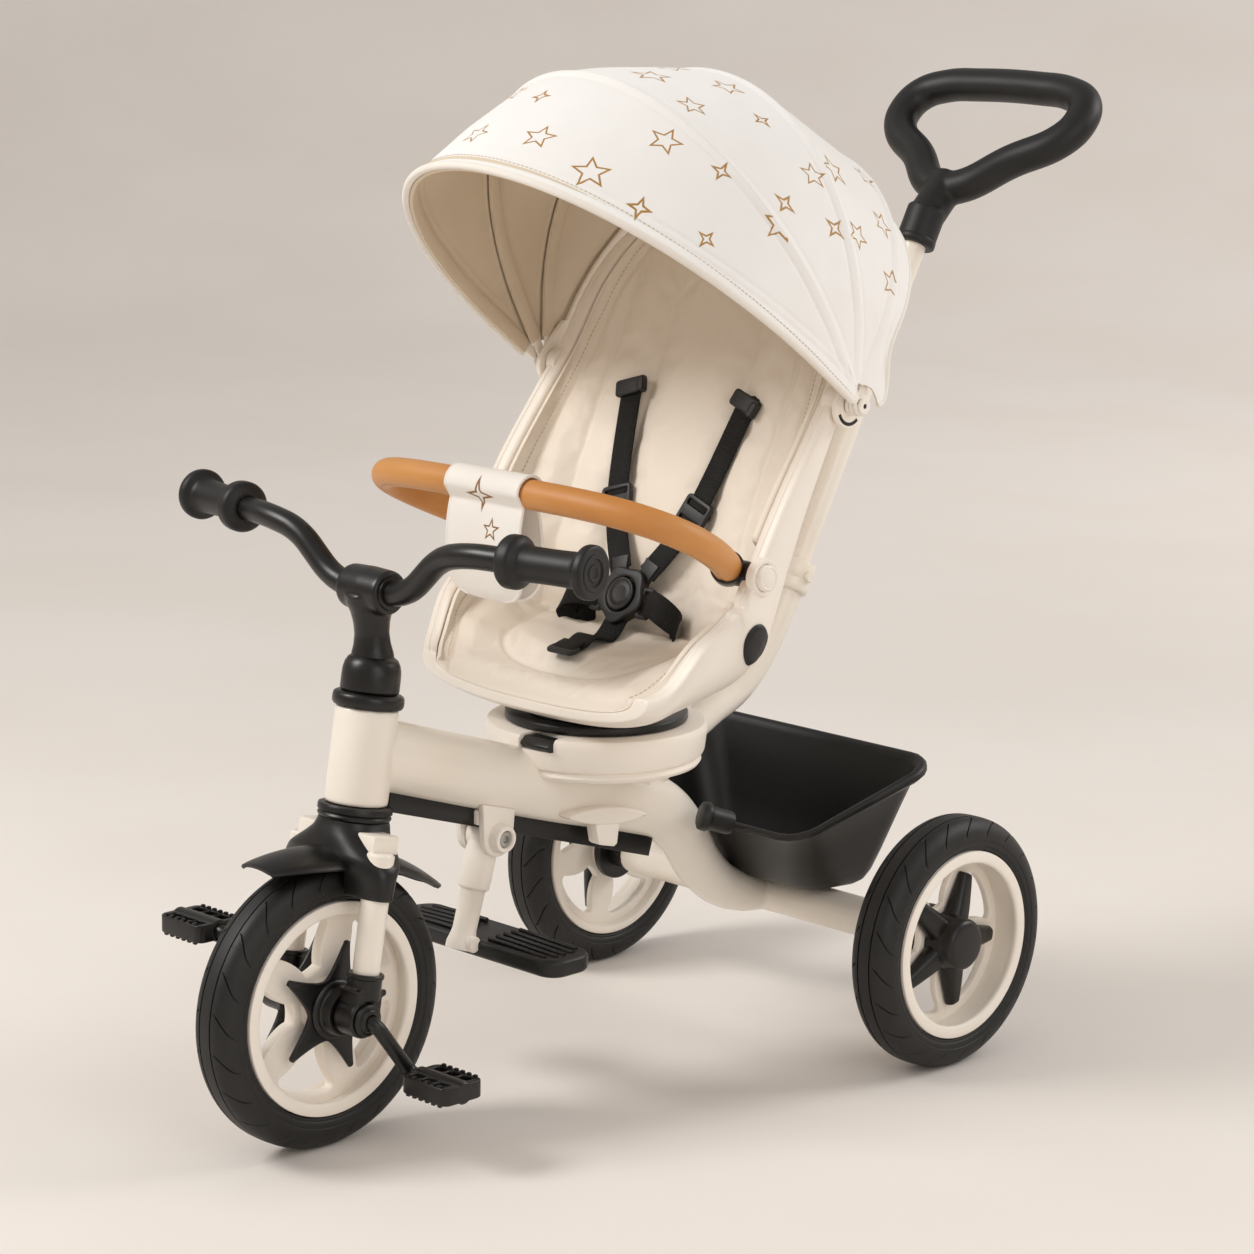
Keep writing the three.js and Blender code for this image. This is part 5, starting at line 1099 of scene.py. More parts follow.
def polar(radius, degrees):
    return radius * math.cos(math.radians(degrees)), radius * math.sin(math.radians(degrees))


def spoke_windows(inner, outer, first):
    """The openings between the spokes: six bent lines each, as (pull, end, steps) in polar places."""
    lines = [
        ((inner + 16, -13), (outer - 5, -25), 7), ((outer, -25), (outer, -19), 3),
        ((outer * 1.05, 0), (outer, 19), 7), ((outer, 25), (outer - 5, 25), 3),
        ((inner + 16, 13), (inner, 14), 7), ((inner - 3, 0), (inner, -14), 5),
    ]
    windows = []
    for k in range(SPOKES):
        middle = first + SPOKE_TURN * (k + 0.5)
        window = [polar(inner, middle - 14)]
        for pull, end, steps in lines:
            places = [polar(radius, middle + degrees) for radius, degrees in (pull, end)]
            window += bent_line(window[-1], *places, steps)
        windows.append(window[:-1])
    return windows


# One half of the barrel: out along its wall, over the lip and down its outer face.
HALF_BARREL = [
    (88, 0), (88, 12), (87.6, 14), (84, 19), (84, 20.8), (85, 22.1), (86.6, 22.5), (94, 22.5), (95.3, 21.9),
    (95.6, 20.4),
]
FRONT_BOSS = [(14.4, 0), (26.6, 0), (26, 7), (24.6, 9), (24, 14.4), (22.6, 16), (14.4, 16)]
DISC_R = 90
front_barrel = turned("front_barrel", HALF_BARREL + sided(-1, reversed(HALF_BARREL)), HUB_MIDDLE, X_AXIS, 128)
front_disc = plate(
    "front_disc", [circle(DISC_R, sides=96), circle(14.4, sides=40), *spoke_windows(36, 80, 83)], -7, 7, 2.4,
    lambda a, b, height: hub(height * (1 - 0.12 * math.hypot(a, b) / DISC_R), a, b), 3)
bosses = [turned("front_boss", sided(side, FRONT_BOSS), HUB_MIDDLE, X_AXIS, 64) for side in (-1, 1)]
front_rim = joined("front_rim_moulded", [front_barrel, front_disc, *bosses])
dress(front_rim, "front_wheel", CREAM_PLASTIC, ("front_rim",), angle=45)
print("front rim faces:", len(front_rim.data.polygons))

# %% [markdown]
# A black star with long hollow-sided points lies on each side of the front wheel, and a stepped hub
# stands on it. The star's outline is an arc pulled in between two points; it is slightly domed.

# %% Front hub and crank


def star_outline(tip, valley, first):
    outline = []
    for k in range(SPOKES):
        here, after = first + SPOKE_TURN * k, first + SPOKE_TURN * (k + 1)
        middle = (here + after) / 2
        start, end, low = polar(tip, here + 2.4), polar(tip, after - 2.4), polar(valley, middle)
        outline += [polar(tip + 0.8, here), start]
        outline += bent_line(start, polar(valley + 2, here + 20), low, 8)
        outline += bent_line(low, polar(valley + 2, after - 20), end, 8)
    return outline


STAR_FOOT, STAR_DOME, DOME_R = 16.4, 3.2, 52
HUB_STEPS = [
    (6.8, 10), (14, 10), (14, 19), (25, 19), (26.4, 20.4), (26.4, 23), (25, 24.4), (22.6, 24.8),
    (22.2, 25.6), (22.2, 27), (21, 27.8), (20.5, 28.6), (20.5, 35.2), (19.2, 37), (6.8, 37),
]


def on_star(side, a, b, height):
    dome = STAR_DOME * max(0, 1 - math.hypot(a, b) / DOME_R) ** 2
    return hub(side * (STAR_FOOT + height + dome), a, b)


hub_pieces = []
for side in (-1, 1):
    hub_pieces.append(plate(
        "star", [star_outline(60, 28.5, 83)], 0, 4, 1.3, lambda a, b, height: on_star(side, a, b, height), 2))
    hub_pieces.append(turned("hub_steps", sided(side, HUB_STEPS), HUB_MIDDLE, X_AXIS, 64))
front_hub = joined("front_hub_stepped", hub_pieces)
dress(front_hub, "front_wheel", BLACK_PLASTIC, ("front_hub",), angle=40)

THROW = 67 * math.sqrt(0.5)
crank_path = []
for side in (-1, 1):
    arm = [hub(side * 73, 0, 0), *(hub(side * x, side * THROW, -side * THROW) for x in (77, 140))]
    crank_path += arm[::-1] if side < 0 else arm
crank = tube("crank_rod", rounded(crank_path, 13, 6), 6.5, sides=7, smooth=2)
NUT_PROFILE = [
    (6.4, 62.4), (13.4, 62.4), (14.2, 63.2), (14.2, 65.4), (13.2, 66.4), (10.6, 66.8), (10, 68.6),
    (8.8, 69.4), (6.4, 69.4),
]
nuts = [turned("crank_nut", sided(side, NUT_PROFILE), HUB_MIDDLE, X_AXIS, 48) for side in (-1, 1)]
crank = joined("crank_axle_forged", [crank, *nuts])
dress(crank, "front_wheel", BLACK_PLASTIC, ("crank_axle",), angle=50)
print("front hub and crank done")

# %% [markdown]
# A pedal is a moulded cage: a rounded frame with a barrel along its middle, ribs across, and a row
# of small teeth on its long edges that hold a shoe.

# %% Pedals
PEDAL_IN, PEDAL_OUT, PEDAL_HALF = 87, 145, 23


def pedal(side, name):
    centre = hub(0, side * THROW, -side * THROW)

    def level(x, y, z):
        return centre + Vector((side * x, y, z)) * MM

    outlines = [rounded_box(PEDAL_IN, PEDAL_OUT, -PEDAL_HALF, PEDAL_HALF, 8)]
    for low, high in ((-18.4, -8.6), (8.6, 18.4)):
        for k in range(3):
            x = PEDAL_IN + 6.5 + k * 15.6
            outlines.append(rounded_box(x, x + 13, low, high, 2))
    cage = plate("pedal_cage", outlines, -8, 8, 1.4, level)
    core = rod("pedal_core", level(PEDAL_IN - 0.4, 0, 0), level(PEDAL_OUT + 0.2, 0, 0), 10, 1.4, 40)
    teeth = []
    for edge in (-20.6, 20.6):
        for k in range(6):
            x = PEDAL_IN + 9 + k * 8
            for way in (-1, 1):
                low, high = level(x - 2, edge - 1.6, way * 7), level(x + 2, edge + 1.6, way * 10)
                low, high = Vector(map(min, low, high)), Vector(map(max, low, high))
                teeth.append(block("pedal_tooth", low, high, 0.8))
    piece = mend(joined(name + "_cage", [cage, core, *teeth]))
    dress(piece, name, BLACK_PLASTIC, (name,), angle=40)


pedal(1, "pedal_left")
pedal(-1, "pedal_right")
print("pedals done")

# %% [markdown]
# The rear wheels are deep dishes. Their hub is a star of five tapered arms with blunt ends under a
# round cap. The right wheel is the left one turned half round, as the same moulding is on the trike.

# %% Rear wheels


def rear(x, a, b):
    """A place round the left rear wheel: x outboard from the wheel's middle."""
    return mm(HALF_TRACK + x, a, REAR_R + b)


REAR_MIDDLE = rear(0, 0, 0)
rear_tyre = tyre("rear_tyre_left_treaded", rear, REAR_R, 30)
rear_barrel = turned("rear_barrel", [
    (80.6, 13), (79.4, 15.2), (78, 18.8), (78, 20.8), (79, 22.1), (80.6, 22.5), (88, 22.5), (89.3, 21.9),
    (89.6, 20.4), (89.6, -20.4), (89.2, -21.8), (88, -22.5), (83, -22.5), (81.8, -21.6),
    (81, -18), (80.6, -14),
], REAR_MIDDLE, X_AXIS, 128)
rear_disc = plate(
    "rear_disc", [circle(84, sides=96), circle(17.4, sides=40), *spoke_windows(34, 72, 66)], -14, -6, 2.2,
    lambda a, b, height: rear(height, a, b), 3)
rear_boss = turned("rear_boss", [
    (17.4, -19), (24, -19), (25, -18), (26, -13), (26, -8), (25, -6), (17.4, -6),
], REAR_MIDDLE, X_AXIS, 64)
rear_rim = joined("rear_rim_left_moulded", [rear_barrel, rear_disc, rear_boss])

ARM_ENDS = [(8, 14, 14), (30, 12.4, 11.5), (52, 9.6, 7), (66, 7.4, 3.6)]  # distance out, half width, top
ARM_LOW, ARM_STEPS = -5.6, 12


def hub_arm(number):
    """One arm of the star; its first and last rings are drawn in to a point, which closes the ends."""
    turn = math.radians(66 + SPOKE_TURN * number)

    def on_arm(around, along):
        step = round(along * ARM_STEPS)
        full = 0 if step in (0, ARM_STEPS) else 1
        reach, half_width, top = blended(ARM_ENDS, (along - 1 / 12) / (10 / 12))
        angle = math.tau * around
        across, up = powered(math.cos(angle), 0.5), powered(math.sin(angle), 0.5)
        x = (top + ARM_LOW) / 2 + (top - ARM_LOW) / 2 * up * full
        side = half_width * across * (1 - 0.3 * max(0, up)) * full
        a = reach * math.cos(turn) - side * math.sin(turn)
        b = reach * math.sin(turn) + side * math.cos(turn)
        return rear(x, a, b)

    return soften(close_ends(surface("rear_arm", 32, ARM_STEPS, on_arm, wrap=True)), 1.6, 3, 50)


rear_pieces = [hub_arm(k) for k in range(SPOKES)]
rear_pieces.append(turned("rear_cap", [
    (6.4, 11.5), (0, 11.5), (0, 25.6), (18.6, 25.4), (21.4, 24.6), (23.4, 22.8), (24.5, 20), (24.5, 13),
    (25.6, 11.4), (26.4, 9), (26.4, -5), (17, -5), (17, -45), (14, -46), (6.4, -46),
], REAR_MIDDLE, X_AXIS, 64))
rear_pieces.append(turned("rear_flange", [
    (17, -28), (28.6, -28), (30, -26.6), (30, -21), (28.8, -19.4), (17, -19.4),
], REAR_MIDDLE, X_AXIS, 64))
rear_hub = joined("rear_hub_left_star", rear_pieces)

to_axle = Matrix.Translation((0, AXLE_Y, 0))
half_turn = to_axle @ Matrix.Rotation(math.pi, 4, "Z") @ to_axle.inverted()
for piece, node, finish in ((rear_tyre, "rear_tyre", TYRE_RUBBER), (rear_rim, "rear_rim", CREAM_PLASTIC),
                            (rear_hub, "rear_hub", BLACK_PLASTIC)):
    twin = copied(piece, piece.name.replace("left", "right"))
    twin.data.transform(half_turn)
    dress(piece, "rear_wheel_left", finish, (node + "_left",), angle=42)
    dress(twin, "rear_wheel_right", finish, (node + "_right",), angle=42)
print("rear wheels done")

# %% [markdown]
# Under the tube hangs a folding footrest: a cream bracket with a dark screw, a knuckle and a leg
# that carries a thick black plate. The plate's ridges are rounded bars, set into its top.

# %% Footrest
FOOT_Y, FOOT_Z = -380, 245
FOOT_HINGE = mm(0, FOOT_Y, FOOT_Z)
LEG_DIR = Vector((0, -math.sin(math.radians(15.9)), -math.cos(math.radians(15.9))))


def on_leg(distance, x):
    """A place beside the footrest's leg, at a distance from its hinge."""
    return mm(x, FOOT_Y, FOOT_Z) + LEG_DIR * distance * MM


def round_ear(outline, a, b):
    """Puts the points of an ear's outline in order round a place inside it."""
    return sorted(outline, key=lambda p: math.atan2(p[1] - b, p[0] - a))


cheeks = []
foot_round = [(a, b) for a, b in circle(18, FOOT_Y, FOOT_Z, 40) if b <= FOOT_Z + 2]
cheek = round_ear(foot_round + [(FOOT_Y - 20, 279), (FOOT_Y + 20, 268)], FOOT_Y, 256)
for side in (-1, 1):
    cheeks.append(plate("cheek", [cheek], 11.5, 19, 1.6, lambda a, b, height: mm(side * height, a, b), 2))
bridge = block("cheek_bridge", mm(-12, -400, 258), mm(12, -360, 272), 2)
knob = turned("footrest_knob", [
    (0, 11), (13, 11), (13.4, 19), (13, 26), (11.6, 28.6), (8.6, 29), (8, 28), (8, 24), (0, 24),
], FOOT_HINGE, X_AXIS, 48)
bracket = joined("footrest_bracket_moulded", [*cheeks, bridge, knob])
dress(bracket, "frame", CREAM_PLASTIC, ("footrest_bracket",), angle=40)
screw = turned("footrest_screw", [
    (0, 23.6), (7.6, 23.6), (7.6, 26), (6.6, 27.4), (3.4, 27.6), (3.2, 25.4), (0, 25.4),
], FOOT_HINGE, X_AXIS, 40)
dress(screw, "frame", STEEL, angle=30)

heel = rod("footrest_heel", mm(-11, FOOT_Y, FOOT_Z), mm(11, FOOT_Y, FOOT_Z), 15.4, 2, 48)
upper_leg = turned("footrest_upper", [
    (0, 2), (13.6, 2), (14.4, 18), (14.6, 22), (14.6, 48), (13.8, 50), (12, 51), (11.2, 52),
    (11, 88), (12.2, 94), (14, 100), (14, 106), (0, 106),
], FOOT_HINGE, LEG_DIR, 48)
foot_clip = rod("footrest_clip", on_leg(99, 9), on_leg(99, 18), 7.4, 1.2, 32)
leg = joined("footrest_leg_moulded", [upper_leg, heel, foot_clip])
dress(leg, "footrest", CREAM_PLASTIC, ("footrest_leg",), angle=45)

FOOT_HALF, FOOT_SAG, RIDGES = 112, 3.2, 5


def on_foot_plate(x, y, z):
    """The plate's ends droop a little."""
    return mm(x, y, z - FOOT_SAG * (x / FOOT_HALF) ** 2)


slab_outline = rounded_box(-FOOT_HALF, FOOT_HALF, -404, -346, 20, 8)
slab = plate("footrest_slab", [slab_outline], 139, 155.4, 4.6, on_foot_plate, 4)
ridges = []
for k in range(RIDGES):
    outer = 95 if k in (0, RIDGES - 1) else 100
    for low, high in ((-outer, -22), (22, outer)):
        places = [on_foot_plate(low + (high - low) * n / 6, -394 + 9.6 * k, 154.8) for n in range(7)]
        ridges.append(tube("footrest_ridge", places, 2.1, sides=4, smooth=3))
foot_plate = joined("footrest_plate_ridged", [slab, *ridges])
dress(foot_plate, "footrest", BLACK_GRAIN, ("footrest_plate",), angle=40)
print("footrest done")

# %% [markdown]
# The turntable is a flat disc that the seat turns on; the seat's pin goes through a saddle on it.
# A turned disc, a bar and a pin show what is seen of it under the seat.

# %% Turntable
HINGE_Y, HINGE_Z = -225, 342
table_top = TURN_Z + 8.4
table = turned("turntable_disc", [
    (0, 314), (19.6, 314), (20, 315), (20, 332.4), (82.6, 332.4), (84.4, 333), (85, 334.4),
    (85, 338.6), (84.2, 340),
    (82.6, table_top), (70, table_top), (69, 339.6), (66, 339.6), (65, table_top), (0, table_top),
], TURN_FOOT, Z_AXIS, 96)
saddle_bar, pin = (
    cross_rod(name, lambda x, y, z: mm(x, HINGE_Y + y, HINGE_Z + z), half, radius, edge)
    for name, half, radius, edge in (("turntable_bar", 30, 6.5, 0.8), ("turntable_pin", 44, 4, 0.5)))
table = joined("turntable_moulded", [table, saddle_bar, pin])
dress(table, "turntable", BLACK_PLASTIC, ("turntable",))

# %% [markdown]
# The seat is a bucket: a trough whose floor, sides and lean change along its length. Fifteen
# stations hold those numbers, and every part of the seat is laid on them: shell, lining, seams,
# stitches and straps. A change to a station moves them all.

# %% Seat stations
SEAT_ROWS = [  # Y, Z, lean of the inward direction, half width, height of the side wing, padded height
    (-331, 353, -14, 146, 29, 16), (-312, 344.5, -7, 162, 47, 36), (-280, 344, 0, 174, 82, 48),
    (-236, 351, 8, 182, 100, 46), (-196, 362, 28, 186, 108, 44), (-164, 391, 48, 188, 104, 40),
    (-146, 427, 62, 188, 102, 38), (-134, 470, 69, 188, 91, 37), (-115, 528, 69.5, 187, 76, 36),
    (-94, 588, 70, 185, 57, 34), (-76, 640, 70, 181, 41, 32), (-56, 700, 70, 171, 33, 28),
    (-39, 748, 70, 146, 26, 24), (-29, 776, 70, 100, 20, 18), (-26, 785, 70, 62, 17, 14),
]
WING_POWER, PAD_POWER = 2.6, 2.2
SHELL_RIM, SHELL_WALL = 18, 9


def station(number):
    """The share of the seat's length at a station, or between two of them."""
    return number / (len(SEAT_ROWS) - 1)


def leaning(degrees):
    """Direction that leans from straight up towards the front."""
    return Vector((0, -math.sin(math.radians(degrees)), math.cos(math.radians(degrees))))


def seat_place(share, x, height):
    """A place of the seat: a share of its length, across, and a height above the shell's outside."""
    y, z, lean = blended(SEAT_ROWS, share)[:3]
    return mm(x, y, z) + leaning(lean) * height * MM


def trough(x, half, floor, top, power):
    """Height of a trough's surface at a distance from its middle."""
    reach = min(1, abs(x) / half)
    return floor + (top - floor) * (1 - (1 - reach ** power) ** (1 / power))


def even_across(half, power, steps):
    """Places across a trough that lie closer where its sides grow steep."""
    return [half * math.copysign(abs(math.sin(s)) ** (2 / power), s)
            for s in (math.pi * (k / steps - 0.5) for k in range(steps + 1))]


PATH_STEPS, PATH_HEIGHT = 200, 30
path_mm = [0.0]
for k in range(PATH_STEPS):
    step = seat_place((k + 1) / PATH_STEPS, 0, PATH_HEIGHT) - seat_place(k / PATH_STEPS, 0, PATH_HEIGHT)
    path_mm.append(path_mm[-1] + step.length / MM)
SEAT_LENGTH = path_mm[-1]


def along_seat(share):
    """Millimetres from the front lip along the padding's middle."""
    place = min(max(share, 0), 1) * PATH_STEPS
    index = min(int(place), PATH_STEPS - 1)
    return path_mm[index] + (path_mm[index + 1] - path_mm[index]) * (place - index)


print("seat length along its padding:", round(SEAT_LENGTH), "mm")

# %% [markdown]
# The shell is one closed skin: down the outside, over a broad rim and back along the inside. The rim
# has a fine line moulded into it. The last few rings at either end are drawn in, which rounds it.

# %% Seat shell
RIM_PROFILE = [  # in from the outer edge, above the wing's height
    (0.3, 0.9), (1.5, 2.1), (3.6, 2.8), (7, 3), (7.6, 2.2), (8.8, 2.2), (9.4, 3), (13.6, 2.8), (16.4, 1.9),
    (17.6, 1),
]


def trough_line(half, floor, top):
    """Places across the shell's section, from one side to the other."""
    return [(x, trough(x, half, floor, top, WING_POWER)) for x in even_across(half, WING_POWER, 48)]


def shell_ring(share, inset):
    """The shell's closed section, drawn in by the inset."""
    half, wing = (value - inset for value in blended(SEAT_ROWS, share)[3:5])
    rim = [(half - inwards * (1 - inset / SHELL_WALL), wing + lift) for inwards, lift in RIM_PROFILE]
    inner = trough_line(half - SHELL_RIM + 2 * inset, SHELL_WALL - inset, wing + 0.5)
    section = trough_line(half, inset, wing) + rim + inner[::-1]
    section += [(-x, height) for x, height in reversed(rim)]
    return [seat_place(share, x, height) for x, height in section]


# Shares of the length from either end, with how far the shell is drawn in there.
ROUNDED_END = [(0, 3.0), (0.0006, 1.9), (0.002, 1.0), (0.0048, 0.3), (0.008, 0.0)]
shell_shares = ROUNDED_END + [(0.012 + 0.976 * k / 90, 0) for k in range(91)]
shell_shares += [(1 - share, inset) for share, inset in reversed(ROUNDED_END)]
shell = close_ends(skin("seat_shell_moulded", [shell_ring(*row) for row in shell_shares]))
split_ends(shell)
BUTTON_Y, BUTTON_Z, HOLE_R = -221, 488, 12.4
PIVOT_Y, PIVOT_Z = -118, 634
BUTTON_MIDDLE, PIVOT = mm(0, BUTTON_Y, BUTTON_Z), mm(0, PIVOT_Y, PIVOT_Z)
CANOPY_BOSS = [(0, 172), (15, 172), (14, 180), (13, 185.6), (11.6, 187.1), (0, 187.1)]
BEZEL = [(HOLE_R, 182), (17.6, 182), (17.2, 188.4), (15.8, 190), (13.4, 190), (HOLE_R, 189.2)]
EAR_X, EAR_HALF = 35, 4.5
ear_round = [(a, b) for a, b in circle(8, HINGE_Y, HINGE_Z, 32) if b <= HINGE_Z]
ear = round_ear(ear_round + [(HINGE_Y + 8, 362), (HINGE_Y - 8, 362)], HINGE_Y, 350)
for side in (-1, 1):
    inner, outer = (mm(side * x, BUTTON_Y, BUTTON_Z) for x in (150, 205))
    shell = carved(shell, rod("button_hole", inner, outer, HOLE_R, 0.1, 48))
fittings = []
for side in (-1, 1):
    fittings.append(turned("canopy_boss", sided(side, CANOPY_BOSS), PIVOT, X_AXIS, 48))
    fittings.append(turned("button_bezel", sided(side, BEZEL), BUTTON_MIDDLE, X_AXIS, 56))
    ear_x = side * EAR_X
    fittings.append(plate("seat_ear", [ear], ear_x - EAR_HALF, ear_x + EAR_HALF, 0.8, side_on))
shell = joined("seat_shell_moulded", [shell, *fittings])
dress(shell, "seat", CREAM_PLASTIC, ("seat_shell",), angle=40)
print("seat shell faces:", len(shell.data.polygons))

# %% [markdown]
# The lining is smooth imitation leather, the webbing is ribbed tape and the bumper bar is wrapped
# in tan leather. Their relief is what tells them apart: pebbles, ribs across the tape, fine grain.

# %% Leather, thread and webbing


def leatherette(name, light, dark, roughness, pebble_scale, depth):
    """Two close colours, a pebbled relief and slow wear in the gloss."""
    recipe = Recipe(name)
    pebble = recipe.node("ShaderNodeTexVoronoi", {"feature": "SMOOTH_F1"},
                         {"Vector": recipe.place(), "Scale": pebble_scale})
    cloud = recipe.noise(7, 5.0)
    fine = recipe.noise(2400, 2.0)
    colour = recipe.mix(cloud.between(0.3, 0.72), light, dark)
    rough = roughness + (cloud - 0.5) * 0.14 + pebble * 0.06
    return recipe.finish({"IOR": 1.46}, colour, rough, pebble + fine * 0.4, depth)


SEAT_LEATHER = leatherette(
    "seat_leatherette", linear(244, 235, 222), linear(240, 229, 214), 0.52, 1100.0, 0.00012)
TAN_LEATHER = leatherette("bumper_leather", linear(211, 148, 82), linear(196, 130, 66), 0.42, 1500.0, 0.00014)
PIPING = leatherette("piping", linear(247, 243, 236), linear(242, 236, 227), 0.6, 2000.0, 0.0001)
THREAD = moulded("thread", linear(214, 194, 165), linear(196, 174, 144), 0.7, 3000, 0.00008)


def webbing():
    """Ribs lie across the tape; close rows of thread run along it."""
    recipe = Recipe("ribbed_webbing")
    across, along = recipe.flat_place()
    rib = (along * (math.tau / 0.0021)).math("SINE")
    row = (across * (math.tau / 0.0012)).math("SINE")
    cloud = recipe.noise(30, 3.0)
    relief = rib * 0.5 + row * 0.12 + recipe.noise(1600, 2.0) * 0.4
    # The colour follows the ribs: lighter on their crests and darker between them, which is painted shade in
    # the grooves.
    colour = recipe.mix(rib.between(-0.8, 0.9), linear(9, 9, 8), linear(24, 23, 22))
    return recipe.finish({"IOR": 1.4}, colour, 0.62 + cloud * 0.2, relief, 0.0004)


WEBBING = webbing()
print("soft finishes ready")

# %% [markdown]
# The canopy's cloth is white with thin gold stars. A star is drawn by folding its equal sectors on
# top of each other, which leaves one straight edge to measure from. A brick pattern of squares gives
# every star its own zero place, kind, turn and size, so that no two neighbours look alike.

# %% Star cloth


WEAVE_PITCH = 0.0011


def woven(across, along):
    """The relief of a plain weave."""
    return (across * (math.tau / WEAVE_PITCH)).math("SINE") * (along * (math.tau / WEAVE_PITCH)).math("SINE")


def star_line(across, along, points, tip, valley, line):
    """1 on a star's outline round the zero place; its tips, valleys and line width are in metres."""
    sector = math.tau / points
    radius = (across * across + along * along).math("SQRT")
    turn = along.math("ARCTAN2", across) / sector
    folded = abs((turn + 0.5).math("FLOORED_MODULO", 1.0) - 0.5) * sector
    low, high = valley * math.cos(sector / 2), valley * math.sin(sector / 2)
    edge = math.hypot(tip - low, high)
    off = (radius * folded.math("COSINE") - tip) * (high / edge)
    off = off + radius * folded.math("SINE") * ((tip - low) / edge)
    return 1.0 - abs(off).between(line * 0.3, line * 0.7)


STAR_PITCH, PANEL_JUMP = 0.066, 0.66  # one brick, and the distance kept between panels in the UV map


def own_square(recipe, across, along, pitch):
    """A place in its own brick, turned at random, two random numbers and the brick's middle."""
    row = (along / pitch).math("FLOOR")
    column_place = across / pitch + (row * 0.5).math("FRACT")
    column = column_place.math("FLOOR")
    seed = recipe.node("ShaderNodeCombineXYZ", values=(column, row, 3.0))
    dice = recipe.node("ShaderNodeTexWhiteNoise", {"noise_dimensions": "3D"}, {"Vector": seed}, output=1)
    first = recipe.node("ShaderNodeSeparateColor", values=(dice,))
    second, third = (Wire(recipe, first.socket.node.outputs[k]) for k in (1, 2))
    kind = recipe.node("ShaderNodeTexWhiteNoise", {"noise_dimensions": "3D"}, {"Vector": seed})
    a = (column_place - column - 0.5 + (first - 0.5) * 0.3) * pitch
    b = (along / pitch - row - 0.5 + (second - 0.5) * 0.3) * pitch
    turn = (third - 0.5) * 1.1
    cosine, sine = turn.math("COSINE"), turn.math("SINE")
    middle = ((column + 0.5) * pitch, (row + 0.5) * pitch)
    return a * cosine + b * sine, b * cosine - a * sine, kind, third, *middle


# Points, then distance of the tips and of the valleys from the middle and the line's width, in metres.
CANOPY_STAR, CANOPY_SPARK = (5, 0.0148, 0.0066, 0.0016), (4, 0.0088, 0.0032, 0.0018)
FLAP_STAR, FLAP_SPARK = (4, 0.0145, 0.0044, 0.0021), (5, 0.0092, 0.0038, 0.0014)


def star_cloth():
    """Rows of stars keep to the middle of each panel, so that none is cut by a seam."""
    recipe = Recipe("star_cloth")
    across, along = recipe.flat_place()
    a, b, kind, size, column, row = own_square(recipe, across, along, STAR_PITCH)
    grow = 1.12 - size * 0.3
    stars = star_line(a * grow, b * grow, *CANOPY_STAR) * (kind > 0.52)
    grow = 1.35 - size * 0.55
    sparks = star_line(a * grow, b * grow, *CANOPY_SPARK) * (kind < 0.52) * (kind > 0.1)
    turn_back = (row / PANEL_JUMP).math("ROUND") * PANEL_JUMP
    room = ((0.43 - abs(column)) * 0.27).math("MINIMUM", 0.078)
    gold = (stars + sparks) * ((abs(row - turn_back) + 0.017) < room)
    gold = gold * (recipe.noise(700, 2.0).between(0.2, 0.42) * 0.4 + 0.6)
    weave = woven(across, along)
    cloud = recipe.noise(6, 4.0)
    white = recipe.mix(cloud.between(0.3, 0.7), linear(252, 251, 249), linear(248, 246, 243))
    colour = recipe.mix(gold, white, linear(178, 130, 52))
    rough = 0.72 - gold * 0.34 + (cloud - 0.5) * 0.1
    relief = weave * 0.5 + gold * 0.8
    return recipe.finish({"IOR": 1.4}, colour, rough, relief, 0.00012)


def flap_cloth():
    """One four-point star and one small five-point star, each at a given place."""
    recipe = Recipe("flap_cloth")
    across, along = recipe.flat_place()
    star = star_line(across + 0.003, along - 0.158, *FLAP_STAR)
    spark = star_line(-(along - 0.19), across - 0.013, *FLAP_SPARK)
    gold = star.math("MAXIMUM", spark)
    weave = woven(across, along)
    cloud = recipe.noise(9, 4.0)
    white = recipe.mix(cloud.between(0.3, 0.7), linear(248, 244, 238), linear(243, 237, 229))
    colour = recipe.mix(gold, white, linear(140, 96, 40))
    rough = 0.7 - gold * 0.3 + (cloud - 0.5) * 0.1
    relief = weave * 0.5 + gold
    return recipe.finish({"IOR": 1.4}, colour, rough, relief, 0.00012)


STAR_CLOTH, FLAP_CLOTH = star_cloth(), flap_cloth()
LINING_CLOTH = leatherette("lining_cloth", linear(226, 212, 191), linear(219, 203, 180), 0.78, 2200.0, 0.0001)
print("star cloth ready")

# %% [markdown]
# The lining is one padded skin: flat underneath against the shell and crowned on top. Its seams are
# a stitched line all round inside the rim, a rounded line on the cushion, four channels up the
# back and the crease where cushion meets back. The seams sink, the cover between them swells.

# %% Padded lining
LINER_EDGE = 0.4
CREASE = along_seat(station(4.75))
SEAM_IN = 23
CHANNELS = (58, 116)
CUSHION_MIDDLE, CUSHION_DEEP, CUSHION_WIDE = 112, 84, 104


def liner_half(share):
    return blended(SEAT_ROWS, share)[3] - SHELL_RIM - LINER_EDGE


def pad_height(share, x):
    wing, padded = blended(SEAT_ROWS, share)[4:6]
    return trough(x, liner_half(share), padded, wing + 4, PAD_POWER)


def over_pad(number, x, gap):
    """A place over the padding: at a station, across, and a gap."""
    share = station(number)
    return seat_place(share, x, pad_height(share, x) + gap)


ROW_STEPS, LINER_ROWS, LINER_COLUMNS = 120, 150, 112


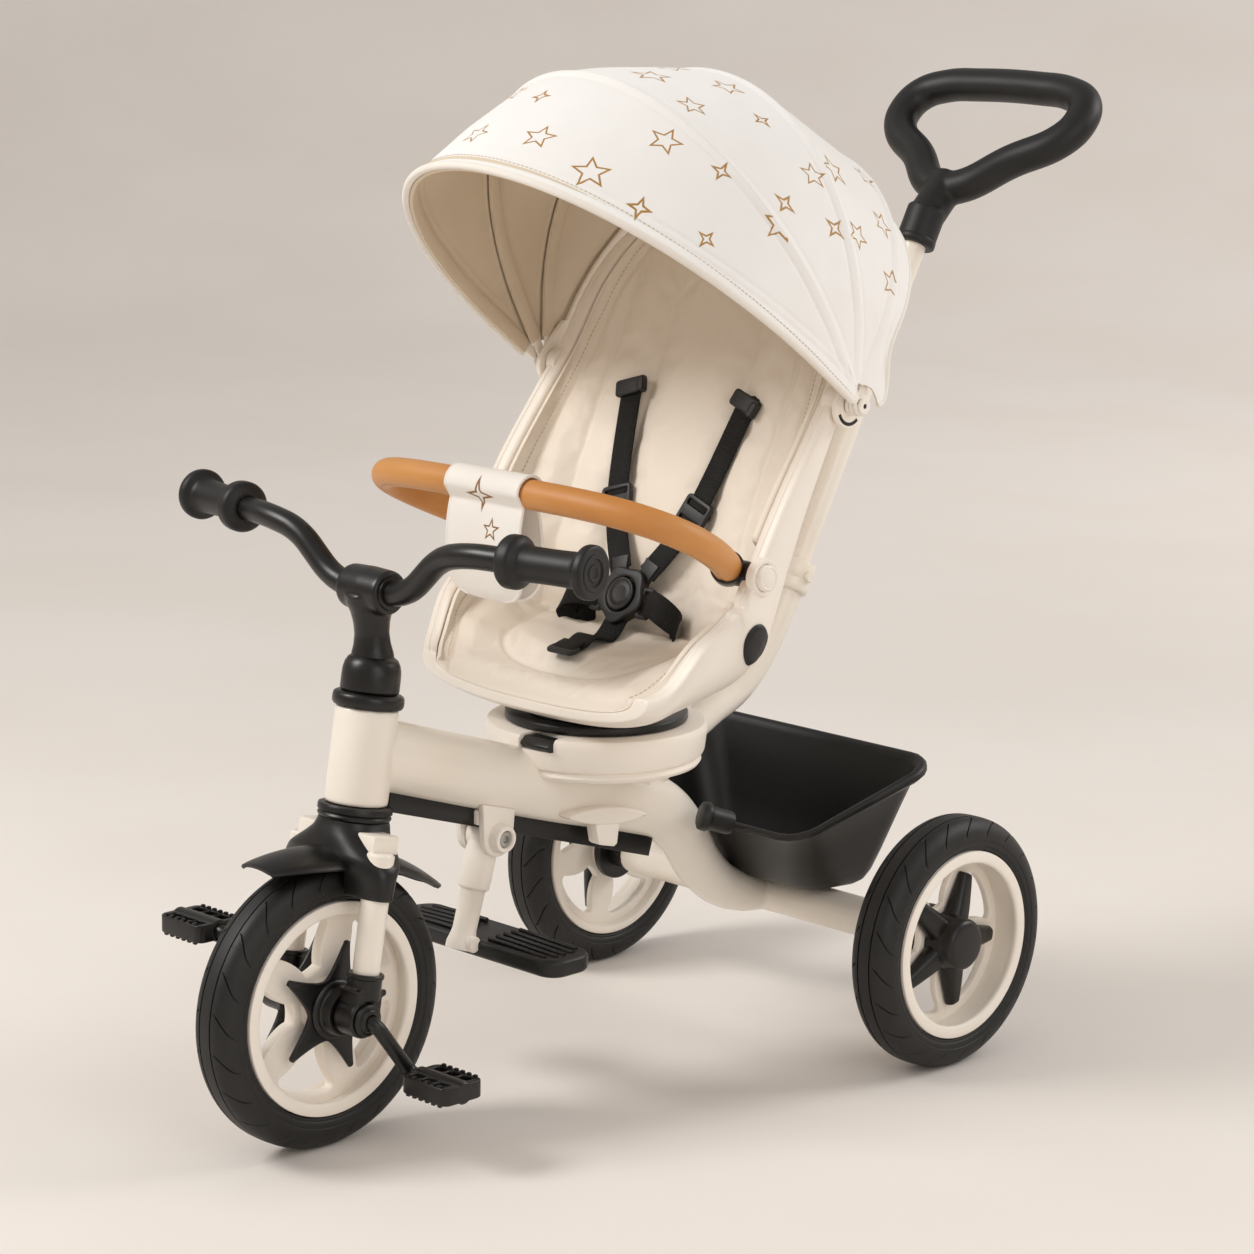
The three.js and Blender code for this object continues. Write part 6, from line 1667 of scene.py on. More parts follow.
def row_of_pad(share):
    """Even places across the padded top, each with its distance from the middle along the cloth."""
    fine = even_across(liner_half(share), PAD_POWER, ROW_STEPS)
    heights = [pad_height(share, x) for x in fine]
    run = [0.0]
    for k in range(ROW_STEPS):
        run.append(run[-1] + math.hypot(fine[k + 1] - fine[k], heights[k + 1] - heights[k]))
    middle = run[-1] / 2
    row, k = [], 0
    for column in range(LINER_COLUMNS + 1):
        wanted = run[-1] * column / LINER_COLUMNS
        while k < ROW_STEPS - 1 and run[k + 1] < wanted:
            k += 1
        part = (wanted - run[k]) / (run[k + 1] - run[k])
        row.append((fine[k] + (fine[k + 1] - fine[k]) * part, wanted - middle, middle))
    return row


def seam_distance(u, edge, length):
    """Millimetres from a place of the top to its nearest seam."""
    near = [abs(edge - abs(u) - SEAM_IN)]
    if length > CREASE:
        fade = max(0, length - (SEAT_LENGTH - 52)) * 1.2
        near += [abs(abs(u) - channel) + fade for channel in CHANNELS]
    else:
        reach = (abs(u / CUSHION_WIDE) ** 3 + abs((length - CUSHION_MIDDLE) / CUSHION_DEEP) ** 3) ** (1 / 3)
        near.append(abs(reach - 1) * CUSHION_DEEP)
    return min(near)


POCKET_R, POCKET_FROM, POCKET_EASE = 29, 133, 9


def pocketed(share, x, height):
    """Keeps the lining clear of the bumper's ends: a round pocket in either side."""
    y, z, lean = blended(SEAT_ROWS, share)[:3]
    lean = math.radians(lean)
    y, z = y - BUTTON_Y, z - BUTTON_Z
    ahead = y * math.sin(lean) - z * math.cos(lean)
    room = POCKET_R ** 2 - (y ** 2 + z ** 2 - ahead ** 2)
    if room <= 0:
        return height
    ceiling = ahead - math.sqrt(room)
    part = min(1, max(0, (abs(x) - POCKET_FROM + POCKET_EASE) / POCKET_EASE))
    return height - max(0, height - ceiling) * part


def liner_floor(share, x):
    """Height of the lining's underside, just clear of the shell."""
    wing = blended(SEAT_ROWS, share)[4]
    low = trough(x, liner_half(share), SHELL_WALL + LINER_EDGE, wing + 0.9, WING_POWER)
    return min(low, pocketed(share, x, low) - 0.6)


def dip(depth, distance, reach):
    """A rounded groove or ridge: how deep it is at a distance from its middle."""
    return depth * math.exp(-(distance / reach) ** 2)


SEAM_HELD, EDGE_HELD = 2.4, 6
SWELL, END_ROUND = 2.6, 17


def liner_ring(share):
    """One closed ring of the lining, as (place, whether the stuffing leaves it where it is) pairs."""
    length = along_seat(share)
    ends = min(length, SEAT_LENGTH - length)
    rounded_end = math.sqrt(1 - (1 - min(1, (ends + 0.4) / END_ROUND)) ** 2)
    ring = []
    for x, u, edge in row_of_pad(share):
        inside = edge - abs(u)
        distance = seam_distance(u, edge, length)
        sink = dip(3.2, distance, 2.8) + dip(4.2, distance, 15)
        sink += dip(7, length - CREASE, 9) * min(1, max(0, (inside - 14) / 60))
        lip = 5 * max(0, 1 - inside / 7) ** 2
        low = liner_floor(share, x)
        swell = (pad_height(share, x) + SWELL - sink - lip - low) * rounded_end
        place = seat_place(share, x * (1 - 0.012 * lip), pocketed(share, x, low + swell))
        ring.append((place, distance < SEAM_HELD or ends < EDGE_HELD or inside < EDGE_HELD))
    for x in reversed(even_across(liner_half(share), WING_POWER, 28)):
        ring.append((seat_place(share, x, liner_floor(share, x)), True))
    return ring


liner_rings = [liner_ring(k / LINER_ROWS) for k in range(LINER_ROWS + 1)]
liner = close_ends(skin("seat_liner_padded", [[place for place, _ in ring] for ring in liner_rings]))
split_ends(liner)
print("liner faces:", len(liner.data.polygons))

# %% [markdown]
# Stuffing pushes a cover outwards between its seams, and small puckers form beside them. A cloth
# simulation does just that: the seams and the underside are held, air presses from inside, and no
# point may end farther than a few millimetres from where it began.

# %% Stuffing the lining
FILLING = {
    "quality": 5, "mass": 0.25, "tension_stiffness": 12, "compression_stiffness": 10, "shear_stiffness": 5,
    "bending_stiffness": 1.5, "shrink_min": -0.008, "use_pressure": True,
}
FILLING_FRAMES = 20


def puffed(piece, held, pressure, limit):
    """Fills a cover with air between its held points, and lets none go farther than the limit."""
    before = [point.co.copy() for point in piece.data.vertices]
    group = piece.vertex_groups.new(name="held")
    group.add(held, 1.0, "REPLACE")
    pick(piece)
    cloth = piece.modifiers.new("filling", "CLOTH")
    for key, value in FILLING.items():
        setattr(cloth.settings, key, value)
    cloth.settings.uniform_pressure_force = pressure
    cloth.settings.vertex_group_mass = group.name
    cloth.settings.effector_weights.gravity = 0
    cloth.point_cache.frame_start, cloth.point_cache.frame_end = 1, FILLING_FRAMES
    for number in range(1, FILLING_FRAMES + 1):
        scene.frame_set(number)
    bpy.ops.object.modifier_apply(modifier=cloth.name)
    scene.frame_set(1)
    for start, point in zip(before, piece.data.vertices):
        moved = point.co - start
        if moved.length > limit * MM:
            point.co = start + moved * (limit * MM / moved.length)
    piece.vertex_groups.clear()
    return piece


def spot(place):
    """A place to the hundredth of a millimetre, to find it again."""
    return tuple(round(value, 5) for value in place)


free_spots = {spot(place) for ring in liner_rings for place, held in ring if not held}
held_points = [point.index for point in liner.data.vertices if spot(point.co) not in free_spots]
print("held points:", len(held_points), "of", len(liner.data.vertices))
puffed(liner, held_points, 4.0, 2.8)
applied(liner, "SUBSURF", levels=1, render_levels=1)
dress(liner, "seat", SEAT_LEATHER, ("seat_liner",), angle=70)
print("liner faces:", len(liner.data.polygons))

# %% [markdown]
# Stitches are short bars of thread along the seam inside the rim, on either side. One curve
# holds them all, with a two-point spline for each, and is given its thickness in one go.

# %% Stitches


def path_length(path):
    return sum((b - a).length for a, b in zip(path, path[1:]))


def heading(path, k):
    """Direction of a path at one of its places."""
    return (path[min(k + 1, len(path) - 1)] - path[max(k - 1, 0)]).normalized()


def evenly(path, spacing):
    """Places along a path, a fixed distance apart, in millimetres."""
    run = [0.0]
    for first, second in zip(path, path[1:]):
        run.append(run[-1] + (second - first).length / MM)
    count = max(2, round(run[-1] / spacing))
    places, k = [], 0
    for number in range(count + 1):
        wanted = run[-1] * number / count
        while k < len(run) - 2 and run[k + 1] < wanted:
            k += 1
        places.append(path[k].lerp(path[k + 1], (wanted - run[k]) / max(1e-6, run[k + 1] - run[k])))
    return places


def flowing(knots, steps=12):
    """A smooth path through a few knots."""
    rows = [tuple(knot) for knot in knots]
    last = steps * (len(rows) - 1)
    return [Vector(blended(rows, k / last)) for k in range(last + 1)]


def stitches(name, paths, body, pitch=4.6, length=3.0, radius=0.42):
    """Bars of thread along paths: the pitch from one to the next, their length and their radius."""
    piece = fresh(name, bpy.ops.curve.primitive_bezier_curve_add)
    piece.data.splines.clear()
    piece.data.bevel_depth = radius * MM
    piece.data.bevel_resolution = 1
    piece.data.use_fill_caps = True
    for path in paths:
        places = evenly(path, pitch)
        for first, second in zip(places, places[1:]):
            stitch = piece.data.splines.new("POLY")
            stitch.points.add(1)
            reach = (second - first).normalized() * length * MM / 2
            middle = (first + second) / 2
            stitch.points[0].co = (*(middle - reach), 1)
            stitch.points[1].co = (*(middle + reach), 1)
    return dress(mend(as_mesh(piece)), body, THREAD, angle=60)


def pad_line(edge_in, share, side):
    """The place over the padding that lies this far inside its edge, along the cloth."""
    row = row_of_pad(share)
    u = row[0][2] - edge_in
    x = side * abs(min(row, key=lambda item: abs(abs(item[1]) - u))[0])
    return seat_place(share, x, pad_height(share, x) + 1.2)


shares = [0.035 + 0.93 * k / 40 for k in range(41)]
stitches("seat_stitches", [flowing([pad_line(SEAM_IN - 4.2, share, side) for share in shares], 3)
                           for side in (-1, 1)], "seat")
print("seat stitched")

# %% [markdown]
# The harness is webbing: two shoulder straps, a waist strap that loops out of the buckle and a
# crotch strap. Each is a flat tape swept along a smooth path that keeps its own width direction.
# The ends are held by black plates, and each shoulder strap carries a ladder that sets its length.

# %% Harness
STRAP_WIDE, CROTCH_WIDE, STRAP_THICK, STRAP_CORNER = 25, 28, 2.4, 0.9
BUCKLE_OUT = leaning(64)
BUCKLE_UP = Vector((0, BUCKLE_OUT.z, -BUCKLE_OUT.y))
BUCKLE_R, BUCKLE_THICK = 27, 12


def on_buckle(x, up_it, out):
    """A place on the buckle: across, up its face and out of it."""
    return mm(x, -206, 442) + (BUCKLE_UP * up_it + BUCKLE_OUT * out) * MM


def tape(name, path, across_at, wide=STRAP_WIDE):
    """A flat tape along a path; across_at gives the direction of its width at each share."""
    places = evenly(path, 3)
    side, top = wide / 2, STRAP_THICK / 2
    quarter = [(side, top - STRAP_CORNER), (side - STRAP_CORNER, top), (wide / 6, top)]
    half = quarter + [(-a, b) for a, b in reversed(quarter)]
    rim = [(side, STRAP_CORNER - top)] + half + [(-a, -b) for a, b in half[:-1]]
    rings = []
    for k, place in enumerate(places):
        along = heading(places, k)
        across = across_at(k / (len(places) - 1)).copy()
        across = (across - along * across.dot(along)).normalized()
        depth = across.cross(along)
        rings.append([place + (across * a + depth * b) * MM for a, b in rim])
    piece = skin(name, rings)
    measured_uv(piece, 2 * (wide + STRAP_THICK) * MM, path_length(places))
    return close_ends(piece)


def level_width(_):
    """The width of most straps lies straight across the seat, all along them."""
    return X_AXIS


def frame_at(place, across, along):
    """Turns flat places (a, b, height) round a place: a across, b along, height outwards."""
    across = (across - along * across.dot(along)).normalized()
    out = across.cross(along)
    return lambda a, b, height: place + (across * a + along * b + out * height) * MM


def ladder(name, place, across, along, wide, tall, thick, windows):
    """A moulded frame with slots, through which a tape is threaded."""
    outlines = [rounded_box(-wide / 2, wide / 2, -tall / 2, tall / 2, 4.5, 4)]
    for low, high in windows:
        outlines.append(rounded_box(-wide / 2 + 4, wide / 2 - 4, low, high, 1.5, 3))
    return plate(name, outlines, -thick / 2, thick / 2, 1.2, frame_at(place, across, along), 3)


SIDES = (("left", 1), ("right", -1))
for label, side in SIDES:
    anchor = over_pad(9.3, side * 73.5, 4.6)
    end = on_buckle(side * 17, BUCKLE_R - 3, -2)
    sag = over_pad(7.6, side * 50, 9)
    path = flowing([over_pad(9.5, side * 74.5, 1.4), anchor, sag, end], 10)
    strap = tape(f"shoulder_strap_{label}_webbing", path, level_width)
    along = (end - anchor).normalized()
    inwards = along.cross(X_AXIS)
    slider_place = flowing([anchor, sag, end], 20)[20]
    slider = ladder("slider", slider_place, X_AXIS, along, 35, 31, 5.5, [(-11, -5.5), (5.5, 11)])
    bar_ends = [slider_place + (X_AXIS * x + inwards * -3.4) * MM for x in (-15, 15)]
    slider_bar = rod("slider_bar", *bar_ends, 4.6, 1.2, 24)
    fold_path = [slider_place + (along * t - inwards * (2.6 + 0.02 * t)) * MM for t in (-13, -6, 0, 6, 13)]
    folded = tape("folded_end", fold_path, level_width)
    at_keeper = frame_at(over_pad(9.38, side * 73.5, 7), X_AXIS, along)
    keeper = plate("keeper", [rounded_box(-18, 18, -8.5, 8, 3.5, 4)], -2.6, 2.6, 1.6, at_keeper, 3)
    hook = plate("hook", [rounded_box(11, 19, -6, 9, 2.6, 4)], -6.5, 1.5, 1.4, at_keeper, 3)
    tongue = plate("tongue", [[(-10, -9), (10, -9), (8, 10), (-8, 10)]], -2.4, 2.4, 1.2,
                   frame_at(end - along * 4 * MM, X_AXIS, along), 2)
    moulded_bits = joined(f"strap_fittings_{label}", [slider, slider_bar, keeper, hook, tongue])
    dress(moulded_bits, "seat", BLACK_GRAIN)
    dress(joined(strap.name, [strap, folded]), "seat", WEBBING, (f"shoulder_strap_{label}",), angle=50)

WAIST_KNOTS = [(30, -4, 0), (46, -5, 9), (62, -10, 10), (71, -17, -2), (64, -26, -14)]
loops = []
for side in (-1, 1):
    knots = [on_buckle(side * x, up_it, out) for x, up_it, out in WAIST_KNOTS]
    knots.append(over_pad(5.15, side * 48, -3))
    last_width = (X_AXIS * side * 0.25 - BUCKLE_UP).normalized()
    loops.append(tape("waist_loop", flowing(knots, 10), lambda share: (-BUCKLE_UP).lerp(last_width, share)))
dress(joined("waist_strap_webbing", loops), "seat", WEBBING, ("waist_strap",), angle=50)

crotch_path = flowing([over_pad(2.0, 0, 8.6), over_pad(2.35, 0, 10), over_pad(2.75, 0, 15), mm(0, -232, 405),
                       on_buckle(0, -BUCKLE_R + 3, -1)], 10)
crotch = tape("crotch_strap_webbing", crotch_path, level_width, CROTCH_WIDE)
fold_path = flowing([over_pad(number, 0, gap) for number, gap in
                     ((1.95, 8.2), (1.8, 11.2), (2.0, 12.6), (2.3, 13.6))], 8)
end_fold = tape("crotch_end", fold_path, level_width, CROTCH_WIDE)
dress(joined(crotch.name, [crotch, end_fold]), "seat", WEBBING, ("crotch_strap",), angle=50)
front_direction = (over_pad(1.6, 0, 3) - over_pad(2.4, 0, 3)).normalized()
tongue_frame = frame_at(over_pad(1.9, 0, 8.4), X_AXIS, front_direction)
tongue_outline = rounded_box(-17.5, 17.5, -8, 8, 6, 5)
crotch_tongue = plate("crotch_tongue_plate", [tongue_outline], -4.2, -0.4, 1.4, tongue_frame, 3)
dress(crotch_tongue, "seat", BLACK_GRAIN)
print("harness straps done")

# %% [markdown]
# The buckle is a round disc with five low lobes, one for each strap end, and a large button in its
# middle. A ladder-shaped tongue goes into either side. A turned ring makes the button's rim.

# %% Buckle
lobes = []
for k in range(80):
    angle = math.tau * k / 80
    bulge = BUCKLE_R * (1 + 0.07 * math.cos(5 * (angle - math.pi / 2) + math.pi))
    lobes.append((bulge * math.cos(angle), bulge * math.sin(angle)))
outlines = [lobes, circle(16.6, sides=48)]
disc = plate("buckle_disc", outlines, -BUCKLE_THICK / 2, BUCKLE_THICK / 2, 2.6, on_buckle, 4)
floor_disc = rod("buckle_floor", on_buckle(0, 0, -5), on_buckle(0, 0, 1.5), 18, 0.5, 48)
side_tongues = []
for side in (-1, 1):
    corner = frame_at(on_buckle(side * 30, -4, 0.5), X_AXIS, BUCKLE_UP)
    half = 3 + 0.5 * side
    outlines = [rounded_box(-8, 8, -15, 15, 4, 4), rounded_box(-half, half, -11, 11, 1.5, 3)]
    side_tongues.append(plate("side_tongue", outlines, -2.6, 2.6, 1.3, corner, 3))
buckle = joined("harness_buckle_moulded", [disc, floor_disc, *side_tongues])
dress(buckle, "seat", BLACK_GRAIN, ("harness_buckle",))
press = turned("buckle_button_moulded", [
    (0, 3.6), (15.6, 3.6), (16, 4.2), (16, 6.6), (15.2, 7.5), (13.6, 7.6), (12.8, 6.9),
    (11.6, 6.9), (10.8, 7.5), (7, 7.1), (0, 6.7),
], on_buckle(0, 0, 0), BUCKLE_OUT, 64)
dress(press, "buckle_button", BLACK_GRAIN, ("buckle_button",), angle=50)
print("buckle done")

# %% [markdown]
# Oval caps cover the seat's side screws. To lie on the shell they need its width at any height, so
# a small search finds the station whose section passes through a given place.

# %% Side covers and bumper buttons


@functools.cache
def wing_x(y, z):
    """Distance of the shell's outside from the middle, seen from the side at (y, z)."""
    wanted = mm(0, y, z)
    found = []
    for k in range(141):
        share = 0.2 + 0.4 * k / 140
        inward = leaning(blended(SEAT_ROWS, share)[2])
        base = seat_place(share, 0, 0)
        height = (wanted - base).dot(inward) / MM
        miss = (wanted - base - inward * height * MM).length / MM
        found.append((miss, share, height))
    _, share, height = min(found, key=lambda item: item[0])
    half, wing = blended(SEAT_ROWS, share)[3:5]
    rise = min(max(height / wing, 0), 1)
    return half * (1 - (1 - rise) ** WING_POWER) ** (1 / WING_POWER)


COVER_Y, COVER_Z, COVER_LEAN = -222, 426, math.radians(-28)
COVER_ACROSS, COVER_ALONG, COVER_THICK = 16, 22, 3.4


def on_cover(a, b):
    """A place of the left cover: a runs round it, b from its middle to its edge."""
    across, along = COVER_ACROSS * math.cos(math.tau * a), COVER_ALONG * math.sin(math.tau * a)
    y = COVER_Y + b * (across * math.cos(COVER_LEAN) + along * math.sin(COVER_LEAN))
    z = COVER_Z + b * (along * math.cos(COVER_LEAN) - across * math.sin(COVER_LEAN))
    return mm(wing_x(round(y), round(z)) + 3.2 - 2.6 * max(0, (b - 0.86) / 0.14) ** 2, y, z)


cover = mend(surface("side_cover_left_moulded", 24, 8, on_cover, wrap=True))
mend(applied(cover, "SOLIDIFY", thickness=COVER_THICK * MM, offset=-1.0))
right_cover = mirrored(cover, "side_cover_right_moulded")
dress(cover, "seat", BLACK_GRAIN, ("side_cover_left",), angle=50)
dress(right_cover, "seat", BLACK_GRAIN, ("side_cover_right",), angle=50)

PUSH_PROFILE = [
    (0, 180), (12, 180), (12, 192.2), (11.4, 193.8), (9.8, 194.5), (8.9, 193.7), (8.0, 193.7), (7.2, 194.3),
    (0, 194.1),
]
for label, side in SIDES:
    push = turned(f"bumper_button_{label}_moulded", sided(side, PUSH_PROFILE), BUTTON_MIDDLE, X_AXIS, 56)
    dress(push, f"bumper_button_{label}", CREAM_PLASTIC, (f"bumper_button_{label}",), angle=50)
print("covers and buttons done")

# %% [markdown]
# The bumper bar is a tube wrapped in tan leather, bent in one plane. The leather's seam runs along
# its underside. Black sleeves close its ends, with a boss that turns in the seat's wall.

# %% Bumper bar
BUMPER_DIR = Vector((0, -math.cos(math.radians(25.5)), math.sin(math.radians(25.5))))
BUMPER_R, BUMPER_REACH, BUMPER_START = 13.5, 168, 9
BUMPER_HALF, BUMPER_SPREAD, BUMPER_POWER = 152, 44, 2 / 4.4  # half width at the pins, what is added


def on_bumper(x, forward):
    """A place in the bar's plane: across, and forward from its pins."""
    return mm(x, BUTTON_Y, BUTTON_Z) + BUMPER_DIR * forward * MM


def bumper_path(steps):
    """A squared half oval whose legs spread a little on their way out."""
    path = []
    for k in range(steps + 1):
        angle = math.pi * k / steps
        out = math.sin(angle) ** BUMPER_POWER
        half = BUMPER_HALF + BUMPER_SPREAD * (1 - (1 - min(1, 1.25 * out)) ** 2)
        forward = BUMPER_START + (BUMPER_REACH - BUMPER_START) * out
        path.append(on_bumper(half * powered(math.cos(angle), BUMPER_POWER), forward))
    return path


bar_places = evenly(bumper_path(400), 4)
PLANE_UP = X_AXIS.cross(BUMPER_DIR).normalized() * -1
if PLANE_UP.z < 0:
    PLANE_UP = -PLANE_UP
AROUND = 36
bar_rings = []
for k, place in enumerate(bar_places):
    sideways = heading(bar_places, k).cross(PLANE_UP)
    ring = []
    for n in range(AROUND):
        angle = math.tau * n / AROUND
        reach = BUMPER_R - dip(1.1, angle - math.pi, 0.09)
        ring.append(place + (PLANE_UP * math.cos(angle) + sideways * math.sin(angle)) * reach * MM)
    bar_rings.append(ring)
bar = close_ends(skin("bumper_bar_leather", bar_rings))
dress(bar, "bumper", TAN_LEATHER, ("bumper_bar",), angle=50)
seam_line = [place - PLANE_UP * (BUMPER_R - 0.7) * MM for place in bar_places[8:-8]]
stitches("bumper_stitches", [seam_line], "bumper", 5.2, 3.4, 0.45)

first, second = bar_places[0], bar_places[3]
outwards = (second - first).normalized()
sleeve = turned("bumper_sleeve", [
    (13.6, -6), (15, -6), (15.5, -5), (15.5, 9.4), (15, 10.6), (13.9, 11), (13.6, 10.6),
], first, outwards, 56)
cap = rod("bumper_end_cap", first - outwards * 6 * MM, first - outwards * 4 * MM, 14.6, 0.8, 56)
boss = turned("bumper_boss", [(0, 146), (9, 146), (11.4, 149), (12, 152), (12, 175), (11, 176), (0, 176)],
              BUTTON_MIDDLE, X_AXIS, 48)
end_left = joined("bumper_end_left_moulded", [sleeve, cap, boss])
end_right = mirrored(end_left, "bumper_end_right_moulded")
dress(end_left, "bumper", BLACK_PLASTIC, ("bumper_end_left",))
dress(end_right, "bumper", BLACK_PLASTIC, ("bumper_end_right",))
print("bumper bar done")

# %% [markdown]
# A cloth flap is folded over the middle of the bar: it goes round the tube and its two layers hang
# down and meet at the bottom. It is one sheet with rounded lower corners and a piped edge, and it
# hangs in shallow waves that grow towards its free end.

# %% Bumper flap
FLAP_HALF, FLAP_DROP, FLAP_R, FLAP_CORNER = 46, 98, 16.2, 20
flap_middle = on_bumper(0, BUMPER_REACH)


def flap_profile():
    """Distances in front of and above the bar's middle, from the bottom of the back to the front's."""
    back = []
    for k in range(16):
        away = 5.5 + 9 * math.sin(math.pi * k / 16) ** 0.7
        back.append((-away, -FLAP_DROP + (FLAP_DROP - 6) * k / 16))
    top = [(-FLAP_R * math.cos(s), FLAP_R * math.sin(s)) for s in (math.pi * k / 16 for k in range(17))]
    front = [(-a, b) for a, b in reversed(back)]
    return back + top + front


flap_places = evenly([Vector((0, a * MM, b * MM)) for a, b in flap_profile()], 2.5)
FLAP_LENGTH = path_length(flap_places) / MM


def on_flap(a, b):
    place = flap_places[round(b * (len(flap_places) - 1))]
    front, height = place.y / MM, place.z / MM
    short = max(0, FLAP_CORNER - (height + FLAP_DROP))
    round_in = FLAP_CORNER - math.sqrt(max(0, FLAP_CORNER ** 2 - short ** 2))
    x = (2 * a - 1) * (FLAP_HALF - round_in)
    free = max(0, -height / FLAP_DROP)
    wave = free * (1.9 * math.sin(x * 0.071 + 0.6) + 1.1 * math.sin(x * 0.13 + height * 0.03))
    belly = 2.2 * free * math.cos(math.pi * x / (2 * FLAP_HALF))
    away = front + wave + math.copysign(belly, front)
    return flap_middle + Vector((x, -away, height)) * MM


def sheet_area(piece):
    return sum(face.area for face in piece.data.polygons)


flap = surface("bumper_flap_cloth", 36, len(flap_places) - 1, on_flap)
for loop in flap.data.uv_layers.active.data:
    loop.uv = ((loop.uv[0] - 0.5) * 2 * FLAP_HALF * MM, loop.uv[1] * FLAP_LENGTH * MM)
flap_edges = [[on_flap(side, k / 120) for k in range(121)] for side in (0, 1)]
applied(flap, "SOLIDIFY", thickness=2.2 * MM, offset=0.0)
mend(flap)
dress(flap, "bumper", FLAP_CLOTH, ("bumper_cover",), angle=60)
piping = [tube("flap_piping", edge, 1.7, smooth=1) for edge in flap_edges]
flap_piping = joined("bumper_flap_piping", piping)
dress(flap_piping, "bumper", PIPING, angle=60)
hem_lines = []
for side in (-1, 1):
    line = [on_flap(0.5 + side * (0.5 - 6 / (2 * FLAP_HALF)), 0.04 + 0.92 * k / 80) for k in range(81)]
    hem_lines.append([place + (place - flap_middle).normalized() * 1.2 * MM for place in line])
flap_stitches = stitches("bumper_flap_stitches", hem_lines, "bumper", 4.0, 2.6, 0.34)
clip_ends = [flap_middle + Vector(corner) * MM for corner in ((-42, 10, -94), (-26, 16, -76))]
clip = block("flap_clip", *clip_ends, 2)
dress(clip, "bumper", BLACK_PLASTIC)
print("flap length", round(FLAP_LENGTH), "mm")

# %% [markdown]
# The canopy hangs on four bows that turn about one pin on each side. Each bow is an arch: straight
# legs and half an oval over them. A table gives the bows, and the cloth between two of them is
# found by turning one arch into the next, with a little less swell than a true arc.

# %% Canopy bows
BOWS = [(-32, 191, 250), (0, 196, 283), (29, 201, 325), (53.5, 206, 358)]  # angle forward, half width, length
HEM_BOW = (-44, 191, 236)
LEG_STRAIGHT, BOW_FROM, CLOTH_FROM = 60, 4, 20  # distances above the pin
BOW_WIDE, BOW_THICK = 9, 4.4
ARCH_STEPS = 96


def round_pivot(degrees, x, along, forward=0):
    a = math.radians(degrees)
    return mm(x, PIVOT_Y - along * math.sin(a) - forward * math.cos(a),
              PIVOT_Z + along * math.cos(a) - forward * math.sin(a))


def arch(half, length, grow, start):
    """Even places on an arch, grown outwards, as (x, distance above the pin) pairs."""
    half, rise = half + grow, length - LEG_STRAIGHT + grow
    places = [Vector((half, start, 0))]
    for k in range(121):
        s = math.pi * k / 120
        places.append(Vector((half * math.cos(s), LEG_STRAIGHT + rise * math.sin(s), 0)))
    places.append(Vector((-half, start, 0)))
    return [(place.x, place.y) for place in evenly(places, path_length(places) / ARCH_STEPS / MM)]


def bow_strip(name, bow, wide_by=1.0, thick_by=1.0, start=BOW_FROM):
    """The arch as a thin rounded strip; a bare bow has an eye at either foot, a sleeve has none."""
    degrees, half, length = bow
    section = [(-0.5, -0.3), (-0.5, 0.3), (-0.32, 0.5), (0.32, 0.5)]
    section += [(-wide, -depth) for wide, depth in section]
    thick, wide_by = BOW_THICK * thick_by, BOW_WIDE * wide_by
    grown = {depth: arch(half, length, depth * thick, start) for _, depth in section}
    rings = []
    for k in range(ARCH_STEPS + 1):
        rings.append([round_pivot(degrees, *grown[depth][k], wide * wide_by) for wide, depth in section])
    strip = close_ends(skin(name, rings))
    if start > BOW_FROM:
        return strip
    eyes = []
    for side in (-1, 1):
        inner, outer = side * half - BOW_THICK / 2, side * half + BOW_THICK / 2
        eyes.append(turned("bow_eye", [
            (0, inner), (8.7, inner), (9.5, inner + 0.8), (9.5, outer - 0.8), (8.7, outer), (0, outer),
        ], PIVOT, X_AXIS, 40))
    return joined(name, [strip, *eyes])


BOW_BODIES = ("seat", "canopy_third", "canopy_second", "canopy_front")
for label, bow in zip(("third", "second", "front"), BOWS[1:]):
    strip = bow_strip(f"canopy_bow_{label}_moulded", bow)
    dress(strip, f"canopy_{label}", CREAM_PLASTIC, (f"canopy_bow_{label}",), angle=40)
    sleeve = bow_strip(f"canopy_sleeve_{label}", bow, 1.5, 1.12, CLOTH_FROM + 4)
    dress(sleeve, f"canopy_{label}", LINING_CLOTH, angle=50)


def bracket_arc(radius, first, last, steps=20):
    """An arc round the bracket's lower end, by angles down from the front."""
    angles = [math.radians(first + (last - first) * k / steps) for k in range(steps + 1)]
    return [(PIVOT_Y - radius * math.cos(s), PIVOT_Z - 3 - radius * math.sin(s)) for s in angles]


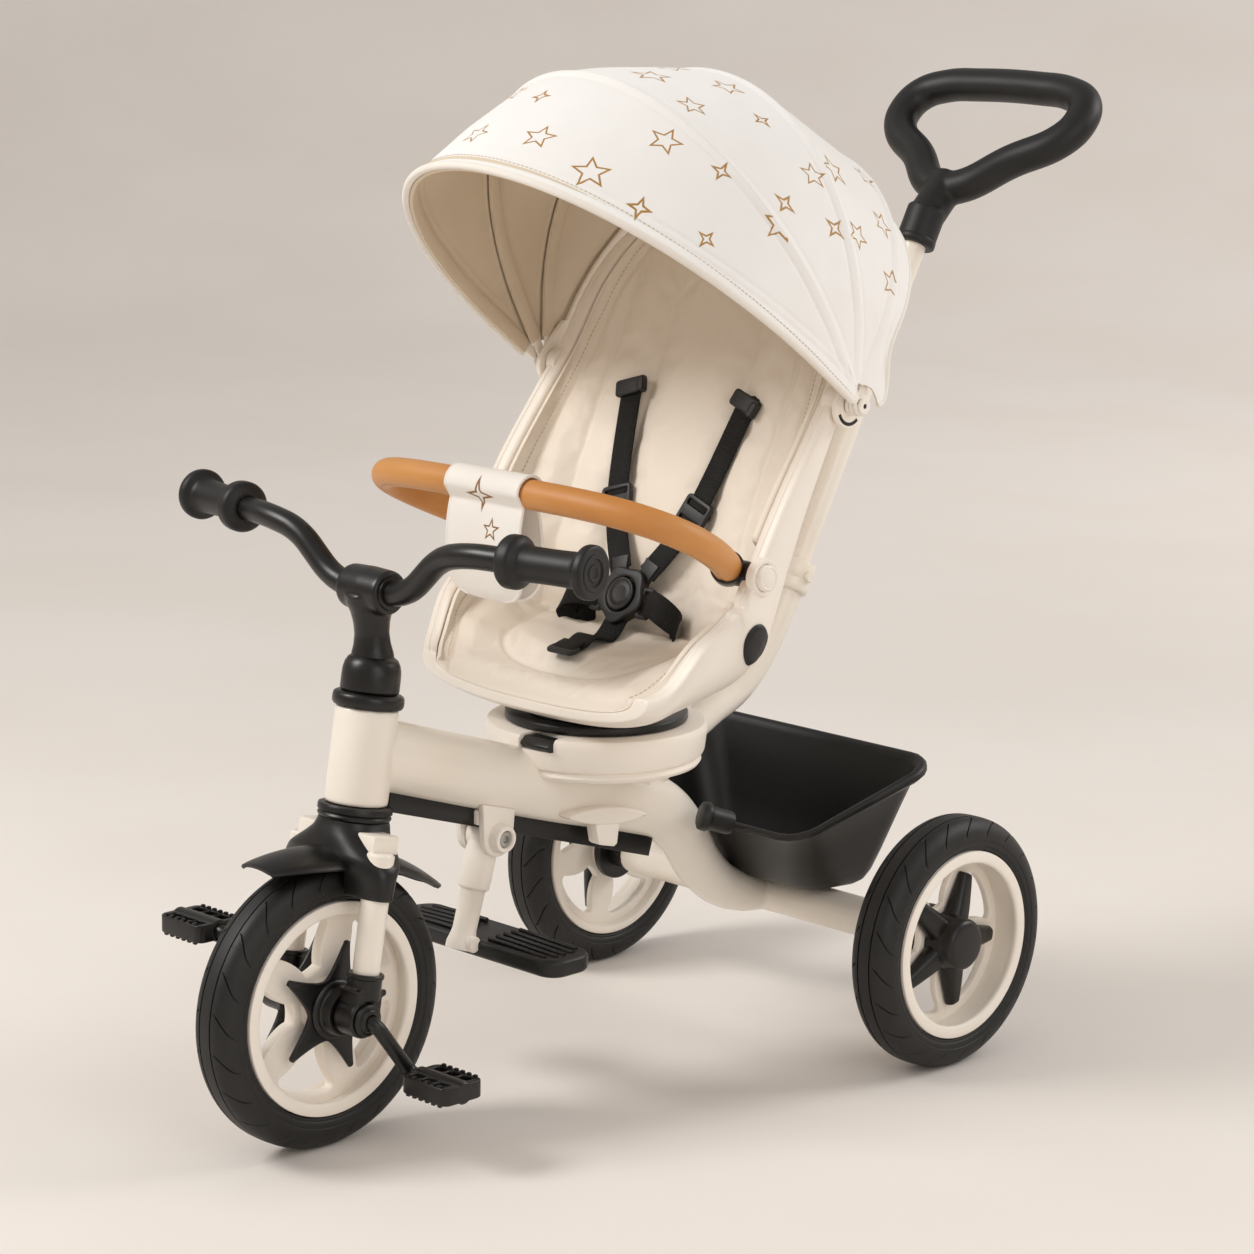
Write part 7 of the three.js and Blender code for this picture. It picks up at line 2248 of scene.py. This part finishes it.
OUTER = BOWS[3][1] + BOW_THICK / 2
HORN = [(24, 14), (27, 28), (24, 36), (14, 39), (4, 30), (-10, 15)]
bracket = bracket_arc(19, -20, 180, 30) + [(PIVOT_Y + a, PIVOT_Z + b) for a, b in HORN]
slot = bracket_arc(16.6, 20, 130) + bracket_arc(13.4, 130, 20)
PIN_PROFILE = [
    (0, 180), (4, 180), (4, OUTER + 0.4), (7.5, OUTER + 0.4), (7.5, OUTER + 1.8), (6.6, OUTER + 2.8),
    (2.6, OUTER + 2.8), (2.2, OUTER + 1.9), (0, OUTER + 1.9),
]
base_parts, slots = [bow_strip("canopy_base_moulded", BOWS[0])], []
for side in (-1, 1):
    def outwards_on(a, b, height):
        return mm(side * height, a, b)

    base_parts.append(plate("canopy_bracket", [bracket], 187.5, 193.2, 1.2, outwards_on, 3))
    base_parts.append(turned("canopy_pin", sided(side, PIN_PROFILE), PIVOT, X_AXIS, 40))
    # The slot is a thin black sheet laid on the bracket, not an opening, and the dot is a black disc in the
    # pin's hole: both are painted shade.
    slots.append(plate("canopy_slot", [slot], 192.4, 193.6, 0.3, outwards_on, 1))
    inner, outer = (mm(side * (OUTER + more), PIVOT_Y, PIVOT_Z) for more in (1.6, 2.3))
    slots.append(rod("pin_dot", inner, outer, 2.1, 0.2, 24))
base = joined("canopy_base_moulded", base_parts)
dress(base, "seat", CREAM_PLASTIC, ("canopy_base",), angle=40)
dress(joined("canopy_slots", slots), "seat", BLACK_PLASTIC)
print("canopy bows done")

# %% [markdown]
# The cloth is four panels, each stretched from one bow to the next. Where it crosses a bow it is
# raised in a soft welt between two seams, and the welts run together at the hinge. When the canopy
# folds, every point of a panel turns by its own share of the angle between its two bows.

# %% Canopy cloth
CLOTH_OUT, CLOTH_THICK = 4.1, 2.0
ANGLES = [HEM_BOW[0]] + [bow[0] for bow in BOWS]
ARCH_GROWN = 3
CLOTH_ARCHES = [[arch(half, length, CLOTH_OUT + grow, CLOTH_FROM) for grow in (0, ARCH_GROWN)]
                for _, half, length in (HEM_BOW, *BOWS)]
PANEL_STEPS = 72
FRONT_PANEL, FRONT_LEAD = 3, 5.5
CORNER_TURN, CORNER_RISE, CORNER_REACH = 52, 14, 34


def panel_lift(number, a, t, to_rear, to_front, place):
    """How far the cloth stands out at a place: welts over the bows, seams beside them, slow waves."""
    lift = 0
    for distance, stands in ((to_rear, number > 0), (to_front, True)):
        if stands:
            lift += dip(1.7, distance, 5.2) - dip(0.8, distance - 8, 1.6)
    if number == FRONT_PANEL:
        lift -= dip(0.9, to_front - 15, 1.5)
    free = math.sin(math.pi * t)
    lift += free * 2.2 * noise.noise(place * 9)
    return lift + free * 0.9 * noise.noise(Vector((a * 40, t * 3, number * 5.0)))


def on_canopy(number, a, t, extra=0.0):
    """A place of a panel: a runs along the arches, t from the rear bow to the front one."""
    low, high = ANGLES[number:number + 2]
    turn, gap = low + (high - low) * t, math.radians(high - low)
    k = round(a * ARCH_STEPS)
    (rear, rear_grown), (front, front_grown) = CLOTH_ARCHES[number], CLOTH_ARCHES[number + 1]
    x, along = (rear[k][n] * (1 - t) + front[k][n] * t for n in (0, 1))
    grow_x, grow_along = (((rear_grown[k][n] - rear[k][n]) * (1 - t) + (front_grown[k][n] - front[k][n]) * t)
                          / ARCH_GROWN for n in (0, 1))
    along *= 1 - 0.9 * (1 - math.cos(gap / 2) / math.cos(math.radians((high - low) * (t - 0.5))))
    to_rear, to_front = (along * gap * part for part in (t, 1 - t))
    lift = extra + panel_lift(number, a, t, to_rear, to_front, round_pivot(turn, x, along))
    forward = FRONT_LEAD * t ** 9 if number == FRONT_PANEL else 0
    corner = (1 - t) * dip(1, min(k, ARCH_STEPS - k) * 8.5, CORNER_REACH) if number == 0 else 0
    x, along = x + grow_x * lift, along + grow_along * lift + CORNER_RISE * corner
    return round_pivot(turn - CORNER_TURN * corner, x, along, forward)


def canopy_panel(label, number):
    """A lined panel with a UV map in metres; gives the piece, its flat size and its area."""
    panel = surface(
        f"canopy_panel_{label}_cloth", ARCH_STEPS, PANEL_STEPS, lambda a, b: on_canopy(number, a, b))
    low, high = ANGLES[number:number + 2]
    gap, rear, front = math.radians(high - low), CLOTH_ARCHES[number][0], CLOTH_ARCHES[number + 1][0]
    width = sum(math.dist(p, q) for p, q in zip(front, front[1:]))
    length = gap * front[ARCH_STEPS // 2][1]
    for loop in panel.data.uv_layers.active.data:
        a, t = loop.uv
        k = round(a * ARCH_STEPS)
        reach = rear[k][1] * (1 - t) + front[k][1] * t
        loop.uv = ((a - 0.5) * width * MM, reach * gap * (t - 0.5) * MM + PANEL_JUMP * number)
    area = sheet_area(panel)
    shares = panel.vertex_groups.new(name="turned")
    for index in range(len(panel.data.vertices)):
        shares.add([index], index // (ARCH_STEPS + 1) / PANEL_STEPS, "REPLACE")
    applied(panel, "SOLIDIFY", thickness=CLOTH_THICK * MM, offset=0.0)
    mend(panel)
    dress(panel, None, STAR_CLOTH, (f"canopy_panel_{label}",), angle=60)
    panel.data.materials.append(LINING_CLOTH)
    for face in panel.data.polygons:
        face.material_index = 0 if face.normal.dot(face.center - PIVOT) > 0 else 1
    print(label, "panel:", round(width), "x", round(length), "mm, area", round(area, 3))
    return panel, (width * MM, length * MM), area


def turned_share(panel):
    shares = panel.data.attributes["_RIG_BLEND"].data
    for point, share in zip(panel.data.vertices, shares):
        share.value = point.groups[0].weight
    panel.vertex_groups.clear()


def across_panel(number, t, extra=0.0):
    """The places of a panel at one share between its bows."""
    return [on_canopy(number, k / ARCH_STEPS, t, extra) for k in range(ARCH_STEPS + 1)]


def edge_piping(name, path, radius, body):
    return dress(tube(name, path, radius, sides=4, smooth=2), body, PIPING, angle=60)


front_hem = edge_piping("canopy_front_hem", across_panel(FRONT_PANEL, 1.0), 3.6, "canopy_front")
rear_hem = edge_piping("canopy_rear_hem", across_panel(0, 0.0), 2.4, "seat")
hem_line = across_panel(FRONT_PANEL, 0.925, 1.3)
hem_stitches = stitches("canopy_hem_stitches", [hem_line], "canopy_front", 4.4, 2.8, 0.34)
rear_panel, flat, area = canopy_panel("rear", 0)
rear_panel.vertex_groups.clear()
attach(rear_panel, "seat")
for number, label in enumerate(("third", "second", "front"), 1):
    panel, flat, area = canopy_panel(label, number)
    low, high = ANGLES[number:number + 2]
    first, last = round_pivot(low, 0, 250), round_pivot(high, 0, 300)
    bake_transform(panel, BOW_BODIES[number - 1], BOW_BODIES[number], first, last)
    turned_share(panel)
    extras = (front_hem, hem_stitches) if label == "front" else ()
print("canopy done")

# %% [markdown]
# The floor is one wide turned dish: flat under the tricycle and curving up far away, so that no
# horizon line shows. Its plaster has a very faint mottle.

# %% Floor


def plaster():
    recipe = Recipe("pale_plaster")
    cloud = recipe.noise(1.4, 4.0)
    colour = recipe.mix(cloud.between(0.3, 0.7), linear(240, 234, 228), linear(236, 229, 222))
    return recipe.finish({}, colour, 0.75 + cloud * 0.15)


FLOOR_FLAT, FLOOR_OUT, FLOOR_RISE = 5.0, 13.0, 0.11
dish = [(0, 0)]
for k in range(33):
    radius = FLOOR_FLAT + (FLOOR_OUT - FLOOR_FLAT) * k / 32
    dish.append((radius / MM, FLOOR_RISE * (radius - FLOOR_FLAT) ** 2 / MM))
dish += [(FLOOR_OUT / MM, -200), (0, -200)]
floor = turned("studio_floor", dish, Vector((0, 0, 0)), Z_AXIS, 96)
pick(floor)
bpy.ops.object.shade_smooth_by_angle(angle=math.radians(30))
floor.data.materials.clear()
floor.data.materials.append(plaster())
print("floor faces:", len(floor.data.polygons))
